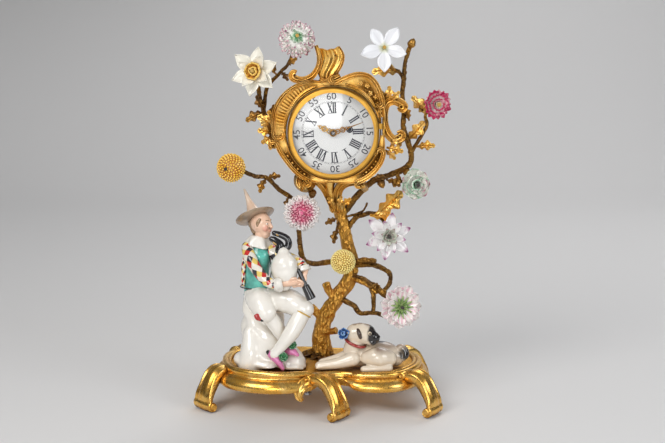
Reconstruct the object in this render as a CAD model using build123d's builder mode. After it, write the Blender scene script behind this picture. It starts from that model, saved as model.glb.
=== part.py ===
"""Rococo table clock: a gilt tree on a scroll-footed base carries a drum clock and porcelain flowers.

Millimetres, +Z up, the viewer stands at -Y. The origin is on the table under the middle of the object.
"""

import math
import os

from build123d import *

os.makedirs("parts", exist_ok=True)

# Fits and cuts shared by all pieces
overrun = 1.0
running_gap = 0.05
seat_gap = 0.3

# Base plate and its moulded rim
plate_half_width = 90.0
plate_half_depth = 58.0
plate_top = 36.0
plate_thickness = 12.0
rim_bead_height = 6.0
rim_cap_height = 3.0
rim_inset = 5.0
rim_round = 2.2
plate_outline_shares = (
    (-1.0, -0.14), (-0.88, -0.72), (-0.52, -1.0), (-0.14, -0.93), (0.14, -0.74),
    (0.42, -0.9), (0.76, -0.84), (1.0, -0.3), (0.98, 0.34), (0.68, 0.8),
    (0.22, 0.72), (-0.22, 0.82), (-0.66, 0.8), (-0.94, 0.42),
)

# Scroll feet: where each leaves the plate, the way it points and how far it reaches
foot_width = 19.0
foot_root_length = 17.0
foot_root_thickness = 5.0
foot_shoulder_height = 38.0
foot_toe_height = 11.0
foot_pad_length = 8.0
foot_left_reach = 29.0
foot_front_reach = 28.0
foot_right_reach = 33.0
foot_rear_right_reach = 30.0
foot_rear_left_reach = 30.0
foot_table = {
    "foot_left": ((-0.94, -0.36), 206, foot_left_reach),
    "foot_front": ((-0.05, -0.84), -36, foot_front_reach),
    "foot_right": ((0.86, -0.66), -30, foot_right_reach),
    "foot_rear_right": ((0.82, 0.62), 38, foot_rear_right_reach),
    "foot_rear_left": ((-0.76, 0.68), 122, foot_rear_left_reach),
}

# Screws and bolts that hold the base together
screw_radius = 1.6
screw_head_radius = 3.2
screw_head_height = 1.8
screw_reach = 8.0
bolt_radius = 2.2
bolt_head_radius = 4.4
bolt_head_height = 3.0
bolt_reach = 14.0
thread_gap = 0.1

# Tree: every route is a list of shares of the tree's height, measured from the plate's upper face
tree_height = 290.0
trunk_shares = (
    (0.006, 0.041, 0.0), (0.0, 0.038, 0.07), (0.015, 0.034, 0.132), (0.053, 0.031, 0.198),
    (0.087, 0.028, 0.249), (0.093, 0.028, 0.307), (0.081, 0.024, 0.368), (0.068, 0.017, 0.435),
    (0.05, 0.007, 0.487),
)
trunk_foot_radius = 8.5
trunk_waist_radius = 6.4
trunk_neck_radius = 5.2
trunk_fork_stub_shares = ((0.012, 0.034, 0.118), (-0.012, 0.031, 0.142), (-0.03, 0.03, 0.162))
trunk_knot_stub_shares = ((0.05, 0.031, 0.19), (0.026, 0.026, 0.213), (0.016, 0.023, 0.238))
stub_radius = 3.6
bough_radius = 2.5
twig_radius = 1.7
tip_radius = 1.3
limb_steps = 2

left_bough_shares = (
    (0.084, 0.021, 0.308), (0.028, -0.004, 0.314), (-0.024, -0.02, 0.312), (-0.055, -0.026, 0.329),
    (-0.064, -0.026, 0.372), (-0.067, -0.022, 0.424), (-0.073, -0.018, 0.485), (-0.094, -0.021, 0.519),
    (-0.127, -0.028, 0.544), (-0.163, -0.034, 0.579), (-0.202, -0.041, 0.587),
)
left_twig_shares = ((-0.0725, -0.018, 0.482),)
button_twig_shares = ((0.088, 0.026, 0.31),)
low_bough_shares = ((0.09, 0.022, 0.264), (0.139, 0.0, 0.249), (0.182, -0.024, 0.227))
low_loop_shares = (
    (0.095, 0.02, 0.299), (0.16, 0.002, 0.303), (0.205, -0.012, 0.286), (0.214, -0.02, 0.257),
    (0.19, -0.03, 0.222),
)
low_under_shares = ((0.06, 0.028, 0.192), (0.1, 0.01, 0.173), (0.124, 0.0, 0.15), (0.164, -0.014, 0.158))
low_link_shares = ((0.16, -0.012, 0.24), (0.166, -0.016, 0.2), (0.16, -0.013, 0.155))
low_stub_shares = ((0.09, 0.018, 0.306), (0.13, 0.0, 0.318), (0.168, -0.014, 0.317))
leafy_bough_shares = (
    (0.078, 0.018, 0.405), (0.103, 0.007, 0.446), (0.138, -0.007, 0.464), (0.172, -0.018, 0.468),
)
leafy_twig_shares = ((0.165, -0.016, 0.467), (0.19, -0.024, 0.448))
leafy_tip_shares = (
    (0.075, 0.012, 0.452), (0.105, -0.002, 0.462), (0.13, -0.012, 0.476), (0.142, -0.016, 0.5),
)
right_bough_shares = (
    (0.064, 0.026, 0.452), (0.108, 0.03, 0.512), (0.16, 0.03, 0.561), (0.206, 0.024, 0.578),
    (0.249, 0.016, 0.597), (0.272, 0.007, 0.62), (0.275, 0.0, 0.654), (0.262, 0.0, 0.697),
    (0.25, 0.0, 0.734), (0.252, 0.0, 0.782), (0.247, 0.0, 0.825), (0.251, 0.0, 0.873),
    (0.254, 0.0, 0.921), (0.263, 0.0, 0.957), (0.269, 0.0, 0.972),
)
right_jasmine_twig_shares = (
    (0.251, 0.0, 0.87), (0.239, -0.008, 0.895), (0.211, -0.016, 0.911), (0.196, -0.026, 0.935),
)
right_aster_twig_shares = (
    (0.275, 0.0, 0.65), (0.292, -0.007, 0.683), (0.321, -0.012, 0.735), (0.317, -0.016, 0.769),
)
right_rose_twig_shares = ((0.23, 0.02, 0.59), (0.246, 0.006, 0.564))
crown_bough_shares = (
    (-0.07, 0.006, 0.648), (-0.103, 0.006, 0.668), (-0.136, 0.004, 0.7), (-0.163, -0.004, 0.747),
    (-0.177, -0.014, 0.797), (-0.186, -0.026, 0.842),
)
crown_twig_shares = (
    (-0.172, -0.008, 0.78), (-0.161, -0.008, 0.85), (-0.122, -0.01, 0.896), (-0.095, -0.012, 0.926),
)

# Porcelain flowers: outer reach, and how deep the form is along the way it faces
narcissus_reach = 21.0
narcissus_depth = 11.0
posy_reach = 15.5
posy_depth = 11.0
jasmine_reach = 21.0
jasmine_depth = 5.0
aster_reach = 12.5
aster_depth = 7.0
rose_reach = 13.5
rose_depth = 11.0
tulip_reach = 21.5
tulip_depth = 9.0
anemone_reach = 19.5
anemone_depth = 8.0
button_reach = 11.0
button_depth = 11.0
pompon_reach = 17.0
pompon_depth = 11.0
ball_reach = 12.6
ball_depth = 12.4
petal_thickness = 1.6
dome_back_share = 0.55
flower_backs = {
    "posy": posy_depth * dome_back_share, "rose": rose_depth * dome_back_share,
    "button": button_depth * dome_back_share, "pompon": pompon_depth * dome_back_share,
    "ball": ball_depth * dome_back_share,
}
pin_radius = 0.7
pin_hole_gap = 0.05
pin_tail = 4.0
pin_bore_length = 60.0
pin_nut_radius = 1.5
pin_nut_height = 0.9
flower_place_shares = {
    "narcissus": (-0.191, -0.07, 0.902),
    "posy": (-0.07, -0.05, 0.998),
    "jasmine": (0.188, -0.062, 0.972),
    "aster": (0.345, -0.048, 0.805),
    "rose": (0.285, -0.055, 0.564),
    "tulip": (0.204, -0.069, 0.407),
    "anemone": (0.241, -0.08, 0.19),
    "button": (0.068, -0.034, 0.32),
    "pompon": (-0.0565, -0.066, 0.4776),
    "ball": (-0.27, -0.055, 0.613),
}
flower_facing = {
    "narcissus": (-0.25, -0.95, 0.15),
    "posy": (0.05, -0.95, 0.3),
    "jasmine": (0.05, -0.98, 0.2),
    "aster": (0.3, -0.95, 0.0),
    "rose": (0.15, -0.98, 0.05),
    "tulip": (0.1, -0.98, 0.1),
    "anemone": (0.25, -0.95, 0.1),
    "button": (-0.2, -0.97, 0.1),
    "pompon": (0.0, -0.98, 0.15),
    "ball": (-0.3, -0.95, 0.05),
}

# Gilt leaves and acorns
leaf_thickness = 1.0
leaf_length = 24.0
leaf_width = 15.0
leaf_half_shares = (
    (0.0, 0.04), (0.16, 0.1), (0.26, 0.36), (0.36, 0.2), (0.5, 0.5), (0.62, 0.26), (0.78, 0.4), (1.0, 0.0),
)
acorn_radius = 3.6
acorn_length = 9.0
acorn_cup_share = 0.45
leaf_table = (
    # place on the tree, the way the leaf points, the side it faces, size share
    ((0.17, -0.018, 0.468), (0.75, -0.1, 0.62), (0.2, -0.9, 0.1), 1.35),
    ((0.165, -0.016, 0.466), (1.0, -0.2, -0.1), (0.1, -0.8, 0.5), 0.75),
    ((0.25, 0.0, 0.75), (0.5, -0.2, 0.85), (-0.3, -0.9, 0.1), 0.9),
    ((0.252, 0.0, 0.735), (-0.3, -0.1, 0.95), (-0.6, -0.8, 0.0), 0.7),
    ((0.312, -0.012, 0.72), (-0.7, -0.3, -0.65), (0.1, -0.95, 0.2), 0.65),
    ((0.317, -0.014, 0.76), (-0.75, -0.2, 0.6), (0.2, -0.95, 0.1), 0.8),
    ((0.215, -0.016, 0.91), (-0.95, -0.2, 0.1), (0.0, -0.9, 0.5), 1.1),
    ((0.206, 0.022, 0.578), (0.2, -0.4, -0.9), (0.4, -0.9, 0.3), 0.7),
    ((-0.165, -0.005, 0.75), (-0.55, -0.35, 0.75), (-0.5, -0.8, -0.3), 0.85),
    ((-0.175, -0.012, 0.79), (-0.95, -0.3, -0.1), (-0.1, -0.8, 0.6), 0.75),
    ((-0.12, -0.01, 0.898), (0.25, -0.5, 0.8), (0.5, -0.8, 0.2), 0.55),
    ((-0.09, -0.02, 0.515), (-0.45, -0.4, -0.75), (-0.5, -0.8, 0.2), 0.6),
    ((-0.165, -0.034, 0.579), (0.75, -0.3, 0.55), (0.2, -0.8, 0.6), 0.55),
    ((-0.165, -0.034, 0.579), (-0.6, -0.3, -0.75), (-0.3, -0.9, 0.2), 0.55),
    ((0.182, -0.024, 0.227), (0.2, -0.5, 0.85), (0.5, -0.8, 0.1), 0.5),
)
acorn_table = (
    ((0.18, 0.028, 0.568), (0.35, -0.5, -0.8)),
    ((-0.075, -0.019, 0.5), (0.7, -0.4, 0.6)),
    ((0.25, 0.014, 0.6), (0.8, -0.3, -0.5)),
    ((0.267, 0.0, 0.968), (0.4, -0.2, 0.9)),
)

# Seated musician in porcelain: shares of the figure's height, from the plate at the figure's foot
figure_height = 158.0
figure_place_shares = (-0.5, -0.26)
figure_bodies = {
    # name: (places, radii across, radii fore and aft), all shares of the figure's height
    "rock": (((0.0, -0.005, 0.0), (-0.012, 0.0, 0.1), (-0.045, 0.01, 0.24), (-0.07, 0.012, 0.365)),
             (0.196, 0.18, 0.135, 0.085), (0.158, 0.15, 0.13, 0.1)),
    "toe_rock": (((0.1, -0.06, 0.0), (0.1, -0.06, 0.05), (0.1, -0.055, 0.11)),
                 (0.11, 0.1, 0.05), (0.09, 0.085, 0.045)),
    "torso": (((-0.085, 0.0, 0.38), (-0.08, 0.0, 0.455), (-0.068, -0.01, 0.56), (-0.062, -0.012, 0.65),
               (-0.06, -0.014, 0.725)),
              (0.086, 0.08, 0.079, 0.08, 0.036), (0.076, 0.07, 0.07, 0.066, 0.034)),
    "head": (((-0.058, -0.014, 0.7), (-0.05, -0.018, 0.755), (-0.046, -0.025, 0.815), (-0.06, -0.01, 0.87)),
             (0.036, 0.05, 0.064, 0.05), (0.034, 0.05, 0.062, 0.05)),
    "crown": (((-0.085, 0.0, 0.845), (-0.105, 0.03, 0.9), (-0.142, 0.075, 0.99)),
              (0.055, 0.032, 0.008), (0.055, 0.032, 0.008)),
    "near_thigh": (((-0.085, -0.02, 0.405), (-0.055, -0.085, 0.385), (-0.02, -0.135, 0.335)),
                   (0.07, 0.072, 0.055), (0.064, 0.066, 0.058)),
    "far_thigh": (((-0.03, -0.03, 0.4), (0.1, -0.09, 0.39), (0.195, -0.13, 0.352)),
                  (0.066, 0.066, 0.048), (0.06, 0.064, 0.048)),
    "near_shin": (((-0.015, -0.125, 0.335), (0.037, -0.115, 0.254), (0.1, -0.11, 0.15), (0.13, -0.14, 0.115)),
                  (0.046, 0.042, 0.032, 0.024), (0.046, 0.042, 0.032, 0.024)),
    "far_shin": (((0.19, -0.132, 0.35), (0.113, -0.165, 0.214), (0.035, -0.178, 0.12), (0.07, -0.19, 0.045)),
                 (0.046, 0.043, 0.03, 0.022), (0.046, 0.043, 0.03, 0.022)),
    "near_arm": (((-0.112, -0.045, 0.68), (-0.089, -0.1, 0.618), (-0.046, -0.135, 0.551),
                  (0.033, -0.155, 0.5), (0.18, -0.158, 0.51)),
                 (0.036, 0.033, 0.031, 0.029, 0.02), (0.036, 0.033, 0.031, 0.029, 0.02)),
    "far_arm": (((0.0, -0.02, 0.66), (0.11, -0.06, 0.635), (0.175, -0.105, 0.6), (0.195, -0.135, 0.555)),
                (0.041, 0.039, 0.033, 0.025), (0.041, 0.039, 0.033, 0.025)),
    "bag": (((0.086, -0.118, 0.53), (0.083, -0.12, 0.575), (0.083, -0.12, 0.62), (0.08, -0.112, 0.67)),
            (0.045, 0.066, 0.062, 0.03), (0.042, 0.06, 0.058, 0.03)),
    "drone": (((0.073, -0.107, 0.66), (0.1, -0.101, 0.72), (0.035, -0.09, 0.765)),
              (0.034, 0.034, 0.022), (0.034, 0.034, 0.022)),
    "chanter": (((0.16, -0.14, 0.58), (0.197, -0.158, 0.506), (0.232, -0.164, 0.425)),
                (0.016, 0.018, 0.026), (0.016, 0.018, 0.026)),
}
hat_brim_radius = 18.0
hat_brim_thickness = 2.2
hat_brim_place_shares = (-0.078, -0.005, 0.846)
hat_brim_lean = (-0.36, 0.5, 0.9)

# Reclining pug in porcelain: shares of its length, from the plate's upper face
pug_length = 78.0
pug_place_shares = (0.42, -0.44)
pug_bodies = {
    "trunk": (((-0.14, -0.01, 0.14), (0.06, 0.01, 0.165), (0.24, 0.02, 0.155), (0.37, 0.01, 0.12)),
              (0.125, 0.145, 0.14, 0.1), (0.12, 0.14, 0.135, 0.095)),
    "haunch": (((0.04, -0.13, 0.15), (0.16, -0.15, 0.16), (0.29, -0.12, 0.135)),
               (0.08, 0.115, 0.09), (0.07, 0.09, 0.07)),
    "hind_paw": (((0.29, -0.185, 0.05), (0.14, -0.2, 0.045), (0.0, -0.205, 0.045)),
                 (0.05, 0.046, 0.036), (0.05, 0.044, 0.035)),
    "near_foreleg": (((-0.12, -0.12, 0.14), (-0.3, -0.14, 0.09), (-0.51, -0.14, 0.055)),
                     (0.085, 0.062, 0.046), (0.08, 0.055, 0.044)),
    "far_foreleg": (((-0.14, 0.0, 0.15), (-0.3, -0.02, 0.105), (-0.48, -0.05, 0.07)),
                    (0.085, 0.06, 0.045), (0.075, 0.055, 0.042)),
    "neck": (((-0.12, -0.02, 0.2), (-0.1, -0.045, 0.29), (-0.07, -0.06, 0.37)),
             (0.12, 0.115, 0.11), (0.115, 0.11, 0.105)),
    "head": (((-0.14, -0.06, 0.42), (-0.05, -0.07, 0.415), (0.05, -0.085, 0.4), (0.14, -0.1, 0.375)),
             (0.085, 0.12, 0.1, 0.065), (0.085, 0.115, 0.1, 0.065)),
    "bow": (((-0.25, -0.07, 0.44), (-0.21, -0.07, 0.42), (-0.15, -0.06, 0.39)),
            (0.045, 0.065, 0.05), (0.035, 0.045, 0.04)),
    "tail": (((0.38, 0.02, 0.18), (0.44, 0.0, 0.225), (0.475, -0.03, 0.16)),
             (0.05, 0.046, 0.034), (0.05, 0.046, 0.034)),
}

# Clock head: the dial's axis runs along Y through this point
clock_x = 11.0
clock_z = 246.0
case_front_y = -30.0
case_thickness = 10.0
case_reach = 57.5
case_bore_radius = 37.6
case_edge_round = 2.5
case_reach_shares = (0.8, 1.0, 0.87, 0.775, 0.825, 0.84, 0.83, 0.88, 0.835, 0.88, 0.93, 0.9)
drum_radius = 40.0
drum_wall = 1.5
drum_length = 44.0

# Crest over the dial, in shares of its own width and height about the middle of its foot
crest_width = 44.0
crest_height = 33.0
crest_thickness = 8.0
crest_sink = 3.0
crest_shift = -6.5

# Side scroll: a C of gilt bronze on the right of the case
scroll_radius = 14.5
scroll_wire_radius = 3.0
scroll_gap_angle = 130.0
scroll_offset = 57.0
scroll_rise = 10.0

# Foot of the case, which sits on the trunk
case_foot_top_width = 46.0
case_foot_depth = 29.0
case_foot_waist = 13.0

# Bezel, glass and their hinge
bezel_radius = 39.5
bezel_opening_radius = 35.0
bezel_depth = 6.0
bezel_round = 1.8
glass_radius = 36.7
glass_thickness = 1.3
glass_rise = 3.2
glass_lip = 1.6
knuckle_radius = 1.6
knuckle_length = 5.0
hinge_pin_radius = 0.8
hinge_reach = 2.0
hinge_rise = 6.0

# Rear door
door_thickness = 2.0

# Dial
dial_radius = 37.2
dial_thickness = 1.2
dial_rise = 1.6
dial_setback = 2.3
dial_hole_radius = 3.4
winding_hole_radius = 2.4
dial_foot_radius = 0.9
dial_foot_circle = 31.0

# Movement plates
movement_plate_radius = 38.2
movement_plate_thickness = 2.0
pillar_length = 22.0
pillar_radius = 2.2
pillar_circle = 33.0
back_plate_radius = 35.5
pillar_screw_radius = 1.1
pillar_screw_head_radius = 2.4
pillar_screw_head_height = 1.3
pillar_screw_length = 7.0

# Wheel work: modules and tooth counts
great_module = 0.4
train_module = 0.3
motion_module = 0.4
barrel_teeth = 62
centre_pinion_leaves = 10
centre_teeth = 80
third_pinion_leaves = 10
third_teeth = 75
fourth_pinion_leaves = 10
fourth_teeth = 70
escape_pinion_leaves = 10
escape_teeth = 25
cannon_leaves = 12
minute_teeth = 36
minute_pinion_leaves = 10
hour_teeth = 40
pressure_angle = 20.0
wheel_addendum_share = 0.6
pinion_addendum_share = 0.85
dedendum_share = 1.2
tooth_thinning_share = 0.16
wheel_thickness = 1.2
pinion_length = 2.6
arbor_radius = 0.9
pivot_radius = 0.6
wheel_shake = 0.6

# Barrel, mainspring and winding
winding_angle = 11.0
barrel_drum_radius = 11.6
barrel_wall = 1.2
barrel_length = 9.0
great_wheel_thickness = 1.8
barrel_arbor_radius = 2.6
barrel_pivot_radius = 1.4
winding_square = 2.6
winding_square_length = 5.0
spring_turns = 5
spring_thickness = 0.45
spring_width = 6.0
ratchet_teeth = 18
ratchet_radius = 5.2
ratchet_tooth_depth = 0.7
ratchet_thickness = 1.2
click_length = 8.0
click_width = 2.2
click_gap = 0.3

# Escapement and pendulum
escape_radius = 6.2
escape_tooth_depth = 1.3
escape_height = 14.0
pallet_drop = 9.4
pallet_span = 5.2
pallet_clearance = 1.1
anchor_width = 1.8
pendulum_rod_radius = 0.7
pendulum_length = 29.0
bob_radius = 6.5
bob_thickness = 4.0
cock_width = 7.0
cock_thickness = 1.6
cock_height = 5.0

# Hands
minute_hand_length = 28.0
hour_hand_length = 19.0
hand_thickness = 0.5
hand_boss_radius = 2.8
minute_hand_angle = 73.0
hour_hand_angle = 298.0
dial_lean = 3.0
cannon_pipe_radius = 1.5
hour_pipe_radius = 2.3


def tree(shares):
    """A place on the tree, from shares of its height."""
    return Vector(*shares) * tree_height + Vector(0, 0, plate_top)


def route_planes(points):
    """A plane at each point of a route, square to it, turned alike so that a loft doesn't twist."""
    planes = []
    for index, point in enumerate(points):
        before = points[max(index - 1, 0)]
        after = points[min(index + 1, len(points) - 1)]
        way = (after - before).normalized()
        side = Vector(0, 1, 0).cross(way)
        planes.append(Plane(origin=point, x_dir=side, z_dir=way))
    return planes


def eased(values):
    """Extra values between the given ones, on a smooth curve through them all."""
    filled = []
    for index in range(len(values) - 1):
        before = values[max(index - 1, 0)]
        start, end = values[index], values[index + 1]
        after = values[min(index + 2, len(values) - 1)]
        for step in range(limb_steps):
            share = step / limb_steps
            bend = (before * 2 - start * 5 + end * 4 - after) * share ** 2
            twist = (start * 3 - before - end * 3 + after) * share ** 3
            filled.append((start * 2 + (end - before) * share + bend + twist) * 0.5)
    return filled + [values[-1]]


def limb(points, radii, radii_aside=None):
    """A tapering limb: a loft through round or oval sections along a route."""
    sections = []
    for plane, radius, aside in zip(route_planes(eased(points)), eased(radii), eased(radii_aside or radii)):
        with BuildSketch(plane) as ring:
            if radius == aside:
                Circle(radius)
            else:
                Ellipse(radius, aside)
        sections.append(ring.sketch)
    with BuildPart() as grown:
        loft(sections, ruled=True)
    return grown.part


def taper(start, end, count):
    """Radii that run evenly from one size to another."""
    return [start + (end - start) * step / (count - 1) for step in range(count)]


def bough(shares, start, end, tip=None):
    """A branch along shares of the tree, with an optional last point of its own."""
    points = [tree(place) for place in shares] + ([tip] if tip else [])
    return limb(points, taper(start, end, len(points)))


def finish(builder, name):
    """Names a finished piece and writes it."""
    builder.part.label = name
    export_step(builder.part, f"parts/{name}.step")


# Base plate

plate_bottom = plate_top - plate_thickness
bead_bottom = plate_top - rim_cap_height - rim_bead_height
trunk_foot = tree(trunk_shares[0])
figure_foot = Vector(
    figure_place_shares[0] * plate_half_width, figure_place_shares[1] * plate_half_depth, plate_top)
pug_foot = Vector(pug_place_shares[0] * plate_half_width, pug_place_shares[1] * plate_half_depth, plate_top)


def plate_outline(inset):
    """The plate's cartouche outline, drawn in by an inset."""
    wide, deep = plate_half_width - inset, plate_half_depth - inset
    return [(across * wide, along * deep) for across, along in plate_outline_shares]


def foot_frame(name):
    """The upright plane that a foot is drawn in: x runs outward from the plate's edge, y runs up."""
    (across, along), heading, _ = foot_table[name]
    turn = math.radians(heading)
    way = Vector(math.cos(turn), math.sin(turn), 0)
    start = Vector(across * plate_half_width, along * plate_half_depth, 0)
    return Plane(origin=start, x_dir=way, z_dir=way.cross(Vector(0, 0, 1)))


foot_screw_places = [
    (foot_frame(name).origin - foot_frame(name).x_dir * foot_root_length / 2) for name in foot_table
]

with BuildPart() as base_plate:
    tiers = (
        (plate_bottom, bead_bottom - plate_bottom, rim_inset),
        (bead_bottom, rim_bead_height, 0),
        (bead_bottom + rim_bead_height, rim_cap_height, rim_inset),
    )
    for level, height, inset in tiers:
        with BuildSketch(Plane.XY.offset(level)):
            with BuildLine():
                Spline(*plate_outline(inset), periodic=True)
            make_face()
        extrude(amount=height)
        if inset == 0:
            full_width = base_plate.part.bounding_box().size.X
            bead = [edge for edge in base_plate.edges()
                    if abs(edge.bounding_box().size.X - full_width) < rim_inset / 2]
            fillet(bead, radius=rim_round)
    with Locations(*[Vector(place.X, place.Y, 0) for place in (trunk_foot, figure_foot, pug_foot)]):
        Cylinder(bolt_radius + thread_gap, plate_top + overrun, mode=Mode.SUBTRACT,
                 align=(Align.CENTER, Align.CENTER, Align.MIN))
    with Locations(*[Vector(place.X, place.Y, plate_bottom) for place in foot_screw_places]):
        Cylinder(screw_radius + thread_gap, screw_reach + overrun, mode=Mode.SUBTRACT,
                 align=(Align.CENTER, Align.CENTER, Align.MIN))
finish(base_plate, "base_plate")


# Scroll feet

def make_foot(name):
    """An S-scroll foot: a root under the plate, a shoulder beside it, and a rolled toe with a flat pad."""
    reach = foot_table[name][2]
    root_top = plate_bottom
    root_low = plate_bottom - foot_root_thickness
    shoulder = reach * 0.3
    toe_start = reach - foot_pad_length
    with BuildPart() as foot:
        with BuildSketch(foot_frame(name)):
            with BuildLine():
                Line((-foot_root_length, root_top), (seat_gap, root_top))
                ThreePointArc((seat_gap, root_top), (shoulder / 2, foot_shoulder_height * 0.9),
                              (shoulder, foot_shoulder_height))
                ThreePointArc((shoulder, foot_shoulder_height), (reach * 0.72, foot_shoulder_height * 0.68),
                              (reach * 0.92, foot_toe_height))
                ThreePointArc((reach * 0.92, foot_toe_height), (reach, foot_toe_height / 2),
                              (reach * 0.94, 0))
                Line((reach * 0.94, 0), (toe_start, 0))
                ThreePointArc((toe_start, 0), (toe_start - foot_pad_length / 2, foot_toe_height / 2),
                              (toe_start, foot_toe_height))
                ThreePointArc((toe_start, foot_toe_height), (reach * 0.42, root_low * 0.95),
                              (0, root_low))
                Line((0, root_low), (-foot_root_length, root_low))
                Line((-foot_root_length, root_low), (-foot_root_length, root_top))
            make_face()
        extrude(amount=foot_width / 2, both=True)
        add(base_plate.part, mode=Mode.SUBTRACT)
        place = foot_screw_places[list(foot_table).index(name)]
        with Locations(Vector(place.X, place.Y, root_low)):
            Cylinder(screw_radius + thread_gap, foot_root_thickness * 3, mode=Mode.SUBTRACT)
    return foot


for foot_name in foot_table:
    finish(make_foot(foot_name), foot_name)


# Flowers

def flower_plane(name):
    """The plane through a flower's heart, facing the way the flower looks."""
    way = Vector(*flower_facing[name]).normalized()
    return Plane(origin=tree(flower_place_shares[name]), x_dir=Vector(0, 0, 1).cross(way), z_dir=way)


def stem_end(name):
    """Where a branch ends behind a flower, on the flower's own axis."""
    frame = flower_plane(name)
    return frame.origin - frame.z_dir * (flower_backs.get(name, 0) + pin_tail)


def dome_flower(name, reach, depth):
    """A close-packed flower: a rounded cushion, with a flatter back."""
    back = depth * dome_back_share
    with BuildPart() as flower:
        with BuildSketch(Plane.XZ):
            with BuildLine():
                Line((0, -back), (0, depth))
                EllipticalCenterArc((0, 0), reach, depth, start_angle=0, arc_size=90)
                EllipticalCenterArc((0, 0), reach, back, start_angle=-90, arc_size=90)
            make_face()
        revolve(axis=Axis.Z)
    return flower_plane(name).location * flower.part


def dished_flower(name, petals, reach, petal_width, depth, heart_radius, heart_height):
    """An open flower: a ring of petals that rise towards their tips, round a domed heart."""
    with BuildPart() as flower:
        with BuildSketch():
            with PolarLocations(reach / 2, petals):
                Ellipse(reach / 2, petal_width / 2)
            Circle(heart_radius)
        extrude(amount=depth + petal_thickness)
        with BuildSketch(Plane.XZ):
            with BuildLine():
                Line((0, 0), (0, petal_thickness))
                ThreePointArc((0, petal_thickness), (reach / 2, petal_thickness + depth / 4),
                              (reach + overrun, depth + petal_thickness))
                Line((reach + overrun, depth + petal_thickness), (reach + overrun, depth))
                ThreePointArc((reach + overrun, depth), (reach / 2, depth / 4), (0, 0))
            make_face()
        revolve(axis=Axis.Z, mode=Mode.INTERSECT)
        with BuildSketch(Plane.XZ):
            with BuildLine():
                heart_low = petal_thickness * 0.9
                Line((0, heart_low), (0, heart_height))
                EllipticalCenterArc((0, heart_low), heart_radius, heart_height - heart_low,
                                    start_angle=0, arc_size=90)
                Line((heart_radius, heart_low), (0, heart_low))
            make_face()
        revolve(axis=Axis.Z)
    return flower_plane(name).location * flower.part


flower_parts = {
    "narcissus": dished_flower("narcissus", 6, narcissus_reach, narcissus_reach * 0.62, narcissus_depth * 0.5,
                               narcissus_reach * 0.42, narcissus_depth),
    "posy": dome_flower("posy", posy_reach, posy_depth),
    "jasmine": dished_flower("jasmine", 5, jasmine_reach, jasmine_reach * 0.62, jasmine_depth,
                             jasmine_reach * 0.24, jasmine_depth * 0.6),
    "aster": dished_flower("aster", 14, aster_reach, aster_reach * 0.42, aster_depth * 0.5,
                           aster_reach * 0.5, aster_depth * 0.6),
    "rose": dome_flower("rose", rose_reach, rose_depth),
    "tulip": dished_flower("tulip", 6, tulip_reach, tulip_reach * 0.5, tulip_depth * 0.5,
                           tulip_reach * 0.45, tulip_depth),
    "anemone": dished_flower("anemone", 8, anemone_reach, anemone_reach * 0.66, anemone_depth,
                             anemone_reach * 0.38, anemone_depth),
    "button": dome_flower("button", button_reach, button_depth),
    "pompon": dome_flower("pompon", pompon_reach, pompon_depth),
    "ball": dome_flower("ball", ball_reach, ball_depth),
}
flower_fronts = {
    "narcissus": narcissus_depth, "posy": posy_depth, "jasmine": jasmine_depth, "aster": aster_depth,
    "rose": rose_depth, "tulip": tulip_depth, "anemone": anemone_depth, "button": button_depth,
    "pompon": pompon_depth, "ball": ball_depth,
}


# Trunk

def trunk_radius_list():
    """The trunk swells at its foot and narrows to the case."""
    lower = taper(trunk_foot_radius, trunk_waist_radius, 4)
    return lower + taper(trunk_waist_radius, trunk_neck_radius, len(trunk_shares) - 4)


with BuildPart() as trunk:
    add(limb([tree(place) for place in trunk_shares], trunk_radius_list()))
    for stub in (trunk_fork_stub_shares, trunk_knot_stub_shares):
        add(bough(stub, stub_radius * 1.2, stub_radius))
    add(bough(button_twig_shares, bough_radius, twig_radius, stem_end("button")))
    split(bisect_by=Plane.XY.offset(plate_top), keep=Keep.TOP)
    with Locations(Vector(trunk_foot.X, trunk_foot.Y, plate_top)):
        Cylinder(bolt_radius + thread_gap, bolt_reach * 2, mode=Mode.SUBTRACT)
finish(trunk, "trunk")


# Branches: each is cut by the trunk that it springs from, and ends behind its flower

with BuildPart() as left_bough:
    add(bough(left_bough_shares, bough_radius, twig_radius, stem_end("ball")))
    add(bough(left_twig_shares, twig_radius, tip_radius, stem_end("pompon")))
    add(trunk.part, mode=Mode.SUBTRACT)
finish(left_bough, "left_bough")

with BuildPart() as low_bough:
    add(bough(low_bough_shares, stub_radius, bough_radius, stem_end("anemone")))
    add(bough(low_loop_shares, bough_radius, twig_radius))
    add(bough(low_under_shares, bough_radius, twig_radius))
    add(bough(low_link_shares, twig_radius, twig_radius))
    add(bough(low_stub_shares, bough_radius, bough_radius))
    add(trunk.part, mode=Mode.SUBTRACT)
finish(low_bough, "low_bough")

with BuildPart() as leafy_bough:
    add(bough(leafy_bough_shares, bough_radius, twig_radius))
    add(bough(leafy_twig_shares, twig_radius, tip_radius, stem_end("tulip")))
    add(bough(leafy_tip_shares, twig_radius, tip_radius))
    add(trunk.part, mode=Mode.SUBTRACT)
finish(leafy_bough, "leafy_bough")

with BuildPart() as right_bough:
    add(bough(right_bough_shares, bough_radius * 1.15, twig_radius))
    add(bough(right_jasmine_twig_shares, twig_radius, tip_radius, stem_end("jasmine")))
    add(bough(right_aster_twig_shares, twig_radius, tip_radius, stem_end("aster")))
    add(bough(right_rose_twig_shares, twig_radius, tip_radius, stem_end("rose")))
    add(trunk.part, mode=Mode.SUBTRACT)
    add(leafy_bough.part, mode=Mode.SUBTRACT)
finish(right_bough, "right_bough")

with BuildPart() as crown_bough:
    add(bough(crown_bough_shares, bough_radius, twig_radius, stem_end("narcissus")))
    add(bough(crown_twig_shares, twig_radius, tip_radius, stem_end("posy")))
crown_raw = crown_bough.part

boughs = (left_bough.part, low_bough.part, leafy_bough.part, right_bough.part)


# Clock case

clock_centre = Vector(clock_x, 0, clock_z)


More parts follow.
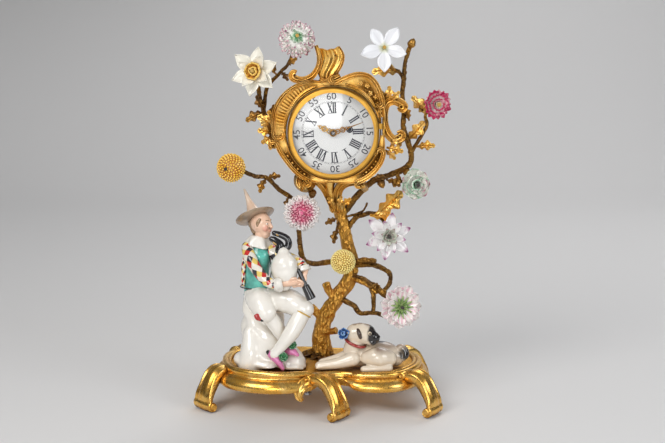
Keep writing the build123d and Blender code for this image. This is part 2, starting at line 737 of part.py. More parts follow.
def clock_plane(depth):
    """The plane across the clock's axis at a depth along Y, as the viewer sees it: x right, y up."""
    return Plane(origin=clock_centre + Vector(0, depth, 0), x_dir=(1, 0, 0), z_dir=(0, -1, 0))


def hour_point(hour, radius):
    """A point round the dial, by clock hour."""
    turn = math.radians(90 - hour * 30)
    return (radius * math.cos(turn), radius * math.sin(turn))


def disc(depth, radius, thickness, mode=Mode.ADD, place=(0, 0)):
    """A round plate or bar on the clock's axis or beside it, running back from a depth by a thickness."""
    with BuildSketch(clock_plane(depth)) as face:
        with Locations(place):
            Circle(radius)
    extrude(face.sketch, amount=-thickness, mode=mode)


case_back_y = case_front_y + case_thickness
hinge_x = clock_x + bezel_radius + hinge_reach
bezel_back_y = case_front_y - seat_gap
hinge_y = bezel_back_y - knuckle_radius
drum_back_y = case_back_y + drum_length
door_front_y = drum_back_y + seat_gap
door_hinge_y = door_front_y + knuckle_radius


def knuckle(axis_y, low, bore_radius, webs):
    """One knuckle of an upright hinge, with webs to what carries it, each from corner to corner."""
    with Locations(Vector(hinge_x, axis_y, low)):
        Cylinder(knuckle_radius, knuckle_length, align=(Align.CENTER, Align.CENTER, Align.MIN))
    for (near_x, near_y), (far_x, far_y) in webs:
        with Locations(Vector((near_x + far_x) / 2, (near_y + far_y) / 2, low + knuckle_length / 2)):
            Box(abs(far_x - near_x), abs(far_y - near_y), knuckle_length)
    with Locations(Vector(hinge_x, axis_y, low)):
        Cylinder(bore_radius, knuckle_length * 3, mode=Mode.SUBTRACT)


hinge_middle_z = clock_z + hinge_rise
knuckle_low_z = hinge_middle_z - knuckle_length / 2
knuckle_pitch = knuckle_length + seat_gap

with BuildPart() as case_surround:
    with BuildSketch(clock_plane(case_back_y)):
        with BuildLine():
            Spline(*[hour_point(hour, share * case_reach) for hour, share in enumerate(case_reach_shares)],
                   periodic=True)
        make_face()
    extrude(amount=case_thickness)
    fillet(case_surround.faces().sort_by(Axis.Y)[0].edges(), radius=case_edge_round)
    disc(case_front_y - overrun, case_bore_radius, case_thickness + 2 * overrun, mode=Mode.SUBTRACT)
    for step in (-1, 1):
        knuckle(hinge_y, knuckle_low_z + step * knuckle_pitch, hinge_pin_radius,
                [((hinge_x - knuckle_radius, hinge_y),
                  (hinge_x + knuckle_radius, case_front_y + knuckle_radius))])
finish(case_surround, "case_surround")

with BuildPart() as case_drum:
    disc(case_back_y, drum_radius, drum_length)
    disc(case_back_y - overrun, drum_radius - drum_wall, drum_length + 2 * overrun, mode=Mode.SUBTRACT)
    for step in (-1, 1):
        knuckle(door_hinge_y, knuckle_low_z + step * knuckle_pitch, hinge_pin_radius,
                [((hinge_x - knuckle_radius / 2, door_hinge_y),
                  (hinge_x + knuckle_radius, drum_back_y - knuckle_length)),
                 ((clock_x + drum_radius - 2 * drum_wall, drum_back_y),
                  (hinge_x, drum_back_y - knuckle_length))])
    disc(case_back_y - overrun, drum_radius - drum_wall, drum_length + 2 * overrun, mode=Mode.SUBTRACT)
finish(case_drum, "case_drum")

with BuildPart() as case_crest:
    crest_foot_z = case_reach * case_reach_shares[0] - crest_sink
    half, tall = crest_width / 2, crest_height
    crest_plane = clock_plane(case_back_y - crest_thickness * 0.1)
    with BuildSketch(crest_plane.moved(Location((crest_shift, 0, 0)))):
        with BuildLine():
            Line((-half * 0.3, crest_foot_z), (half * 0.62, crest_foot_z))
            ThreePointArc((half * 0.62, crest_foot_z), (half * 0.48, crest_foot_z + tall * 0.35),
                          (half * 0.72, crest_foot_z + tall * 0.7))
            ThreePointArc((half * 0.72, crest_foot_z + tall * 0.7), (half * 0.74, crest_foot_z + tall * 0.88),
                          (half * 0.55, crest_foot_z + tall * 0.98))
            ThreePointArc((half * 0.55, crest_foot_z + tall * 0.98),
                          (half * 0.05, crest_foot_z + tall * 0.92),
                          (-half * 0.4, crest_foot_z + tall))
            ThreePointArc((-half * 0.4, crest_foot_z + tall), (-half * 0.46, crest_foot_z + tall * 0.4),
                          (-half, crest_foot_z + tall * 0.14))
            ThreePointArc((-half, crest_foot_z + tall * 0.14), (-half * 1.2, crest_foot_z + tall * 0.22),
                          (-half * 1.25, crest_foot_z + tall * 0.4))
            ThreePointArc((-half * 1.25, crest_foot_z + tall * 0.4),
                          (-half * 1.4, crest_foot_z + tall * 0.16),
                          (-half * 1.1, crest_foot_z))
            ThreePointArc((-half * 1.1, crest_foot_z), (-half * 0.7, crest_foot_z - tall * 0.06),
                          (-half * 0.3, crest_foot_z))
        make_face()
    extrude(amount=crest_thickness)
    add(case_surround.part, mode=Mode.SUBTRACT)
finish(case_crest, "case_crest")

with BuildPart() as side_scroll:
    scroll_sweep = 360 - scroll_gap_angle
    scroll_start = scroll_gap_angle / 2
    scroll_frame = clock_plane(case_front_y + case_thickness / 2)
    with BuildLine(scroll_frame):
        curl = CenterArc((scroll_offset, scroll_rise), scroll_radius, scroll_start, scroll_sweep)
    with BuildSketch(Plane(origin=curl @ 0, z_dir=curl % 0)):
        Circle(scroll_wire_radius)
    sweep(path=curl)
    add(case_surround.part, mode=Mode.SUBTRACT)
    add(right_bough.part, mode=Mode.SUBTRACT)
finish(side_scroll, "side_scroll")

trunk_top = tree(trunk_shares[-1])
with BuildPart() as case_foot:
    foot_low = trunk_top.Z - clock_z
    foot_high = -drum_radius * 0.8
    foot_x = trunk_top.X - clock_x
    half_top, half_low = case_foot_top_width / 2, case_foot_waist / 2
    with BuildSketch(clock_plane(case_back_y + case_foot_depth)):
        with BuildLine():
            Line((foot_x - half_low, foot_low), (foot_x + half_low, foot_low))
            ThreePointArc((foot_x + half_low, foot_low), (half_low * 1.4, (foot_low - drum_radius) / 2),
                          (half_top, foot_high))
            Line((half_top, foot_high), (-half_top, foot_high))
            ThreePointArc((-half_top, foot_high), (-half_low * 1.4, (foot_low - drum_radius) / 2),
                          (foot_x - half_low, foot_low))
        make_face()
    extrude(amount=case_foot_depth)
    disc(case_back_y - overrun, drum_radius, drum_length + overrun, mode=Mode.SUBTRACT)
    for part in (trunk.part, right_bough.part, case_surround.part):
        add(part, mode=Mode.SUBTRACT)
finish(case_foot, "case_foot")

with BuildPart() as crown_bough:
    add(crown_raw)
    add(case_surround.part, mode=Mode.SUBTRACT)
    disc(case_back_y, drum_radius, drum_length, mode=Mode.SUBTRACT)
finish(crown_bough, "crown_bough")
boughs += (crown_bough.part, trunk.part)


# Bezel door, glass and rear door

with BuildPart() as bezel:
    disc(bezel_back_y, bezel_radius, -bezel_depth)
    fillet(bezel.faces().sort_by(Axis.Y)[0].edges(), radius=bezel_round)
    disc(bezel_back_y - bezel_depth - overrun, bezel_opening_radius, bezel_depth + 2 * overrun,
         mode=Mode.SUBTRACT)
    disc(bezel_back_y - bezel_depth + glass_lip, glass_radius + running_gap, bezel_depth, mode=Mode.SUBTRACT)
    knuckle(hinge_y, knuckle_low_z, hinge_pin_radius + running_gap,
            [((clock_x + bezel_radius - 2 * knuckle_radius, hinge_y - knuckle_radius),
              (hinge_x, bezel_back_y))])
    disc(bezel_back_y - bezel_depth + glass_lip, glass_radius + running_gap, bezel_depth, mode=Mode.SUBTRACT)
finish(bezel, "bezel")

glass_swell = glass_rise * (1 - (bezel_opening_radius / glass_radius) ** 2)
glass_front_y = bezel_back_y - bezel_depth + glass_lip + glass_swell + running_gap


def domed_disc(front_y, radius, thickness, rise):
    """A disc on the clock's axis whose middle stands forward, cut from two spheres of like curvature."""
    with BuildSketch(Plane(origin=(clock_x, front_y, clock_z), x_dir=(1, 0, 0), z_dir=(0, 0, 1))) as profile:
        with BuildLine():
            curve = (radius ** 2 + rise ** 2) / (2 * rise)
            half_turn = math.asin(radius / curve) / 2
            middle = (curve * math.sin(half_turn), curve * (1 - math.cos(half_turn)) - rise)
            Line((0, -rise), (0, thickness - rise))
            ThreePointArc((0, thickness - rise), (middle[0], middle[1] + thickness), (radius, thickness))
            Line((radius, thickness), (radius, 0))
            ThreePointArc((radius, 0), middle, (0, -rise))
        make_face()
    revolve(profile.sketch, axis=Axis((clock_x, 0, clock_z), (0, -1, 0)))


with BuildPart() as glass:
    domed_disc(glass_front_y, glass_radius, glass_thickness, glass_rise)
finish(glass, "glass")

with BuildPart() as rear_door:
    disc(door_front_y, drum_radius - seat_gap, door_thickness)
    knuckle(door_hinge_y, knuckle_low_z, hinge_pin_radius + running_gap,
            [((clock_x + drum_radius - 2 * knuckle_radius, door_front_y),
              (hinge_x, door_front_y + door_thickness))])
finish(rear_door, "rear_door")

with BuildPart() as hinge_pins:
    for axis_y in (hinge_y, door_hinge_y):
        with Locations(Vector(hinge_x, axis_y, hinge_middle_z)):
            Cylinder(hinge_pin_radius, knuckle_pitch * 2 + knuckle_length)
finish(hinge_pins, "hinge_pins")


# Dial

dial_front_y = case_front_y + dial_setback
front_plate_y = case_back_y
barrel_distance = great_module * (barrel_teeth + centre_pinion_leaves) / 2
barrel_place = (barrel_distance * math.cos(math.radians(winding_angle)),
                barrel_distance * math.sin(math.radians(winding_angle)))

with BuildPart() as dial:
    domed_disc(dial_front_y, dial_radius, dial_thickness, dial_rise)
    for hour in (1.5, 5.5, 9.5):
        disc(dial_front_y + dial_thickness / 2, dial_foot_radius,
             front_plate_y - dial_front_y - dial_thickness / 2, place=hour_point(hour, dial_foot_circle))
    disc(dial_front_y - dial_rise - overrun, dial_hole_radius, dial_thickness + dial_rise + 2 * overrun,
         mode=Mode.SUBTRACT)
    disc(dial_front_y - dial_rise - overrun, winding_hole_radius, dial_thickness + dial_rise + 2 * overrun,
         mode=Mode.SUBTRACT, place=barrel_place)
finish(dial, "dial")


# Wheel work

def mesh_distance(module, first, second):
    """How far apart two meshing arbors stand."""
    return module * (first + second) / 2


def beside(place, distance, angle):
    """A place at a distance and angle from another."""
    turn = math.radians(angle)
    return (place[0] + distance * math.cos(turn), place[1] + distance * math.sin(turn))


def between(first, first_distance, second, second_distance):
    """The place at given distances from two others, on the left of the way from the first to the second."""
    gap = math.dist(first, second)
    along = (first_distance ** 2 - second_distance ** 2 + gap ** 2) / (2 * gap)
    aside = math.sqrt(first_distance ** 2 - along ** 2)
    way = ((second[0] - first[0]) / gap, (second[1] - first[1]) / gap)
    return (first[0] + along * way[0] - aside * way[1], first[1] + along * way[1] + aside * way[0])


def heading(first, second):
    """The angle of the way from one arbor to another, in radians."""
    return math.atan2(second[1] - first[1], second[0] - first[0])


def meshing_phase(first, first_teeth, first_phase, second, second_teeth):
    """The angle of the second wheel's first tooth, so that its gap meets the first wheel's tooth."""
    way = heading(first, second)
    share = (way - first_phase) * first_teeth / (2 * math.pi) % 1
    return way + math.pi - (0.5 - share) * 2 * math.pi / second_teeth


third_angle = 160.0
minute_wheel_angle = 205.0
centre_place = (0, 0)
third_place = beside(
    centre_place, mesh_distance(train_module, centre_teeth, third_pinion_leaves), third_angle)
escape_place = (0, escape_height)
fourth_place = between(third_place, mesh_distance(train_module, third_teeth, fourth_pinion_leaves),
                       escape_place, mesh_distance(train_module, fourth_teeth, escape_pinion_leaves))
pallet_place = (0, escape_height + pallet_drop)
minute_distance = mesh_distance(motion_module, cannon_leaves, minute_teeth)
minute_place = beside(centre_place, minute_distance, minute_wheel_angle)
hour_module = 2 * minute_distance / (minute_pinion_leaves + hour_teeth)

train_front_y = front_plate_y + movement_plate_thickness
train_back_y = train_front_y + pillar_length
back_plate_y = train_back_y

# Each arbor's phase follows from the barrel's, wheel by wheel
barrel_phase = 0.0
centre_pinion_phase = meshing_phase(
    barrel_place, barrel_teeth, barrel_phase, centre_place, centre_pinion_leaves)
third_pinion_phase = meshing_phase(
    centre_place, centre_teeth, centre_pinion_phase, third_place, third_pinion_leaves)
fourth_pinion_phase = meshing_phase(
    third_place, third_teeth, third_pinion_phase, fourth_place, fourth_pinion_leaves)
escape_pinion_phase = meshing_phase(
    fourth_place, fourth_teeth, fourth_pinion_phase, escape_place, escape_pinion_leaves)
cannon_phase = 0.0
minute_phase = meshing_phase(centre_place, cannon_leaves, cannon_phase, minute_place, minute_teeth)
hour_phase = meshing_phase(minute_place, minute_pinion_leaves, minute_phase, centre_place, hour_teeth)


def involute(angle):
    """The involute function of a pressure angle."""
    return math.tan(angle) - angle


def tooth_flank(teeth, module, addendum_share):
    """One flank of a tooth: pairs of radius and half angle, from the root to the tip."""
    pitch = module * teeth / 2
    base = pitch * math.cos(math.radians(pressure_angle))
    tip = pitch + addendum_share * module
    root = pitch - dedendum_share * module
    half = math.pi / (2 * teeth) - tooth_thinning_share * module / pitch
    start = max(base, root)
    flank = []
    for step in range(3):
        radius = start + (tip - start) * step / 2
        turn = math.acos(min(1.0, base / radius))
        flank.append((radius, half + involute(math.radians(pressure_angle)) - involute(turn)))
    if root < base:
        flank.insert(0, (root, flank[0][1]))
    return flank


def gear(depth, place, teeth, module, phase, thickness, addendum_share):
    """A spur wheel or pinion on the clock's axis direction, its first tooth at a phase angle."""
    flank = tooth_flank(teeth, module, addendum_share)
    points = []
    for tooth in range(teeth):
        middle = phase + 2 * math.pi * tooth / teeth
        sides = [(radius, middle - half) for radius, half in flank]
        sides += [(radius, middle + half) for radius, half in reversed(flank)]
        points += [(place[0] + radius * math.cos(turn), place[1] + radius * math.sin(turn))
                   for radius, turn in sides]
    with BuildSketch(clock_plane(depth)) as outline:
        with BuildLine():
            Polyline(*points, close=True)
        make_face()
    extrude(outline.sketch, amount=-thickness)


def arbor(place, start, end, radius=arbor_radius):
    """A shaft between two depths, with thinner pivots in the plates."""
    disc(start, radius, end - start, place=place)


def pivots(place, front=True, back=True):
    """The pivots that run in the two plates."""
    if front:
        disc(front_plate_y, pivot_radius, movement_plate_thickness + wheel_shake, place=place)
    if back:
        disc(train_back_y - wheel_shake, pivot_radius, movement_plate_thickness + wheel_shake, place=place)


shaft_start = train_front_y + wheel_shake
shaft_end = train_back_y - wheel_shake
great_wheel_y = train_front_y + wheel_shake
centre_wheel_y = great_wheel_y + great_wheel_thickness + barrel_length + 2 * wheel_shake
third_wheel_y = centre_wheel_y + pinion_length + 2 * wheel_shake
fourth_wheel_y = great_wheel_y + great_wheel_thickness + pinion_length
escape_wheel_y = third_wheel_y + pinion_length

with BuildPart() as barrel:
    gear(great_wheel_y, barrel_place, barrel_teeth, great_module, barrel_phase, great_wheel_thickness,
         wheel_addendum_share)
    disc(great_wheel_y + great_wheel_thickness, barrel_drum_radius, barrel_length, place=barrel_place)
    disc(great_wheel_y + great_wheel_thickness, barrel_drum_radius - barrel_wall, barrel_length - barrel_wall,
         mode=Mode.SUBTRACT, place=barrel_place)
    disc(great_wheel_y - overrun, barrel_arbor_radius + running_gap, great_wheel_thickness + 2 * overrun,
         mode=Mode.SUBTRACT, place=barrel_place)
    disc(great_wheel_y + great_wheel_thickness, barrel_pivot_radius + running_gap, barrel_length + overrun,
         mode=Mode.SUBTRACT, place=barrel_place)
finish(barrel, "barrel")

with BuildPart() as mainspring:
    spring_inner = barrel_arbor_radius + 2 * seat_gap
    spring_outer = barrel_drum_radius - barrel_wall - seat_gap - spring_thickness
    spring_steps = 12 * spring_turns
    spring_front_y = great_wheel_y + great_wheel_thickness + seat_gap

    def spring_point(step, aside):
        """A point on the flat spiral, on its inner or outer side."""
        share = step / spring_steps
        radius = spring_inner + (spring_outer - spring_inner) * share + aside
        turn = 2 * math.pi * spring_turns * share
        return (barrel_place[0] + radius * math.cos(turn), barrel_place[1] + radius * math.sin(turn))

    with BuildSketch(clock_plane(spring_front_y)):
        with BuildLine():
            inner_side = Spline(*[spring_point(step, 0) for step in range(spring_steps + 1)])
            outer_side = Spline(*[spring_point(step, spring_thickness) for step in range(spring_steps + 1)])
            Line(inner_side @ 0, outer_side @ 0)
            Line(inner_side @ 1, outer_side @ 1)
        make_face()
    extrude(amount=-spring_width)
finish(mainspring, "mainspring")

winding_end_y = dial_front_y - dial_rise / 2
ratchet_y = front_plate_y - seat_gap - ratchet_thickness
with BuildPart() as barrel_arbor:
    disc(front_plate_y, barrel_pivot_radius, movement_plate_thickness + wheel_shake, place=barrel_place)
    disc(great_wheel_y, barrel_arbor_radius, great_wheel_thickness + barrel_length - barrel_wall - seat_gap,
         place=barrel_place)
    disc(shaft_start, barrel_pivot_radius, train_back_y + movement_plate_thickness - shaft_start,
         place=barrel_place)
    with BuildSketch(clock_plane(front_plate_y)) as square:
        with Locations(barrel_place):
            Rectangle(winding_square, winding_square)
    extrude(square.sketch, amount=front_plate_y - winding_end_y)
finish(barrel_arbor, "barrel_arbor")

with BuildPart() as ratchet_wheel:
    with BuildSketch(clock_plane(ratchet_y)) as teeth_outline:
        with BuildLine():
            saw = []
            for tooth in range(ratchet_teeth):
                turn = 360 * tooth / ratchet_teeth
                saw.append(beside(barrel_place, ratchet_radius, turn))
                saw.append(beside(barrel_place, ratchet_radius - ratchet_tooth_depth, turn))
            Polyline(*saw, close=True)
        make_face()
        with Locations(barrel_place):
            Rectangle(winding_square, winding_square, mode=Mode.SUBTRACT)
    extrude(amount=-ratchet_thickness)
finish(ratchet_wheel, "ratchet_wheel")

click_angle = -60.0
with BuildPart() as click:
    click_root = beside(barrel_place, ratchet_radius + click_gap + click_length, click_angle)
    click_tip = beside(barrel_place, ratchet_radius + click_gap + click_width / 2, click_angle)
    with BuildSketch(clock_plane(ratchet_y)) as pawl:
        click_middle = ((click_root[0] + click_tip[0]) / 2, (click_root[1] + click_tip[1]) / 2)
        SlotCenterPoint(click_middle, click_tip, click_width)
    extrude(pawl.sketch, amount=-ratchet_thickness)
    disc(ratchet_y, click_width / 2, front_plate_y - ratchet_y, place=click_root)
finish(click, "click")

with BuildPart() as centre_wheel:
    gear(centre_wheel_y, centre_place, centre_teeth, train_module, centre_pinion_phase, wheel_thickness,
         wheel_addendum_share)
    gear(great_wheel_y - wheel_shake / 2, centre_place, centre_pinion_leaves, great_module,
         centre_pinion_phase, pinion_length, pinion_addendum_share)
    arbor(centre_place, shaft_start, shaft_end)
    pivots(centre_place)
    disc(dial_front_y - dial_rise, pivot_radius, front_plate_y - dial_front_y + dial_rise + overrun,
         place=centre_place)
finish(centre_wheel, "centre_wheel")

with BuildPart() as third_wheel:
    gear(third_wheel_y, third_place, third_teeth, train_module, third_pinion_phase, wheel_thickness,
         wheel_addendum_share)
    gear(centre_wheel_y - wheel_shake, third_place, third_pinion_leaves, train_module, third_pinion_phase,
         pinion_length, pinion_addendum_share)
    arbor(third_place, shaft_start, shaft_end)
    pivots(third_place)
finish(third_wheel, "third_wheel")

with BuildPart() as fourth_wheel:
    gear(fourth_wheel_y, fourth_place, fourth_teeth, train_module, fourth_pinion_phase, wheel_thickness,
         wheel_addendum_share)
    gear(third_wheel_y - wheel_shake, fourth_place, fourth_pinion_leaves, train_module, fourth_pinion_phase,
         pinion_length, pinion_addendum_share)
    arbor(fourth_place, shaft_start, shaft_end)
    pivots(fourth_place)
finish(fourth_wheel, "fourth_wheel")

with BuildPart() as escape_wheel:
    with BuildSketch(clock_plane(escape_wheel_y)) as scape:
        with BuildLine():
            hooks = []
            for tooth in range(escape_teeth):
                turn = 360 * tooth / escape_teeth
                hooks.append(beside(escape_place, escape_radius, turn))
                hooks.append(
                    beside(escape_place, escape_radius - escape_tooth_depth, turn + 120 / escape_teeth))
            Polyline(*hooks, close=True)
        make_face()
    extrude(scape.sketch, amount=-wheel_thickness)
    gear(fourth_wheel_y - wheel_shake, escape_place, escape_pinion_leaves, train_module, escape_pinion_phase,
         pinion_length, pinion_addendum_share)
    arbor(escape_place, shaft_start, shaft_end)
    pivots(escape_place)
finish(escape_wheel, "escape_wheel")

cock_y = back_plate_y + movement_plate_thickness
rod_y = cock_y + 2 * seat_gap + bob_thickness / 2
with BuildPart() as pallets:
    with BuildSketch(clock_plane(escape_wheel_y)) as anchor:
        with BuildLine():
            tip_rise = max((escape_radius + pallet_clearance) ** 2 - pallet_span ** 2, 0)
            tip_y = escape_height + math.sqrt(tip_rise)
            Line((-pallet_span - anchor_width / 2, tip_y),
                 (-pallet_span + anchor_width / 2, tip_y + anchor_width / 2))
            ThreePointArc((-pallet_span + anchor_width / 2, tip_y + anchor_width / 2),
                          (0, pallet_place[1] - anchor_width / 2),
                          (pallet_span - anchor_width / 2, tip_y + anchor_width / 2))
            Line((pallet_span - anchor_width / 2, tip_y + anchor_width / 2),
                 (pallet_span + anchor_width / 2, tip_y))
            ThreePointArc((pallet_span + anchor_width / 2, tip_y), (0, pallet_place[1] + anchor_width / 2),
                          (-pallet_span - anchor_width / 2, tip_y))
        make_face()
    extrude(anchor.sketch, amount=-wheel_thickness)
    arbor(pallet_place, shaft_start, shaft_end)
    pivots(pallet_place, back=False)
    disc(shaft_end, pivot_radius, rod_y + pendulum_rod_radius + cock_height - shaft_end, place=pallet_place)
finish(pallets, "pallets")

with BuildPart() as pendulum_rod:
    rod_top = clock_centre + Vector(0, rod_y, pallet_place[1])
    with Locations(rod_top - Vector(0, 0, pendulum_length / 2)):
        Cylinder(pendulum_rod_radius, pendulum_length)
    disc(rod_y - pendulum_rod_radius, pendulum_rod_radius * 3, 2 * pendulum_rod_radius, place=pallet_place)
    disc(rod_y - overrun - pendulum_rod_radius, pivot_radius, 2 * (overrun + pendulum_rod_radius),
         mode=Mode.SUBTRACT, place=pallet_place)
finish(pendulum_rod, "pendulum_rod")

bob_place = (0, pallet_place[1] - pendulum_length)
with BuildPart() as pendulum_bob:
    disc(rod_y - bob_thickness / 2, bob_radius, bob_thickness, place=bob_place)
    chamfer(pendulum_bob.edges().filter_by(GeomType.CIRCLE), length=bob_thickness / 4)
    add(pendulum_rod.part, mode=Mode.SUBTRACT)
finish(pendulum_bob, "pendulum_bob")


# Motion work behind the dial

minute_wheel_y = front_plate_y - wheel_shake - wheel_thickness
minute_pinion_y = minute_wheel_y - pinion_length
hour_wheel_y = minute_pinion_y + wheel_shake / 2
hour_hand_y = dial_front_y - dial_rise - 2 * hand_thickness
minute_hand_y = hour_hand_y - 3 * hand_thickness

with BuildPart() as cannon_pinion:
    gear(minute_wheel_y - wheel_shake / 3, centre_place, cannon_leaves, motion_module, cannon_phase,
         wheel_thickness + wheel_shake * 2 / 3, pinion_addendum_share)
    disc(minute_hand_y + hand_thickness, cannon_pipe_radius, minute_wheel_y - minute_hand_y - hand_thickness)
    disc(minute_hand_y - overrun, pivot_radius + running_gap, front_plate_y - minute_hand_y + 2 * overrun,
         mode=Mode.SUBTRACT)
finish(cannon_pinion, "cannon_pinion")

with BuildPart() as minute_wheel:
    gear(minute_wheel_y, minute_place, minute_teeth, motion_module, minute_phase, wheel_thickness,
         wheel_addendum_share)
    gear(minute_pinion_y, minute_place, minute_pinion_leaves, hour_module, minute_phase, pinion_length,
         pinion_addendum_share)
    disc(minute_wheel_y, pivot_radius, front_plate_y + movement_plate_thickness - minute_wheel_y,
         place=minute_place)
finish(minute_wheel, "minute_wheel")

with BuildPart() as hour_wheel:
    gear(hour_wheel_y, centre_place, hour_teeth, hour_module, hour_phase, wheel_thickness,
         wheel_addendum_share)
    disc(hour_hand_y + hand_thickness, hour_pipe_radius, hour_wheel_y - hour_hand_y)
    disc(hour_hand_y - overrun, cannon_pipe_radius + running_gap,
         hour_wheel_y - hour_hand_y + wheel_thickness + 2 * overrun, mode=Mode.SUBTRACT)
finish(hour_wheel, "hour_wheel")


# Hands

def make_hand(length, angle, depth, hole_radius):
    """A pierced hand: a boss, a swelling arm with a ring in it, and a fine point."""
    turn = math.radians(90 - angle + dial_lean)
    frame = clock_plane(depth)
    way = frame.x_dir * math.cos(turn) + frame.y_dir * math.sin(turn)
    hand_frame = Plane(origin=frame.origin, x_dir=way, z_dir=frame.z_dir)
    ring_place = length * 0.4
    ring_radius = length * 0.11
    with BuildPart() as hand:
        with BuildSketch(hand_frame) as shape:
            Circle(hand_boss_radius)
            with Locations((ring_place, 0)):
                Circle(ring_radius)
                Circle(ring_radius * 0.5, mode=Mode.SUBTRACT)
            with BuildLine():
                Polyline((0, hand_boss_radius * 0.35),
                         (ring_place - ring_radius * 0.8, hand_boss_radius * 0.3),
                         (ring_place - ring_radius * 0.8, -hand_boss_radius * 0.3),
                         (0, -hand_boss_radius * 0.35), close=True)
            make_face()
            with BuildLine():
                Polyline((ring_place + ring_radius * 0.8, hand_boss_radius * 0.3), (length, 0),
                         (ring_place + ring_radius * 0.8, -hand_boss_radius * 0.3), close=True)
            make_face()
            Circle(hole_radius, mode=Mode.SUBTRACT)
        extrude(shape.sketch, amount=-hand_thickness)
    return hand


finish(make_hand(minute_hand_length, minute_hand_angle, minute_hand_y, pivot_radius + running_gap),
       "minute_hand")
finish(make_hand(hour_hand_length, hour_hand_angle, hour_hand_y, cannon_pipe_radius + running_gap),
       "hour_hand")


# Plates, pillars and cock

pillar_places = [hour_point(hour, pillar_circle) for hour in (1, 4, 7.5, 10.5)]
through_arbors = (third_place, fourth_place, escape_place)


def plate(depth, radius, holes):
    """A round movement plate with its pivot holes."""
    with BuildPart() as made:
        disc(depth, radius, movement_plate_thickness)
        for place, hole_radius in holes:
            disc(depth - overrun, hole_radius, movement_plate_thickness + 2 * overrun,
                 mode=Mode.SUBTRACT, place=place)
    return made


pivot_hole = pivot_radius + running_gap
screw_holes = [(place, pillar_screw_radius + running_gap) for place in pillar_places]
train_holes = [(place, pivot_hole) for place in through_arbors + (centre_place, pallet_place)]
barrel_hole = [(barrel_place, barrel_pivot_radius + running_gap)]
front_holes = train_holes + barrel_hole + screw_holes + [(minute_place, pivot_hole)]
finish(plate(front_plate_y, movement_plate_radius, front_holes), "front_plate")
finish(plate(back_plate_y, back_plate_radius, train_holes + barrel_hole + screw_holes), "back_plate")

with BuildPart() as pillars:
    for place in pillar_places:
        disc(train_front_y, pillar_radius, pillar_length, place=place)
        disc(train_front_y - overrun, pillar_screw_radius, pillar_length + 2 * overrun,
             mode=Mode.SUBTRACT, place=place)
finish(pillars, "pillars")

with BuildPart() as assembly_screws:
    for place in pillar_places:
        disc(front_plate_y - pillar_screw_head_height, pillar_screw_head_radius, pillar_screw_head_height,
             place=place)
        disc(front_plate_y, pillar_screw_radius, pillar_screw_length, place=place)
        disc(cock_y, pillar_screw_head_radius, pillar_screw_head_height, place=place)
        disc(cock_y - pillar_screw_length, pillar_screw_radius, pillar_screw_length, place=place)
finish(assembly_screws, "assembly_screws")

with BuildPart() as back_cock:
    cock_front_y = rod_y + pendulum_rod_radius + seat_gap
    cock_foot_place = (0, pallet_place[1] + cock_width)
    with BuildSketch(clock_plane(cock_front_y)) as bridge:
        SlotCenterPoint((0, pallet_place[1] + cock_width / 2), pallet_place, cock_width)
    extrude(bridge.sketch, amount=-cock_thickness)
    disc(cock_y, cock_width / 2, cock_front_y - cock_y, place=cock_foot_place)
    disc(cock_front_y - overrun, pivot_hole, cock_thickness + 2 * overrun + cock_height,
         mode=Mode.SUBTRACT, place=pallet_place)
finish(back_cock, "back_cock")


# Porcelain figures

def modelled(bodies, foot, size):
    """The lofted forms of a porcelain figure, in its own place."""
    return {
        name: limb([Vector(*place) * size + foot for place in places],
                   [share * size for share in across], [share * size for share in aside])
        for name, (places, across, aside) in bodies.items()
    }


with BuildPart() as piper_figure:
    for form in modelled(figure_bodies, figure_foot, figure_height).values():
        add(form)
    brim_place = Vector(*hat_brim_place_shares) * figure_height + figure_foot
    with BuildSketch(Plane(origin=brim_place, z_dir=hat_brim_lean)) as brim:
        Circle(hat_brim_radius)
    extrude(brim.sketch, amount=hat_brim_thickness)
    split(bisect_by=Plane.XY.offset(plate_top), keep=Keep.TOP)
    with Locations(figure_foot):
        Cylinder(bolt_radius + thread_gap, bolt_reach * 2, mode=Mode.SUBTRACT)
    add(trunk.part, mode=Mode.SUBTRACT)
finish(piper_figure, "piper_figure")

with BuildPart() as pug_figure:
    for form in modelled(pug_bodies, pug_foot, pug_length).values():
        add(form)
    split(bisect_by=Plane.XY.offset(plate_top), keep=Keep.TOP)
    with Locations(pug_foot):
        Cylinder(bolt_radius + thread_gap, bolt_reach * 2, mode=Mode.SUBTRACT)
    add(trunk.part, mode=Mode.SUBTRACT)
finish(pug_figure, "pug_figure")


# Flowers on their pins

def largest(part):
    """The largest solid of a cut piece."""
    return max(part.solids(), key=lambda solid: solid.volume)


def make_pin(name):
    """A pin on a flower's axis, from the branch behind it to a nut over its heart."""
    frame = flower_plane(name)
    front = flower_fronts[name]
    back = flower_backs.get(name, 0) + pin_tail
    with BuildPart() as pin:
        with BuildSketch(frame.offset(-back)):
            Circle(pin_radius)
        extrude(amount=back + front + pin_nut_height)
        with BuildSketch(frame.offset(front)):
            Circle(pin_nut_radius)
        extrude(amount=pin_nut_height)
        for part in boughs:
            add(part, mode=Mode.SUBTRACT)
    return largest(pin.part)


with BuildPart() as flower_pins:
    for name in flower_parts:
        add(make_pin(name))
finish(flower_pins, "flower_pins")

for name, part in flower_parts.items():
    with BuildPart() as flower:
        add(part)
        with BuildSketch(flower_plane(name).offset(-pin_bore_length / 2)):
            Circle(pin_radius + pin_hole_gap)
        extrude(amount=pin_bore_length, mode=Mode.SUBTRACT)
    finish(flower, f"flower_{name}")


# Leaves and acorns

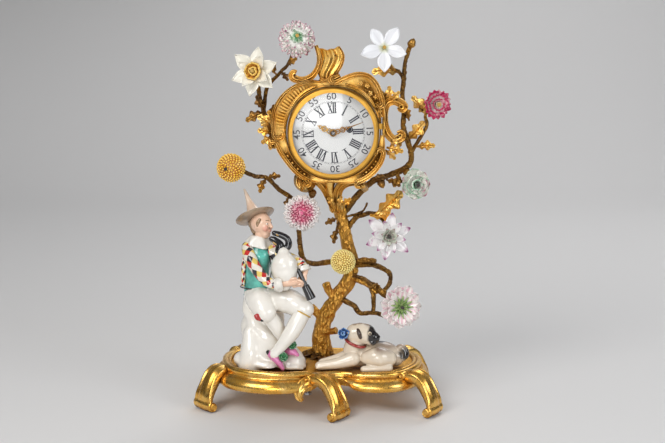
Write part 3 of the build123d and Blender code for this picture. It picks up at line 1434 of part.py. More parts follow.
def make_leaf(place, way, face, size):
    """A lobed leaf, a thin plate that springs from the tree."""
    along = Vector(*way).normalized()
    normal = (Vector(*face) - along * along.dot(Vector(*face))).normalized()
    frame = Plane(origin=tree(place), x_dir=along, z_dir=normal)
    half = [(share * leaf_length * size, aside * leaf_width * size) for share, aside in leaf_half_shares]
    with BuildPart() as leaf:
        with BuildSketch(frame):
            with BuildLine():
                edge = half + [(x, -y) for x, y in reversed(half[:-1])]
                Polyline(*edge, close=True)
            make_face()
        extrude(amount=leaf_thickness / 2, both=True)
        for branch in boughs:
            add(branch, mode=Mode.SUBTRACT)
        add(case_surround.part, mode=Mode.SUBTRACT)
    return largest(leaf.part)


def make_acorn(place, way):
    """An acorn in its cup, hanging from the tree."""
    frame = Plane(origin=tree(place), z_dir=Vector(*way).normalized())
    with BuildPart() as acorn:
        with BuildSketch(Plane.XZ):
            with BuildLine():
                Line((0, 0), (0, acorn_length))
                ThreePointArc((0, acorn_length), (acorn_radius * 0.8, acorn_length * 0.7),
                              (acorn_radius * 0.9, acorn_length * acorn_cup_share))
                cup_height = acorn_length * acorn_cup_share
                Line((acorn_radius * 0.9, cup_height), (acorn_radius, cup_height))
                ThreePointArc((acorn_radius, cup_height), (acorn_radius * 0.75, acorn_length * 0.12),
                              (0, 0))
            make_face()
        revolve(axis=Axis.Z)
    with BuildPart() as hung:
        add(frame.location * acorn.part)
        for branch in boughs:
            add(branch, mode=Mode.SUBTRACT)
    return largest(hung.part)


with BuildPart() as leaves:
    for row in leaf_table:
        add(make_leaf(*row))
finish(leaves, "leaves")

with BuildPart() as acorns:
    for row in acorn_table:
        add(make_acorn(*row))
finish(acorns, "acorns")


# Fasteners of the base

with BuildPart() as base_fasteners:
    for place in (trunk_foot, figure_foot, pug_foot):
        with Locations(Vector(place.X, place.Y, plate_bottom)):
            Cylinder(bolt_head_radius, bolt_head_height, align=(Align.CENTER, Align.CENTER, Align.MAX))
            Cylinder(bolt_radius, plate_thickness + bolt_reach - overrun,
                     align=(Align.CENTER, Align.CENTER, Align.MIN))
    for place in foot_screw_places:
        with Locations(Vector(place.X, place.Y, plate_bottom - foot_root_thickness)):
            Cylinder(screw_head_radius, screw_head_height, align=(Align.CENTER, Align.CENTER, Align.MAX))
            Cylinder(screw_radius, foot_root_thickness + screw_reach,
                     align=(Align.CENTER, Align.CENTER, Align.MIN))
finish(base_fasteners, "base_fasteners")
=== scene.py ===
"""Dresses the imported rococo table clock: gilding, porcelain, enamel, its stage and its light."""

from math import atan2, cos, exp, hypot, pi, radians, sin, sqrt

import bmesh
import bpy
import numpy as np
from bpy.props import FloatProperty, FloatVectorProperty, IntProperty, PointerProperty
from mathutils import Euler, Matrix, Vector, noise


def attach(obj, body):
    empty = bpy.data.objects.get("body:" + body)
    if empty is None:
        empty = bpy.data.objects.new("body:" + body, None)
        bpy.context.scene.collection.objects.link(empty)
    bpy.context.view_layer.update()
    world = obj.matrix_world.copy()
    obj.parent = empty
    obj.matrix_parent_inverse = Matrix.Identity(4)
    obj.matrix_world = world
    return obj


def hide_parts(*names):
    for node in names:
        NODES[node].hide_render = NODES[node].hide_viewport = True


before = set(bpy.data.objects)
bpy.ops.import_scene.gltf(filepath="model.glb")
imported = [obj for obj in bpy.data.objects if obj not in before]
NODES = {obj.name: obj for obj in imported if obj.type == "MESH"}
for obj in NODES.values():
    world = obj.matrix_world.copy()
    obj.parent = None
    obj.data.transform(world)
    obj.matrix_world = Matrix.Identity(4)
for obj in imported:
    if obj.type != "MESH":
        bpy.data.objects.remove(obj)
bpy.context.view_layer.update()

bl_info = {
    "name": "Rococo Table Clock",
    "version": (1, 0, 0),
    "blender": (4, 5, 0),
    "location": "3D View > Sidebar > Clock",
    "description": "Builds the gilt tree clock with its porcelain figures and flowers",
    "category": "Add Mesh",
}

STAND = "stand"


def mm(*values):
    """Millimetres as metres: one number, or a point."""
    return values[0] * 0.001 if len(values) == 1 else Vector(values) * 0.001


def mms(*values):
    """Several lengths in millimetres, as metres."""
    return [mm(value) for value in values]


def times(colour, factor):
    """A colour, darker or lighter."""
    return [channel * factor for channel in colour]


# Settings that a user may change


class GildingSettings(bpy.types.PropertyGroup):
    """Colours and gloss of the gilt bronze."""

    gold: FloatVectorProperty(name="Gold", description="Burnished gilding", subtype="COLOR",
                              default=(0.84, 0.45, 0.08))
    pale_gold: FloatVectorProperty(name="Pale gold", description="Worn high places", subtype="COLOR",
                                   default=(0.96, 0.63, 0.2))
    # The recess colour fills the gilding's hollows: partly the gilding's own brown in its crevices, partly
    # painted shade.
    recess: FloatVectorProperty(name="Recess", description="Brown in the hollows", subtype="COLOR",
                                default=(0.2, 0.075, 0.012))
    bark_gold: FloatVectorProperty(name="Bark gold", description="Matt gilding of the trunk", subtype="COLOR",
                                   default=(0.72, 0.38, 0.08))
    patina: FloatVectorProperty(name="Patina", description="Brown bronze of the branches", subtype="COLOR",
                                default=(0.14, 0.075, 0.03))
    gloss: FloatProperty(name="Roughness", description="Roughness of burnished gold", default=0.235, min=0.02,
                         max=1)


class PorcelainSettings(bpy.types.PropertyGroup):
    """Glaze and enamel colours."""

    white: FloatVectorProperty(name="White glaze", description="Bare porcelain", subtype="COLOR",
                               default=(0.84, 0.81, 0.75))
    flesh: FloatVectorProperty(name="Flesh", description="Skin enamel", subtype="COLOR",
                               default=(0.83, 0.55, 0.4))
    jacket: FloatVectorProperty(name="Jacket", description="Turquoise enamel", subtype="COLOR",
                                default=(0.09, 0.43, 0.36))
    brim: FloatVectorProperty(name="Hat brim", description="Taupe enamel", subtype="COLOR",
                              default=(0.34, 0.25, 0.17))
    shoe: FloatVectorProperty(name="Shoe", description="Pink enamel", subtype="COLOR",
                              default=(0.66, 0.2, 0.42))
    coat: FloatVectorProperty(name="Dog's coat", description="Fawn enamel", subtype="COLOR",
                              default=(0.76, 0.66, 0.53))
    lozenges: IntProperty(name="Lozenges", description="Rows of lozenges along a sleeve", default=10, min=2,
                          max=20)


class FlowerSettings(bpy.types.PropertyGroup):
    """Counts and sizes of the porcelain flowers."""

    pompon_petals: IntProperty(name="Pompon petals", description="Petals on the pink pompon", default=240,
                               min=20, max=900)
    ball_petals: IntProperty(name="Ball petals", description="Petals on the yellow balls", default=200, min=20,
                             max=900)
    posy_petals: IntProperty(name="Posy petals", description="Florets on the pink posy", default=90, min=20,
                             max=400)


class StageSettings(bpy.types.PropertyGroup):
    """Camera and light."""

    distance: FloatProperty(name="Distance", description="Camera to clock", unit="LENGTH", default=1.25)
    height_angle: FloatProperty(name="Height", description="Camera above the level", subtype="ANGLE",
                                default=radians(10))
    lens: FloatProperty(name="Lens", description="Focal length", default=75.2, min=10)
    backdrop: FloatVectorProperty(name="Backdrop", description="Paper colour", subtype="COLOR",
                                  default=(0.8, 0.795, 0.795))


# Node trees


class Wire:
    """A node socket that takes part in sums."""

    def __init__(self, sheet, socket):
        self.sheet = sheet
        self.socket = socket

    def sum(self, operation, *others):
        return self.sheet.wire("ShaderNodeMath", {"operation": operation}, dict(enumerate((self, *others))))

    def __add__(self, other):
        return self.sum("ADD", other)

    __radd__ = __add__

    def __mul__(self, other):
        return self.sum("MULTIPLY", other)

    __rmul__ = __mul__

    def __sub__(self, other):
        return self.sum("SUBTRACT", other)

    def __rsub__(self, other):
        return self.sheet.wire("ShaderNodeMath", {"operation": "SUBTRACT"}, {0: other, 1: self})

    def __truediv__(self, other):
        return self.sum("DIVIDE", other)

    def above(self, limit):
        return self.sum("GREATER_THAN", limit)

    def between(self, low, high):
        """0 below low, 1 above high, smooth in the middle."""
        return self.sheet.wire("ShaderNodeMapRange", {"interpolation_type": "SMOOTHSTEP"},
                               {0: self, 1: low, 2: high, 3: 0.0, 4: 1.0})

    def wave(self):
        return self.sum("SINE")

    def whole(self):
        return self.sum("FLOOR")


class Sheet:
    """A node tree that is written as calls."""

    def __init__(self, tree):
        self.tree = tree

    def node(self, kind, settings=None, inputs=None):
        made = self.tree.nodes.new(kind)
        for name, value in (settings or {}).items():
            setattr(made, name, value)
        for key, value in (inputs or {}).items():
            if isinstance(value, Wire):
                self.tree.links.new(value.socket, made.inputs[key])
            else:
                made.inputs[key].default_value = value
        return made

    def wire(self, kind, settings=None, inputs=None, output=0):
        return Wire(self, self.node(kind, settings, inputs).outputs[output])

    def point(self, x, y, z):
        return self.wire("ShaderNodeCombineXYZ", None, {0: x, 1: y, 2: z})


class Finish(Sheet):
    """A material, with its shader and its patterns."""

    def __init__(self, name):
        self.material = bpy.data.materials.new(name)
        self.material.use_nodes = True
        super().__init__(self.material.node_tree)
        self.tree.nodes.clear()
        self.shader = self.node("ShaderNodeBsdfPrincipled")
        self.output = self.node("ShaderNodeOutputMaterial")
        self.tree.links.new(self.shader.outputs[0], self.output.inputs[0])
        self.place = self.wire("ShaderNodeTexCoord", output=3)

    def noise(self, scale, detail=3.0):
        return self.wire("ShaderNodeTexNoise", None, {"Vector": self.place, "Scale": scale, "Detail": detail,
                                                      "Roughness": 0.55})

    def spots(self, scale, low, high):
        """Soft spots by chance: 0 outside them, 1 within."""
        return self.noise(scale).between(low, high)

    def cells(self, scale, place=None):
        return self.wire("ShaderNodeTexVoronoi", None, {"Vector": place or self.place, "Scale": scale})

    def stretched(self, x, y, z):
        return self.wire("ShaderNodeMapping", None, {"Vector": self.place, "Scale": (x, y, z)})

    def mark(self, name):
        """A number that the mesh carries."""
        return self.wire("ShaderNodeAttribute", {"attribute_name": name}, output=2)

    def fade(self, name, low, high):
        """A mark as a share: 0 below low, 1 above high."""
        return self.mark(name).between(low, high)

    def paint(self, name):
        """A colour that the mesh carries."""
        return self.wire("ShaderNodeAttribute", {"attribute_name": name}, output=0)

    def blend(self, share, low, high):
        full = lambda colour: colour if isinstance(colour, Wire) else (*colour, 1.0)
        return self.wire("ShaderNodeMix", {"data_type": "RGBA"}, {0: share, 6: full(low), 7: full(high)}, 2)

    def steps(self, share, stops):
        """Flat colours, each from its own position on."""
        made = self.node("ShaderNodeValToRGB", None, {0: share})
        made.color_ramp.interpolation = "CONSTANT"
        elements = made.color_ramp.elements
        while len(elements) < len(stops):
            elements.new(0.5)
        for element, (position, colour) in zip(elements, stops):
            element.position = position
            element.color = (*colour, 1.0)
        return Wire(self, made.outputs[0])

    def hollow(self, distance):
        """1 in the open, 0 deep in a crevice, by ambient occlusion: the mask by which finishes paint shade into
        hollows.
        """
        return self.wire("ShaderNodeAmbientOcclusion", {"samples": 6}, {"Distance": distance}, 1)

    def bump(self, height, distance):
        return self.wire("ShaderNodeBump", None, {"Height": height, "Distance": distance, "Strength": 1.0})

    def set(self, **sockets):
        for name, value in sockets.items():
            socket = self.shader.inputs[name.replace("_", " ")]
            if isinstance(value, Wire):
                self.tree.links.new(value.socket, socket)
            elif isinstance(value, (tuple, list)) and len(value) == 3:
                socket.default_value = (*value, 1.0)
            else:
                socket.default_value = value
        return self.material


def gilding(name, gold, recess, pale, rough, grain=1800.0, grain_depth=0.000012, hollow=0.006, matt=0.0,
            pattern=None, sunk=None):
    """Fire gilding: burnished on the high places, brown in the hollows, with a chased grain. The brown in the
    hollows is partly the gilding's own dark crevices and partly painted shade, laid by ambient occlusion.
    """
    finish = Finish(name)
    cloud = finish.noise(70.0, 4.0)
    worn = finish.noise(420.0, 2.0)
    open_share = finish.hollow(hollow).between(0.2, 0.9)
    colour = finish.blend(cloud.between(0.35, 0.7), gold, pale)
    # Painted shade, partly the gilding's own crevice brown: hollows found by ambient occlusion take the recess
    # colour.
    colour = finish.blend(open_share, recess, colour)
    if sunk:
        colour = finish.blend(sunk(finish), colour, recess)
    grains = finish.noise(grain, 2.0) + finish.noise(160.0, 2.0) * 1.5
    if pattern:
        grains = grains + pattern(finish)
    return finish.set(Base_Color=colour, Metallic=1.0,
                      Roughness=(worn * 0.16 + (1 - open_share) * 0.3 + (rough - 0.04 + matt)),
                      Normal=finish.bump(grains, grain_depth * 3))


def glaze(name, colour, shade=None, rough=0.12, gloss=0.6, tint=None):
    """Glazed porcelain: a pale body under a glossy coat, with painted shade, warmer and darker, in its hollows.
    """
    finish = Finish(name)
    cloud = finish.noise(60.0, 3.0)
    base = tint(finish) if tint else finish.blend(cloud.between(0.3, 0.75), colour,
                                                  [min(1, c * 1.06) for c in colour])
    # Painted shade: the hollows, found by ambient occlusion, take the shade colour.
    shade = shade or [c * k for c, k in zip(colour, (0.66, 0.6, 0.52))]
    open_share = finish.hollow(0.01).between(0.1, 0.85)
    grain = finish.noise(320.0, 2.0)
    return finish.set(Base_Color=finish.blend(open_share, shade, base), Roughness=cloud * 0.08 + rough,
                      Coat_Weight=gloss, Coat_Roughness=0.05, Normal=finish.bump(grain, 0.00012))


def mottled(dark, light, scale, detail=3.0, low=0.3, high=0.7):
    """Enamel that clouds from one colour to another."""
    return lambda f: f.blend(f.noise(scale, detail).between(low, high), dark, light)


# Shapes


class Shape:
    """Vertices and faces, with numbers that ride on the vertices and a map on the face corners."""

    def __init__(self):
        self.points = []
        self.faces = []
        self.maps = []
        self.marks = {}

    def grid(self, rows, around=False, marks=None):
        """Adds rows of points, joined into quads; around closes each row."""
        start = len(self.points)
        high, wide = len(rows), len(rows[0])
        for name, values in (marks or {}).items():
            line = self.marks.setdefault(name, [])
            line.extend([0.0] * (start - len(line)))
            line.extend(value for row in values for value in row)
        for row in rows:
            self.points.extend(tuple(point) for point in row)
        for y in range(high - 1):
            for x in range(wide if around else wide - 1):
                nxt = (x + 1) % wide
                self.faces.append((start + y * wide + x, start + y * wide + nxt, start + (y + 1) * wide + nxt,
                                   start + (y + 1) * wide + x))
                lo, hi = y / (high - 1), (y + 1) / (high - 1)
                self.maps.append(((lo, x / wide), (lo, (x + 1) / wide), (hi, (x + 1) / wide), (hi, x / wide)))
        return self

    def fan(self, row_start, count, apex, flip):
        """Closes a round row with a point."""
        tip = len(self.points)
        self.points.append(tuple(apex))
        for line in self.marks.values():
            line.append(line[row_start] if row_start < len(line) else 0.0)
        for x in range(count):
            a, b = row_start + x, row_start + (x + 1) % count
            self.faces.append((b, a, tip) if flip else (a, b, tip))
            self.maps.append(((0, 0), (0, 0), (0, 0)))

    def add(self, other):
        start = len(self.points)
        for name in set(self.marks) | set(other.marks):
            line = self.marks.setdefault(name, [])
            line.extend([0.0] * (start - len(line)))
            line.extend(other.marks.get(name, [0.0] * len(other.points)))
        self.points.extend(other.points)
        self.faces.extend(tuple(index + start for index in face) for face in other.faces)
        self.maps.extend(other.maps)
        return self

    def mesh(self, name):
        made = bpy.data.meshes.new(name)
        made.from_pydata(self.points, [], self.faces)
        for mark, values in self.marks.items():
            values = list(values) + [0.0] * (len(self.points) - len(values))
            made.attributes.new(mark, "FLOAT", "POINT").data.foreach_set("value", values)
        layer = made.uv_layers.new(name="UVMap")
        layer.data.foreach_set("uv", [number for face in self.maps for pair in face for number in pair])
        made.validate()
        made.update()
        return made


def curved(before, start, end, after, t):
    """A value on the smooth curve from start to end, which heeds the values on either side."""
    square = (2 * before - 5 * start + 4 * end - after) * t * t
    cube = (3 * start - before - 3 * end + after) * t ** 3
    return 0.5 * (2 * start + (end - before) * t + square + cube)


def eased(values, steps):
    """A smooth curve through points or numbers, with extra values between them."""
    given = np.array([np.atleast_1d(np.array(v, float)) for v in values])
    last = len(given) - 1
    filled = []
    for index in range(last):
        near_by = [given[min(max(index + k, 0), last)] for k in (-1, 0, 1, 2)]
        filled.extend(curved(*near_by, step / steps) for step in range(steps))
    filled.append(given[last])
    return np.array(filled)


def stations(points):
    """Directions along a route, with two sides that don't twist."""
    way = np.gradient(points, axis=0)
    way /= np.linalg.norm(way, axis=1)[:, None] + 1e-12
    side = np.cross(way[0], (0.3, 0.2, 0.93))
    if np.linalg.norm(side) < 0.2:
        side = np.cross(way[0], (0, 1, 0))
    sides = []
    for forward in way:
        side = side - forward * np.dot(side, forward)
        side /= np.linalg.norm(side)
        sides.append(side.copy())
    sides = np.array(sides)
    return way, sides, np.cross(way, sides)


def tube(route, radii, around, steps, aside=None, swell=None, ends=(1.0, 1.0)):
    """A round limb along a route. swell(share, turn, point) changes its radius; ends round it off."""
    points = eased(route, steps)
    sizes = eased(radii, steps)[:, 0]
    others = eased(aside, steps)[:, 0] if aside else sizes
    way, sides, tops = stations(points)
    rows, shares = [], []
    total = len(points) - 1

    def ring(index, shift, scale):
        row = []
        for step in range(around):
            turn = 2 * pi * step / around
            factor = scale * (swell(index / total, turn, points[index]) if swell else 1.0)
            across = sides[index] * cos(turn) * sizes[index] + tops[index] * sin(turn) * others[index]
            row.append(points[index] + way[index] * shift + across * factor)
        rows.append(row)
        shares.append([index / total] * around)

    caps = (0.35, 0.7, 0.92)
    if ends[0]:
        for scale in caps:
            ring(0, -sizes[0] * ends[0] * sqrt(1 - scale ** 2), scale)
    for index in range(total + 1):
        ring(index, 0, 1.0)
    if ends[1]:
        for scale in reversed(caps):
            ring(total, sizes[-1] * ends[1] * sqrt(1 - scale ** 2), scale)
    shape = Shape().grid(rows, True, {"along": shares})
    shape.fan(0, around, points[0] - way[0] * sizes[0] * ends[0], True)
    shape.fan((len(rows) - 1) * around, around, points[-1] + way[-1] * sizes[-1] * ends[1], False)
    return shape


# Sections of cast scrolls: shares of half the width and of the depth
RIDGED = ((-1.0, 0.1), (-0.96, 0.75), (-0.84, 1.0), (-0.72, 0.72), (-0.55, 0.5), (-0.3, 0.62), (-0.14, 0.9),
          (0.0, 1.0),
          (0.14, 0.9), (0.3, 0.62), (0.55, 0.5), (0.72, 0.72), (0.84, 1.0), (0.96, 0.75), (1.0, 0.1))
ROLLED = ((-1.0, 0.0), (-0.92, 0.55), (-0.7, 0.9), (-0.4, 1.0), (-0.1, 0.86), (0.1, 0.6), (0.3, 0.66),
          (0.55, 0.95), (0.78, 0.9), (0.94, 0.5), (1.0, 0.0))
RIM = ((-1.0, 0.0), (-0.97, 0.5), (-0.88, 0.82), (-0.72, 0.92), (-0.55, 0.8), (-0.42, 0.45), (-0.34, 0.22),
       (-0.22, 0.24),
       (-0.1, 0.5), (0.08, 0.85), (0.3, 1.05), (0.55, 1.1), (0.78, 0.95), (0.94, 0.55), (1.0, 0.0))
BROAD = ((-1.0, 0.0), (-0.97, 0.5), (-0.88, 0.8), (-0.78, 0.74), (-0.7, 0.5), (-0.62, 0.52), (-0.44, 0.88),
         (-0.14, 1.04),
         (-0.03, 0.96), (0.03, 0.96), (0.14, 1.04), (0.44, 0.88), (0.62, 0.52), (0.7, 0.5), (0.78, 0.74),
         (0.88, 0.8), (0.97, 0.5), (1.0, 0.0))


def strap(route, widths, depths, out, profile, steps, back):
    """A cast scroll: a moulded band along a route. out is its face, or gives it from the way it runs."""
    points = eased(route, steps)
    wide, deep = eased(widths, steps)[:, 0], eased(depths, steps)[:, 0]
    way = stations(points)[0]
    rows = []
    for point, forward, width, depth in zip(points, way, wide, deep):
        face = np.array(out(forward) if callable(out) else out, float)
        face -= forward * np.dot(face, forward)
        face /= np.linalg.norm(face)
        side = np.cross(forward, face)
        row = [point + side * width * x / 2 + face * depth * y for x, y in profile]
        row += [point + side * width * x / 2.2 - face * depth * back for x in (1, 0.3, -0.3, -1)]
        rows.append(row)
    count = len(rows[0])
    shape = Shape().grid(rows, True)
    shape.fan(0, count, np.mean(rows[0], axis=0), True)
    shape.fan((len(rows) - 1) * count, count, np.mean(rows[-1], axis=0), False)
    return shape


def roll(route, radius, degrees, shrink, side):
    """Carries a flat route on into a volute: it turns to one side, ever tighter."""
    steps = 10
    points = [np.array(p, float) for p in route]
    heading = atan2(points[-1][1] - points[-2][1], points[-1][0] - points[-2][0])
    turn = radians(degrees) / steps
    for step in range(steps):
        size = radius * (1 - (1 - shrink) * step / (steps - 1))
        heading += side * turn
        points.append(points[-1] + np.array((cos(heading), sin(heading))) * size * turn)
    return points


def placed(name, data):
    """A new object in the scene."""
    made = bpy.data.objects.new(name, data)
    bpy.context.scene.collection.objects.link(made)
    return made


def evaluated(holder):
    """An object's mesh with its modifiers applied."""
    return bpy.data.meshes.new_from_object(holder.evaluated_get(bpy.context.evaluated_depsgraph_get()))


def drop(holder):
    """Takes an object that was only a means out of the scene, with its mesh."""
    mesh = holder.data
    bpy.data.objects.remove(holder)
    bpy.data.meshes.remove(mesh)


def settled(shape_or_mesh, name, modifiers):
    """A mesh with modifiers applied, as a plain mesh."""
    mesh = shape_or_mesh.mesh(name) if isinstance(shape_or_mesh, Shape) else shape_or_mesh
    holder = placed(name, mesh)
    for kind, settings in modifiers:
        modifier = holder.modifiers.new(kind.lower(), kind)
        for key, value in settings.items():
            setattr(modifier, key, value)
    made = evaluated(holder)
    drop(holder)
    made.name = name
    return made


def melted(shape, name, voxel, smooth):
    """Shapes run together into one skin, as clay would."""
    return settled(shape, name, [("REMESH", {"mode": "VOXEL", "voxel_size": voxel}),
                                 ("SMOOTH", {"factor": 0.5, "iterations": smooth})])


def piece(name, made, material, body=STAND, replaces=(), smooth=True):
    """Places a mesh or a shape in the model, on its body, with its finish."""
    mesh = made.mesh(name) if isinstance(made, Shape) else made
    mesh.materials.clear()
    mesh.materials.append(material)
    mesh.polygons.foreach_set("material_index", [0] * len(mesh.polygons))
    mesh.polygons.foreach_set("use_smooth", [smooth] * len(mesh.polygons))
    made_object = placed(name, mesh)
    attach(made_object, body)
    if replaces:
        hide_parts(*replaces)
    return made_object


def reworked(mesh, change):
    """A mesh after a change to its faces."""
    work = bmesh.new()
    work.from_mesh(mesh)
    change(work)
    work.to_mesh(mesh)
    work.free()
    return mesh


def outward(mesh):
    """Turns all faces of a closed mesh outwards."""
    return reworked(mesh, lambda work: bmesh.ops.recalc_face_normals(work, faces=work.faces))


def dress(material, *names):
    """Gives CAD nodes their finish."""
    for name in names:
        NODES[name].data.materials.clear()
        NODES[name].data.materials.append(material)


def joined(meshes, name):
    """Several meshes as one."""
    work = bmesh.new()
    for mesh in meshes:
        work.from_mesh(mesh)
    made = bpy.data.meshes.new(name)
    work.to_mesh(made)
    work.free()
    for mesh in meshes:
        bpy.data.meshes.remove(mesh)
    return made


# Geometry Nodes for what repeats

GOLDEN_ANGLE = 2.3999632


class Growth(Sheet):
    """A Geometry Nodes tree with named inputs."""

    def __init__(self, name, inputs):
        super().__init__(bpy.data.node_groups.new(name, "GeometryNodeTree"))
        self.sockets = {}
        for label, kind in [("Geometry", "Geometry"), *inputs]:
            made = self.tree.interface.new_socket(label, in_out="INPUT", socket_type="NodeSocket" + kind)
            self.sockets[label] = made.identifier
        self.tree.interface.new_socket("Geometry", in_out="OUTPUT", socket_type="NodeSocketGeometry")
        self.given = self.node("NodeGroupInput")
        self.result = self.node("NodeGroupOutput")
        self.index = self.wire("GeometryNodeInputIndex")

    def get(self, label):
        return Wire(self, self.given.outputs[label])

    def chance(self, low, high, seed):
        return self.wire("FunctionNodeRandomValue", {"data_type": "FLOAT"}, {2: low, 3: high, 8: seed}, 1)

    def copies(self, label, points, turned, size):
        """A given shape, set on points."""
        shape = self.wire("GeometryNodeObjectInfo", None, {"Object": self.get(label)}, "Geometry")
        return self.wire("GeometryNodeInstanceOnPoints", None, {
            "Points": points, "Instance": shape, "Rotation": turned, "Scale": self.point(size, size, size)})

    def spread(self, instances, value):
        """Writes on each petal how far out it stands."""
        return self.wire("GeometryNodeStoreNamedAttribute", {"data_type": "FLOAT", "domain": "INSTANCE"},
                         {"Geometry": instances, "Name": "spread", "Value": value})

    def close(self, instances):
        """Ends the tree in plain, painted geometry."""
        real = self.wire("GeometryNodeRealizeInstances", None, {0: instances})
        painted = self.wire("GeometryNodeSetMaterial", None, {0: real, "Material": self.get("Material")})
        self.tree.links.new(painted.socket, self.result.inputs[0])

    def grow(self, values, mesh=None):
        """Runs the tree with given inputs and returns a plain mesh."""
        holder = placed("growing", mesh or bpy.data.meshes.new("growing"))
        modifier = holder.modifiers.new("growth", "NODES")
        modifier.node_group = self.tree
        for label, value in values.items():
            modifier[self.sockets[label]] = value
        made = evaluated(holder)
        drop(holder)
        return made


def whorl_tree():
    """Petals in a ring: they lean up from the ring by an angle, with a little chance in each."""
    tree = Growth("Petal whorl", [("Petal", "Object"), ("Count", "Int"), ("Ring", "Float"), ("Lift", "Float"),
                                  ("Lean", "Float"), ("Turn", "Float"), ("Size", "Float"), ("Spread", "Float"),
                                  ("Seed", "Int"), ("Material", "Material")])
    angle = tree.index / tree.get("Count") * (2 * pi) + tree.get("Turn")
    place = tree.point(angle.sum("COSINE") * tree.get("Ring"), angle.wave() * tree.get("Ring"),
                       tree.get("Lift"))
    dots = tree.wire("GeometryNodePoints", None, {"Count": tree.get("Count"), "Position": place})
    lean = 0 - (tree.get("Lean") + tree.chance(-0.09, 0.09, tree.get("Seed")))
    euler = tree.point(tree.chance(-0.08, 0.08, 3), lean, angle)
    turned = tree.wire("FunctionNodeEulerToRotation", None, {0: euler})
    size = tree.get("Size") * tree.chance(0.93, 1.05, tree.get("Seed") + 7)
    tree.close(tree.spread(tree.copies("Petal", dots, turned, size), tree.get("Spread")))
    return tree


def dome_tree():
    """Petals over a dome, on an even spiral from its top to its rim."""
    tree = Growth("Petal dome", [("Petal", "Object"), ("Count", "Int"), ("Reach", "Float"), ("Depth", "Float"),
                                 ("Cover", "Float"), ("Size", "Float"), ("Rim size", "Float"),
                                 ("Open", "Float"), ("Seed", "Int"), ("Material", "Material")])
    share = (tree.index + 0.5) / tree.get("Count")
    up = 1 - share * tree.get("Cover")
    level = (1 - up * up).sum("MAXIMUM", 0.0).sum("SQRT")
    angle = tree.index * GOLDEN_ANGLE
    x, y = angle.sum("COSINE") * level, angle.wave() * level
    place = tree.point(x * tree.get("Reach"), y * tree.get("Reach"), up * tree.get("Depth"))
    dots = tree.wire("GeometryNodePoints", None, {"Count": tree.get("Count"), "Position": place})
    jitter = tree.chance(-0.16, 0.16, tree.get("Seed"))
    way = tree.point(x * (1 + tree.get("Open")) + jitter, y * (1 + tree.get("Open")) - jitter, up)
    stood = tree.wire("FunctionNodeAlignRotationToVector", {"axis": "X"}, {"Vector": way})
    spin = tree.wire("FunctionNodeEulerToRotation", None, {0: tree.point(tree.chance(-3.1, 3.1, 5), 0.0, 0.0)})
    turned = tree.wire("FunctionNodeRotateRotation", {"rotation_space": "LOCAL"}, {0: stood, 1: spin})
    size = (tree.get("Size") + (tree.get("Rim size") - tree.get("Size")) * share) * tree.chance(0.88, 1.1, 11)
    tree.close(tree.spread(tree.copies("Petal", dots, turned, size), share))
    return tree


def table_tree():
    """A shape set on points that carry their own turn and size."""
    tree = Growth("Set by table", [("Shape", "Object"), ("Material", "Material")])
    turn = tree.wire("GeometryNodeInputNamedAttribute", {"data_type": "FLOAT_VECTOR"}, {"Name": "turn"})
    size = tree.wire("GeometryNodeInputNamedAttribute", {"data_type": "FLOAT"}, {"Name": "size"})
    turned = tree.wire("FunctionNodeEulerToRotation", None, {0: turn})
    tree.close(tree.copies("Shape", tree.get("Geometry"), turned, size))
    return tree


TREES = {}


def growth(maker):
    """A tree of nodes, which is made once."""
    if maker not in TREES:
        TREES[maker] = maker()
    return TREES[maker]


def pattern_object(shape):
    """A shape that a tree of nodes copies."""
    mesh = shape.mesh("pattern")
    mesh.polygons.foreach_set("use_smooth", [True] * len(mesh.polygons))
    return placed("pattern", mesh)


def lathe(profile, around):
    """Round rows along x in millimetres, from places along it and radii."""
    return [[mm(x, r * cos(2 * pi * k / around), r * sin(2 * pi * k / around)) for k in range(around)]
            for x, r in profile]


def facing(way, face):
    """A turn that lays x along a way, with z as near as it can be to a face."""
    x = Vector(way).normalized()
    z = (Vector(face) - x * x.dot(Vector(face))).normalized()
    return Matrix((x, z.cross(x), z)).transposed()


def looking(place, way):
    """Sets what was made along z at the origin in a place, looking along a way."""
    return Matrix.Translation(place) @ Vector(way).to_track_quat("Z", "Y").to_matrix().to_4x4()


def set_out(shape, rows, material):
    """Copies a shape to rows of place, turn matrix and size."""
    pattern = pattern_object(shape)
    mesh = bpy.data.meshes.new("places")
    mesh.from_pydata([tuple(place) for place, _, _ in rows], [], [])
    angles = [angle for _, turn, _ in rows for angle in turn.to_euler("XYZ")]
    mesh.attributes.new("turn", "FLOAT_VECTOR", "POINT").data.foreach_set("vector", angles)
    mesh.attributes.new("size", "FLOAT", "POINT").data.foreach_set("value", [size for _, _, size in rows])
    made = growth(table_tree).grow({"Shape": pattern, "Material": material}, mesh)
    drop(pattern)
    return made


# Places shared with the solids

TREE_HEIGHT = 0.29
PLATE_TOP = 0.036
CLOCK = mm(11, 0, 246)


def tree_point(shares):
    """A place on the tree, given in shares of its height."""
    return Vector(shares) * TREE_HEIGHT + Vector((0, 0, PLATE_TOP))


def on_tree(route):
    return [tree_point(place) for place in route]


def clock_point(u, w, y):
    """A place on the clock in millimetres: right and up from the dial's middle, at a depth."""
    return CLOCK + mm(u, y, w)


def on_clock(route, y):
    """A flat route on the clock, at one depth or at a depth for each point."""
    depths = y if isinstance(y, (list, tuple)) else [y] * len(route)
    return [clock_point(u, w, depth) for (u, w), depth in zip(route, depths)]


# Routes in shares of the tree's height
TRUNK = ((0.006, 0.041, 0.0), (0.0, 0.038, 0.07), (0.015, 0.034, 0.132), (0.053, 0.031, 0.198),
         (0.087, 0.028, 0.249),
         (0.093, 0.028, 0.307), (0.081, 0.024, 0.368), (0.068, 0.017, 0.435), (0.05, 0.007, 0.49))
STUBS = {
    "fork": ((0.012, 0.034, 0.118), (-0.012, 0.031, 0.142), (-0.03, 0.03, 0.162)),
    "knot": ((0.05, 0.031, 0.19), (0.026, 0.026, 0.213), (0.016, 0.023, 0.238)),
}
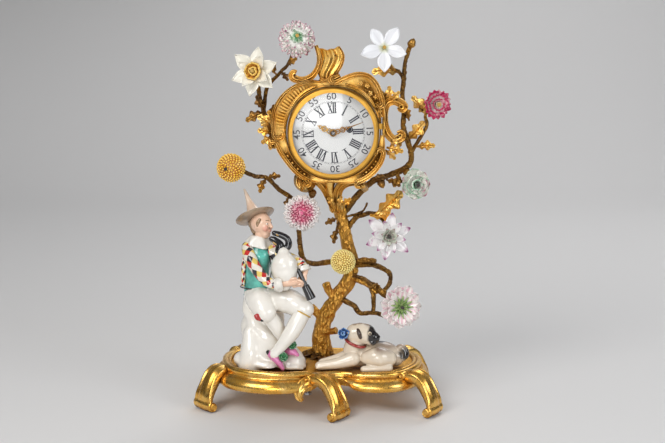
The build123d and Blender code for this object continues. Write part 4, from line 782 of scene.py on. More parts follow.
# Each flower's place in shares of the tree's height, and the way that it looks
FLOWER_PLACES = {
    "narcissus": ((-0.191, -0.07, 0.902), (-0.25, -0.95, 0.15)),
    "posy": ((-0.07, -0.05, 0.998), (0.05, -0.95, 0.3)),
    "jasmine": ((0.188, -0.062, 0.972), (0.05, -0.98, 0.2)),
    "aster": ((0.345, -0.048, 0.805), (0.3, -0.95, 0.0)),
    "rose": ((0.285, -0.055, 0.564), (0.15, -0.98, 0.05)),
    "tulip": ((0.204, -0.069, 0.407), (0.1, -0.98, 0.1)),
    "anemone": ((0.241, -0.08, 0.19), (0.25, -0.95, 0.1)),
    "button": ((0.068, -0.034, 0.32), (-0.2, -0.97, 0.1)),
    "pompon": ((-0.0565, -0.066, 0.4776), (0.0, -0.98, 0.15)),
    "ball": ((-0.27, -0.055, 0.613), (-0.3, -0.95, 0.05)),
}
# How far the thick flowers reach behind their places, in millimetres
FLOWER_BACKS = {"posy": 6.05, "rose": 6.05, "button": 6.05, "pompon": 6.05, "ball": 6.82}


def stem_end(name):
    """Where a branch ends behind a flower."""
    place, way = FLOWER_PLACES[name]
    return tree_point(place) - Vector(way).normalized() * mm(FLOWER_BACKS.get(name, 0) + 3.0)


# Parts of a bough: route, radius at its start and end in millimetres, and the flower that it carries
BOUGHS = {
    "left_bough": [
        (((0.084, 0.021, 0.308), (0.028, -0.004, 0.314), (-0.024, -0.02, 0.312), (-0.055, -0.026, 0.329),
          (-0.064, -0.026, 0.372), (-0.067, -0.022, 0.424), (-0.073, -0.018, 0.485), (-0.094, -0.021, 0.519),
          (-0.127, -0.028, 0.544), (-0.163, -0.034, 0.579), (-0.202, -0.041, 0.587)), 2.5, 1.7, "ball"),
        (((-0.0725, -0.018, 0.482),), 1.7, 1.3, "pompon"),
    ],
    "low_bough": [
        (((0.09, 0.022, 0.264), (0.139, 0.0, 0.249), (0.182, -0.024, 0.227)), 3.6, 2.5, "anemone"),
        (((0.095, 0.02, 0.299), (0.16, 0.002, 0.303), (0.205, -0.012, 0.286), (0.214, -0.02, 0.257),
          (0.19, -0.03, 0.222)), 2.5, 1.7, None),
        (((0.06, 0.028, 0.192), (0.1, 0.01, 0.173), (0.124, 0.0, 0.15), (0.164, -0.014, 0.155),
          (0.2, -0.02, 0.145)), 2.5, 1.7, None),
        (((0.13, 0.0, 0.255), (0.155, -0.012, 0.235), (0.163, -0.015, 0.2), (0.162, -0.014, 0.158)), 2.6, 1.8,
         None),
        (((0.09, 0.018, 0.306), (0.13, 0.0, 0.318), (0.168, -0.014, 0.317)), 2.5, 2.5, None),
    ],
    "leafy_bough": [
        (((0.078, 0.018, 0.405), (0.103, 0.007, 0.446), (0.138, -0.007, 0.464), (0.172, -0.018, 0.468)), 2.5,
         1.7, None),
        (((0.165, -0.016, 0.467), (0.19, -0.024, 0.448)), 1.7, 1.3, "tulip"),
        (((0.075, 0.012, 0.452), (0.105, -0.002, 0.462), (0.13, -0.012, 0.476), (0.142, -0.016, 0.5)), 1.1, 0.8,
         None),
        (((0.07, 0.012, 0.45), (0.052, -0.004, 0.43), (0.048, -0.008, 0.4)), 1.2, 0.9, None),
    ],
    "right_bough": [
        (((0.064, 0.026, 0.452), (0.108, 0.03, 0.512), (0.16, 0.03, 0.561), (0.206, 0.024, 0.578),
          (0.249, 0.016, 0.597),
          (0.272, 0.007, 0.62), (0.275, 0.0, 0.654), (0.262, 0.0, 0.697), (0.25, 0.0, 0.734),
          (0.252, 0.0, 0.782),
          (0.247, 0.0, 0.825), (0.251, 0.0, 0.873), (0.254, 0.0, 0.921), (0.263, 0.0, 0.957),
          (0.269, 0.0, 0.972)),
         2.9, 1.7, None),
        (((0.251, 0.0, 0.87), (0.239, -0.008, 0.895), (0.211, -0.016, 0.911), (0.196, -0.026, 0.935)), 1.7, 1.3,
         "jasmine"),
        (((0.275, 0.0, 0.65), (0.292, -0.007, 0.683), (0.321, -0.012, 0.735), (0.317, -0.016, 0.769)), 1.7, 1.3,
         "aster"),
        (((0.23, 0.02, 0.59), (0.246, 0.006, 0.564)), 1.7, 1.3, "rose"),
    ],
    "crown_bough": [
        (((-0.08, 0.006, 0.655), (-0.103, 0.006, 0.668), (-0.136, 0.004, 0.7), (-0.163, -0.004, 0.747),
          (-0.177, -0.014, 0.797), (-0.186, -0.026, 0.842)), 2.5, 1.7, "narcissus"),
        (((-0.172, -0.008, 0.78), (-0.161, -0.008, 0.85), (-0.122, -0.01, 0.896), (-0.095, -0.012, 0.926)), 1.7,
         1.3, "posy"),
    ],
}
# Leaves: place, the way that they grow, the way that they face, and size
LEAVES = (
    ((0.168, -0.022, 0.462), (0.72, -0.1, 0.66), (0.1, -0.95, 0.1), 1.3),
    ((0.15, -0.02, 0.462), (1.0, -0.2, -0.02), (0.1, -0.85, 0.5), 0.95),
    ((0.24, -0.002, 0.9), (-1.0, -0.3, 0.04), (0.0, -0.9, 0.4), 1.05),
    ((0.317, -0.016, 0.772), (-0.55, -0.35, 0.75), (0.1, -0.95, 0.1), 0.85),
    ((0.318, -0.014, 0.765), (-0.2, -0.35, 0.9), (0.3, -0.95, 0.1), 0.7),
    ((0.264, 0.0, 0.69), (0.62, -0.35, 0.75), (0.1, -0.95, 0.1), 0.95),
    ((0.29, -0.01, 0.672), (0.8, -0.3, 0.1), (0.1, -0.9, 0.3), 0.7),
)
BROWN_LEAVES = (
    ((0.252, 0.0, 0.735), (-0.25, -0.3, -0.9), (-0.2, -0.95, 0.1), 0.8),
    ((0.268, -0.004, 0.75), (-0.3, -0.2, 0.95), (0.3, -0.9, 0.1), 0.55),
    ((0.206, 0.012, 0.575), (-0.95, -0.35, -0.1), (0.1, -0.9, 0.5), 0.6),
    ((0.2, 0.012, 0.568), (0.75, -0.4, -0.25), (0.3, -0.9, 0.3), 0.6),
    ((0.24, 0.012, 0.59), (-0.3, -0.5, -0.8), (0.3, -0.9, 0.2), 0.6),
    ((-0.165, -0.01, 0.775), (-0.95, -0.3, -0.3), (-0.1, -0.9, 0.4), 0.8),
    ((-0.17, -0.012, 0.785), (-0.5, -0.4, 0.85), (-0.4, -0.9, 0.1), 0.62),
    ((-0.155, -0.012, 0.76), (0.35, -0.4, 0.85), (0.3, -0.9, 0.1), 0.55),
    ((-0.15, -0.01, 0.73), (0.7, -0.4, 0.45), (0.1, -0.9, 0.3), 0.5),
    ((-0.132, -0.016, 0.885), (-0.2, -0.5, 0.9), (-0.6, -0.8, 0.1), 0.55),
    ((-0.1, -0.02, 0.918), (0.6, -0.5, 0.5), (0.1, -0.9, 0.3), 0.5),
    ((-0.118, -0.016, 0.9), (0.5, -0.5, -0.6), (0.1, -0.9, 0.2), 0.45),
    ((-0.09, -0.03, 0.525), (-0.35, -0.5, -0.8), (-0.4, -0.85, 0.2), 0.55),
    ((-0.165, -0.038, 0.578), (0.85, -0.3, 0.25), (0.1, -0.85, 0.5), 0.55),
    ((-0.165, -0.038, 0.58), (-0.4, -0.4, -0.75), (-0.3, -0.9, 0.2), 0.6),
    ((0.052, -0.004, 0.42), (-0.3, -0.4, -0.85), (-0.4, -0.9, 0.1), 0.6),
    ((0.05, -0.004, 0.45), (-0.85, -0.4, -0.3), (-0.2, -0.9, 0.2), 0.5),
    ((0.17, -0.022, 0.228), (0.1, -0.6, 0.7), (0.5, -0.8, 0.1), 0.4),
)
# Acorns: place, and the way that they hang
ACORNS = (
    ((0.18, 0.028, 0.568), (0.35, -0.5, -0.8)),
    ((-0.075, -0.019, 0.5), (0.7, -0.4, 0.6)),
    ((0.25, 0.014, 0.6), (0.8, -0.3, -0.5)),
    ((0.267, 0.0, 0.968), (0.4, -0.2, 0.9)),
    ((-0.024, -0.03, 0.548), (-0.1, -0.3, -0.95)),
)


METALS = {}


def metals():
    """The gilt and bronze finishes, made once."""
    if METALS:
        return METALS
    gilt = bpy.context.scene.clock_gilding
    gold, pale, recess = tuple(gilt.gold), tuple(gilt.pale_gold), tuple(gilt.recess)
    bark, patina = tuple(gilt.bark_gold), tuple(gilt.patina)
    gloss, dark = gilt.gloss, times(recess, 0.3)

    def veins(f):
        return f.mark("vein") * 3.0

    rows = {
        "gilt": ("burnished_gilding", gold, recess, pale, gloss),
        # Painted shade: the bezel's gold is darkened to about half, as the ring lies in shade.
        "bezel": ("bezel_gilding", times(gold, 0.5), recess, times(gold, 0.62), gloss + 0.06, 1800.0, 0.000004),
        "matt": ("stippled_gilding", times(gold, 0.8), recess, gold, gloss, 900.0, 0.00014, 0.006, 0.2,
                 lambda f: f.cells(700.0) * 1.4),
        "leaf": ("leaf_gilding", gold, recess, pale, gloss, 700.0, 0.0001, 0.006, 0.06, veins),
        "brown": ("leaf_patina", times(patina, 1.5), dark, times(bark, 0.8), 0.32, 700.0, 0.0001, 0.006, 0.0,
                  veins),
        "bark": ("bark_gilding", bark, times(recess, 0.6), times(gold, 0.9), 0.32, 700.0, 0.0003, 0.009, 0.06,
                 lambda f: f.cells(380.0, f.stretched(1, 1, 0.45)) * 2.2),
        "bronze": ("branch_patina", patina, dark, times(bark, 0.55), 0.34, 600.0, 0.00028, 0.006, 0.06,
                   lambda f: f.cells(520.0) * 1.5),
        "brass": ("movement_brass", (0.8, 0.56, 0.2), recess, (0.92, 0.7, 0.32), 0.22, 2600.0, 0.00002),
        "case": ("drum_brass", (0.68, 0.46, 0.16), recess, (0.84, 0.62, 0.26), 0.32, 1500.0, 0.00004),
    }
    METALS.update((key, gilding(*row)) for key, row in rows.items())
    # The second steel is near black, for the barrel arbor behind the winding hole: partly the arbor's own dark
    # steel, partly painted shade so the hole reads dark.
    for name, low, high in (("steel", 0.3, 0.5), ("blued", 0.012, 0.03)):
        steel = Finish(name + "_steel")
        METALS[name] = steel.set(Base_Color=steel.blend(steel.noise(300.0), (low, low, low * 1.06),
                                                        (high, high, high * 1.06)),
                                 Metallic=1.0, Roughness=steel.noise(900.0) * 0.2 + 0.18)
    return METALS


# Stage


AIM = mm(10.35, 12, 161.3)
LAMPS = (
    # name, place, power, size, colour, aim
    ("key", (-0.75, -1.05, 1.15), 13.0, 0.75, (1.0, 0.98, 0.95), AIM),
    ("fill", (1.1, -0.9, 0.7), 6.0, 0.7, (0.96, 0.98, 1.0), AIM),
    ("rim", (0.5, 0.9, 1.1), 3.0, 0.6, (1.0, 1.0, 1.0), AIM),
    ("front", (-0.2, -1.7, 0.4), 7.5, 0.6, (1.0, 1.0, 1.0), AIM),
    ("paper", (0.2, 1.1, 1.9), 5.4, 1.2, (1.0, 1.0, 1.0), Vector((0.1, 1.6, 0.5))),
)
SKY_STRENGTH = 0.28
PAPER_BEND = 0.6
PAPER_BEND_START = 1.1


class CLOCK_OT_stage(bpy.types.Operator):
    """Sets the camera, the lamps and a seamless paper backdrop."""

    bl_idname = "clock.stage"
    bl_label = "Stage"

    def execute(self, context):
        stage = context.scene.clock_stage
        angle = stage.height_angle
        camera_data = bpy.data.cameras.new("camera")
        camera_data.lens = stage.lens
        camera_data.sensor_width = 36
        camera = placed("camera", camera_data)
        camera.location = AIM + Vector((0, -cos(angle), sin(angle))) * stage.distance
        camera.rotation_euler = (AIM - camera.location).to_track_quat("-Z", "Y").to_euler()
        context.scene.camera = camera
        self.backdrop(stage)
        for row in LAMPS:
            self.lamp(*row)
        world = bpy.data.worlds.new("studio")
        context.scene.world = world
        world.use_nodes = True
        sky = Sheet(world.node_tree)
        sky.tree.nodes.clear()
        height = sky.wire("ShaderNodeSeparateXYZ", None, {0: sky.wire("ShaderNodeTexCoord", output=0)}, 2)
        light = sky.node("ShaderNodeBackground", None, {
            0: sky.wire("ShaderNodeMix", {"data_type": "RGBA"},
                        {0: height.between(-0.1, 0.8), 6: (0.12, 0.12, 0.13, 1), 7: (0.9, 0.91, 0.93, 1)}, 2),
            1: SKY_STRENGTH})
        result = sky.node("ShaderNodeOutputWorld")
        sky.tree.links.new(light.outputs[0], result.inputs[0])
        context.scene.view_settings.view_transform = "Standard"
        return {"FINISHED"}

    def lamp(self, name, place, power, size, colour, aim):
        data = bpy.data.lights.new(name, "AREA")
        data.energy = power
        data.size = size
        data.color = colour
        made = placed(name, data)
        made.location = place
        made.rotation_euler = (aim - Vector(place)).to_track_quat("-Z", "Y").to_euler()

    def backdrop(self, stage):
        profile = [(-2.4, 0.0), (-1.0, 0.0), (0.0, 0.0), (0.7, 0.0), (PAPER_BEND_START, 0.0)]
        profile += [(PAPER_BEND_START + PAPER_BEND * sin(t), PAPER_BEND - PAPER_BEND * cos(t))
                    for t in np.linspace(0.15, 1.5, 10)]
        profile += [(1.71, 1.2), (1.72, 2.6)]
        rows = [[(x, y, z) for x in np.linspace(-2.4, 2.4, 9)] for y, z in profile]
        paper = Finish("backdrop_paper")
        split = paper.node("ShaderNodeSeparateXYZ", None, {0: paper.place})
        across, height = Wire(paper, split.outputs[0]), Wire(paper, split.outputs[2])
        colour = tuple(stage.backdrop)
        # Painted light on the paper: it darkens to the left, a little on the floor and much more on the wall,
        # and the wall grows brighter than the paper's colour to the right.
        floor = paper.blend(across.between(-1.2, 0.6), times(colour, 0.86), colour)
        wall_painted_light = paper.blend(across.between(-0.8, 0.5), times(colour, 0.43), times(colour, 1.17))
        shade = paper.blend(height.between(0.0, 0.8), floor, wall_painted_light)
        material = paper.set(Base_Color=shade, Roughness=paper.noise(9.0) * 0.1 + 0.8)
        mesh = Shape().grid(rows).mesh("backdrop")
        mesh.materials.append(material)
        mesh.polygons.foreach_set("use_smooth", [True] * len(mesh.polygons))
        placed("backdrop", mesh)


# Base


# Feet: place in shares of the plate's half sizes, heading in degrees, reach and spread in millimetres
FEET = {
    "foot_left": ((-0.94, -0.36), 220, 29.0, 27.0),
    "foot_front": ((-0.05, -0.84), -36, 31.0, 26.0),
    "foot_right": ((0.86, -0.66), -32, 30.0, 26.0),
    "foot_rear_right": ((0.82, 0.62), 38, 30.0, 23.0),
    "foot_rear_left": ((-0.76, 0.68), 122, 30.0, 23.0),
}
# The base plate: half sizes in millimetres, and its outline in shares of them
PLATE_HALF_WIDTH = 90
PLATE_HALF_DEPTH = 58
PLATE = ((-1.0, -0.14), (-0.88, -0.72), (-0.52, -1.0), (-0.14, -0.93), (0.14, -0.74), (0.42, -0.9),
         (0.76, -0.84),
         (1.0, -0.3), (0.98, 0.34), (0.68, 0.8), (0.22, 0.72), (-0.22, 0.82), (-0.66, 0.8), (-0.94, 0.42))
UP = np.array((0, 0, 1.0))


def leaf_shape(length, width):
    """An oak leaf along x in millimetres: lobed, folded at its rib, with its veins marked."""
    lobes, thick = 3, 0.35
    rows, veins = [], []
    for step in range(25):
        t = step / 24
        outline = sin(pi * min(1, t * 0.94 + 0.06)) ** 0.6 * (0.76 + 0.24 * cos(2 * pi * lobes * t + 0.9))
        half = width / 2 * max(outline, 0.06) * (0.5 + 0.75 * t if t < 0.66 else 1.0)
        row, marks = [], []
        for s in np.linspace(-1, 1, 13):
            bend = -0.22 * length * t * t + 0.14 * length * sin(2.6 * t)
            fold = 0.26 * half * abs(s) ** 1.4 - 0.08 * width * sin(3 * pi * t) * s * s
            row.append(mm(length * (t + 0.05 * abs(s) * sin(pi * t)), half * s, bend + fold))
            vein = max(0, cos(2 * pi * (lobes * 2 * t - abs(s) * 0.9))) ** 8
            marks.append(max(0, 1 - abs(s) * 9) + 0.6 * vein)
        rows.append(row)
        veins.append(marks)
    under = [[point - mm(0, 0, thick) for point in row] for row in rows]
    shape = Shape().grid(rows, marks={"vein": veins})
    shape.grid([list(reversed(row)) for row in under], marks={"vein": veins})
    for top, low in ((rows[0], under[0]), (list(reversed(rows[-1])), list(reversed(under[-1]))),
                     ([row[-1] for row in rows], [row[-1] for row in under]),
                     ([row[0] for row in reversed(rows)], [row[0] for row in reversed(under)])):
        shape.grid([low, top], marks={"vein": [[0.0] * len(top)] * 2})
    return shape


class CLOCK_OT_base(bpy.types.Operator):
    """Dresses the base plate with scroll mouldings and stands it on scroll feet."""

    bl_idname = "clock.base"
    bl_label = "Base"

    def execute(self, context):
        metal = metals()
        dress(metal["matt"], "base_plate")
        dress(metal["steel"], "base_fasteners")
        piece("base_mouldings", outward(self.mouldings().mesh("base_mouldings")), metal["gilt"])
        for name in FEET:
            piece(name + "_scroll", outward(self.foot(name).mesh(name)), metal["gilt"],
                  replaces=(name,))
        tuft = [(mm(x, y, 36.8), facing((cos(turn), sin(turn), 0.3), (0, 0, 1)), 0.5)
                for x, y, turn in ((0, 3, -2.4), (5, 1, -1.5), (-4, 6, -2.9), (9, 6, -0.6), (2, 0, -1.9),
                                   (-2, 1, -2.2))]
        piece("trunk_tuft", set_out(leaf_shape(24, 15), tuft, metal["brown"]), metal["brown"])
        return {"FINISHED"}

    def edge(self, first, last, inset, height):
        count = len(PLATE)
        return [mm(PLATE[i % count][0] * (PLATE_HALF_WIDTH - inset),
                   PLATE[i % count][1] * (PLATE_HALF_DEPTH - inset), height)
                for i in range(first, last + 1)]

    def mouldings(self):
        """Two lobes of rolled moulding, which meet the front foot, and a plainer run behind."""
        shape = Shape()

        def leaning(forward):
            return np.cross(forward, UP) + UP * 0.5

        left = self.edge(12, 17, 1.5, 31.2) + [mm(-4, -49, 33)]
        right = [mm(21, -42.5, 31.5), mm(25, -45, 30.5)] + self.edge(19, 23, 1.5, 29.8)
        rear = self.edge(9, 12, 1.5, 29.8)
        middle = [mm(-6, -46, 33), mm(6, -41.5, 33), mm(18, -40.5, 33), mm(28, -43, 33)]
        for route, wide, deep, profile in (
                (left, (11, 15, 19, 20, 20, 18, 9), 3.8, RIM), (right, (3, 10, 17, 18, 18, 16, 11), 3.6, RIM),
                (rear, (9, 13, 13, 9), 3.4, RIM), (middle, (8, 9, 9, 8), 2.6, ROLLED)):
            shape.add(strap(route, mms(*wide), [mm(deep)] * len(route), leaning, profile, 10, 0.9))
        for first, last, high in ((12, 17, 37.4), (19, 23, 36.6)):
            route = self.edge(first, last, 7.5, high)
            shape.add(tube(route, [mm(1.0)] + [mm(1.9)] * (last - first - 1) + [mm(1.0)], 10, 10))
        for place, way, size in (((62, 47, 34), (0.3, -0.6, 0.7), 5.0),
                                 ((-80, 33, 34), (-0.3, -0.7, 0.6), 5.6)):
            spot, way = mm(*place), Vector(way).normalized()
            for radius, start, end in ((size, -4, 3.0), (size * 0.62, 2.5, 4.4), (size * 0.3, 4, 5.6)):
                shape.add(tube([spot + way * mm(start), spot + way * mm(end)], mms(radius, radius * 0.92), 20,
                               2, ends=(0.1, 0.25)))
        curl = [mm(-4, -51, 32), mm(-12, -56, 31), mm(-17.5, -59.5, 26), mm(-18.5, -60, 20),
                mm(-15.5, -59, 16.5)]
        shape.add(strap(curl, mms(8, 11, 10, 7, 3), [mm(2.2)] * 5, (-0.4, -0.88, 0.25), RIDGED, 6, 0.6))
        return shape

    def foot(self, name):
        (across, along), heading, reach, spread = FEET[name]
        turn = radians(heading)
        way = Vector((cos(turn), sin(turn), 0))
        start = mm(across * PLATE_HALF_WIDTH, along * PLATE_HALF_DEPTH, 0)
        side = way.cross(Vector((0, 0, 1)))

        def at(r, z, s=0.0):
            return start + way * mm(r) + side * mm(s) + Vector((0, 0, mm(z)))

        eye = (reach - 6.8, 5.2)
        flat = [(-14, 29), (-6, 31), (1, 33), (reach * 0.28, 33.4), (reach * 0.5, 29.6), (reach * 0.68, 22),
                (reach * 0.82, 14.4)]
        turns = 15
        for step in range(turns):
            t = step / (turns - 1)
            bow = radians(50 - 340 * t)
            flat.append((eye[0] + (4.7 - 2.6 * t) * cos(bow), eye[1] + (4.7 - 2.6 * t) * sin(bow)))
        wide = [spread * share for share in (0.5, 0.62, 0.72, 0.72, 0.7, 0.74, 0.84)]
        wide += [spread * 0.92 - 0.1 * step for step in range(turns)]
        deep = [3, 4, 5, 5.2, 4.8, 4, 3] + [max(0.8, 1.9 - 0.08 * step) for step in range(turns)]
        shape = strap([at(r, z) for r, z in flat], mms(*wide), mms(*deep),
                      lambda forward: np.cross(side, forward), BROAD, 5, 0.9)
        half = spread / 2 - 2.4
        shape.add(tube([at(*eye, -half), at(*eye, 0), at(*eye, half)], mms(3.4, 3.7, 3.4), 18, 3,
                       ends=(0.3, 0.3)))
        top = {"foot_left": 6.2, "foot_rear_left": 5.0}.get(name, 3.4)
        shape.add(tube([at(-2, 37.4 - top, -0.36 * spread), at(-2, 37.4 - top, 0.36 * spread)], [mm(top)] * 2,
                       20, 3, ends=(0.3, 0.3)))
        for hand in (-1, 1):
            shape.add(tube([at(-2, 37.4 - top, 0.37 * spread * hand), at(-2, 37.4 - top, 0.44 * spread * hand)],
                           mms(top * 0.5, top * 0.4), 14, 2))
        return shape


# Tree


def gnarl(scale, depth, ridges):
    """How a branch's skin swells: knobs by chance, and ridges that twist along it."""

    def swell(share, turn, point):
        knob = noise.noise(Vector(point) * scale + Vector((cos(turn), sin(turn), 0)) * 1.3)
        return 1 + depth * (knob + 0.5 * sin(ridges * turn + 22 * share + 3 * knob))

    return swell


class CLOCK_OT_tree(bpy.types.Operator):
    """Grows the gilt trunk and its bronze branches."""

    bl_idname = "clock.tree"
    bl_label = "Tree"

    def execute(self, context):
        metal = metals()
        radii = mms(9.6, 7.6, 7.0, 6.4, 6.6, 6.2, 5.8, 5.4, 5.6)
        shape = tube(on_tree(TRUNK), radii, 40, 12, swell=gnarl(170, 0.17, 6), ends=(0, 0.2))
        for route in STUBS.values():
            shape.add(tube(on_tree(route), mms(4.8, 3.7, 3.9), 22, 6, swell=gnarl(260, 0.13, 5),
                           ends=(0, 0.4)))
        low = tree_point((0.004, 0.03, 0.085))
        shape.add(tube([low, low + mm(8, -5, 1), low + mm(13, -7, 2.5)], mms(3.6, 3.0, 3.4), 18, 5,
                       swell=gnarl(260, 0.08, 5), ends=(0, 0.15)))
        shape.add(tube([tree_point((0.088, 0.026, 0.31)), stem_end("button")], mms(2.5, 1.7), 14, 5,
                       ends=(0, 0.2)))
        web = on_tree(((0.1, 0.018, 0.258), (0.14, 0.0, 0.243), (0.168, -0.014, 0.222)))
        shape.add(tube(web, mms(3.8, 4.6, 3.0), 18, 6, aside=mms(3.2, 2.2, 1.8), swell=gnarl(260, 0.1, 4)))
        piece("trunk_bark", melted(shape, "trunk_bark", 0.0007, 1), metal["bark"],
              replaces=("trunk",))
        for name, parts in BOUGHS.items():
            shape = Shape()
            for route, thick, thin, flower in parts:
                points = on_tree(route) + ([stem_end(flower)] if flower else [])
                sizes = mms(*np.linspace(thick, thin, len(points)))
                shape.add(tube(points, sizes, 18, 10, swell=gnarl(330, 0.26, 3), ends=(0.3, 0.3)))
            piece(name + "_bark", shape, metal["bronze"], replaces=(name,))
        self.ground(metal)
        return {"FINISHED"}

    def ground(self, metal):
        """A dark knot of roots about the trunk's foot, and a low gilt mound before it."""
        knot = Shape()
        for place, size in (((-10, 11, 38), (4.5, 4, 5)), ((-5, 8, 38), (4, 4, 4)),
                            ((-14, 12, 37), (4, 4, 3.4)),
                            ((-1, 4, 37), (4.5, 4, 3.2)), ((7, 4, 36.6), (5, 4, 2.6)),
                            ((-7, 4, 36.8), (3.4, 3.4, 3))):
            knot.add(ball(mm(*place), *size, None, 10, 16))
        for route in (((0, 10, 43), (-7, 11, 42.5), (-14, 13, 40), (-19, 15, 36.5)),
                      ((2, 6, 42), (-4, 3, 40), (-11, 2, 36.5)), ((6, 8, 41), (12, 5, 39), (19, 4, 36.5))):
            knot.add(tube([mm(*p) for p in route], mms(*np.linspace(2.2, 1.1, len(route))), 12, 6,
                          swell=gnarl(420, 0.3, 3)))
        piece("root_knot", melted(knot, "root_knot", 0.0006, 1), metal["bronze"])
        mound = ball(mm(-8.5, -15, 35.2), 8.5, 24, 3.2, None, 16, 40)
        piece("ground_mound", mound, metal["matt"])


class CLOCK_OT_leaves(bpy.types.Operator):
    """Hangs gilt leaves and acorns on the branches."""

    bl_idname = "clock.leaves"
    bl_label = "Leaves and acorns"

    def execute(self, context):
        metal = metals()
        for name, table, finish, slot, replaces in (
                ("gilt_leaves", LEAVES, "leaf", "leaf_gilding", ("leaves",)),
                ("brown_leaves", BROWN_LEAVES, "brown", "patinated_bronze", ())):
            rows = [(tree_point(place), facing(way, face), size) for place, way, face, size in table]
            piece(name, set_out(leaf_shape(24, 15), rows, metal[finish]), metal[finish],
                  replaces=replaces)
        nut = [(0.0, 0.6), (0.6, 2.2), (2.0, 3.4), (3.6, 3.75), (4.1, 3.7), (4.15, 3.2), (5.6, 3.1), (7.2, 2.3),
               (8.4, 0.9)]
        around = 18
        shape = Shape().grid(lathe(nut, around), True)
        shape.fan(0, around, mm(-0.4, 0, 0), True)
        shape.fan((len(nut) - 1) * around, around, mm(9.2, 0, 0), False)
        rows = [(tree_point(place) + Vector(way).normalized() * 0.0008, facing(way, (0.1, -1, 0.3)), 1.0)
                for place, way in ACORNS]
        piece("acorns_cast", set_out(shape, rows, metal["brown"]), metal["brown"],
              replaces=("acorns",))
        return {"FINISHED"}


# Flowers


def petal_shape(length, width, tip, cup, curl, broad, frill, rows_count=9, across=7):
    """A petal along x in millimetres: broadest at a share of its length, cupped and curled."""
    rows, along, side = [], [], []
    for step in range(rows_count):
        t = step / (rows_count - 1)
        if t < broad:
            half = sin(pi / 2 * (t / broad)) ** 0.8
        else:
            half = max(0.0, cos(pi / 2 * ((t - broad) / (1 - broad)))) ** tip
        half = width / 2 * max(half, 0.12 if t < 0.1 else 0.03)
        row = []
        for s in np.linspace(-1, 1, across):
            rise = cup * width * s * s + curl * length * t * t + frill * width * t * sin(9 * s + 5 * t)
            row.append(mm(length * t, half * s, rise))
        rows.append(row)
        along.append([t] * across)
        side.append([abs(s) for s in np.linspace(-1, 1, across)])
    return Shape().grid(rows, marks={"petal": along, "side": side})


SUBDIVIDED = [("SUBSURF", {"levels": 1, "render_levels": 1})]
PETAL_SHEET = [("SOLIDIFY", {"thickness": 0.0006, "offset": 0.0})]


def petal_glaze(name, colours, rough=0.16):
    """Painted porcelain petals: colours(finish) gives the enamel, and painted shade darkens their hollows."""
    finish = Finish(name)
    colour = colours(finish)
    # Painted shade: the hollows in and between the petals, found by ambient occlusion, are darkened towards
    # brown.
    open_share = finish.hollow(0.003).between(0.0, 0.5)
    shaded = finish.blend(open_share, finish.blend(0.5, colour, (0.18, 0.1, 0.07)), colour)
    veins = finish.noise(900.0, 2.0)
    return finish.set(Base_Color=shaded, Roughness=finish.noise(80.0) * 0.08 + rough, Coat_Weight=0.4,
                      Coat_Roughness=0.08, Normal=finish.bump(veins, 0.0001))


def flower_matrix(name):
    """Sets a flower that was made along z at the origin in its place."""
    place, way = FLOWER_PLACES[name]
    z = Vector(way).normalized()
    x = Vector((0, 0, 1)).cross(z).normalized()
    turn = Matrix((x, z.cross(x), z)).transposed().to_4x4()
    return Matrix.Translation(tree_point(place)) @ turn


def whorl(petal, material, count, ring, lift, lean, turn, size, spread, seed):
    """One ring of petals, lean in degrees."""
    pattern = pattern_object(petal)
    made = growth(whorl_tree).grow({
        "Petal": pattern, "Count": count, "Ring": mm(ring), "Lift": mm(lift), "Lean": radians(lean),
        "Turn": radians(turn), "Size": size, "Spread": spread, "Seed": seed, "Material": material})
    drop(pattern)
    return made


def whorls(petal, material, *rows):
    """Rings of one petal, each from a row of whorl's numbers."""
    return [whorl(petal, material, *row) for row in rows]


def dome(petal, material, count, reach, depth, cover, size, rim_size, opening, seed):
    """Petals over a dome, from one size at its top to another at its rim."""
    pattern = pattern_object(petal)
    made = growth(dome_tree).grow({
        "Petal": pattern, "Count": count, "Reach": mm(reach), "Depth": mm(depth), "Cover": cover, "Size": size,
        "Rim size": rim_size, "Open": opening, "Seed": seed, "Material": material})
    drop(pattern)
    return made


def cushion(reach, depth, back):
    """The closed heart that petals stand on."""
    around, high = 28, 15
    rows = []
    for angle in np.linspace(-80, 80, high):
        a = radians(angle)
        level = depth if angle > 0 else back
        rows.append([mm(reach * cos(a) * cos(t), reach * cos(a) * sin(t), level * sin(a))
                     for t in np.linspace(0, 2 * pi, around, endpoint=False)])
    shape = Shape().grid(rows, True, {"petal": [[0.0] * around] * high, "side": [[0.0] * around] * high,
                                      "spread": [[1 - i / (high - 1)] * around for i in range(high)]})
    shape.fan(0, around, mm(0, 0, -back), True)
    shape.fan((high - 1) * around, around, mm(0, 0, depth), False)
    return shape


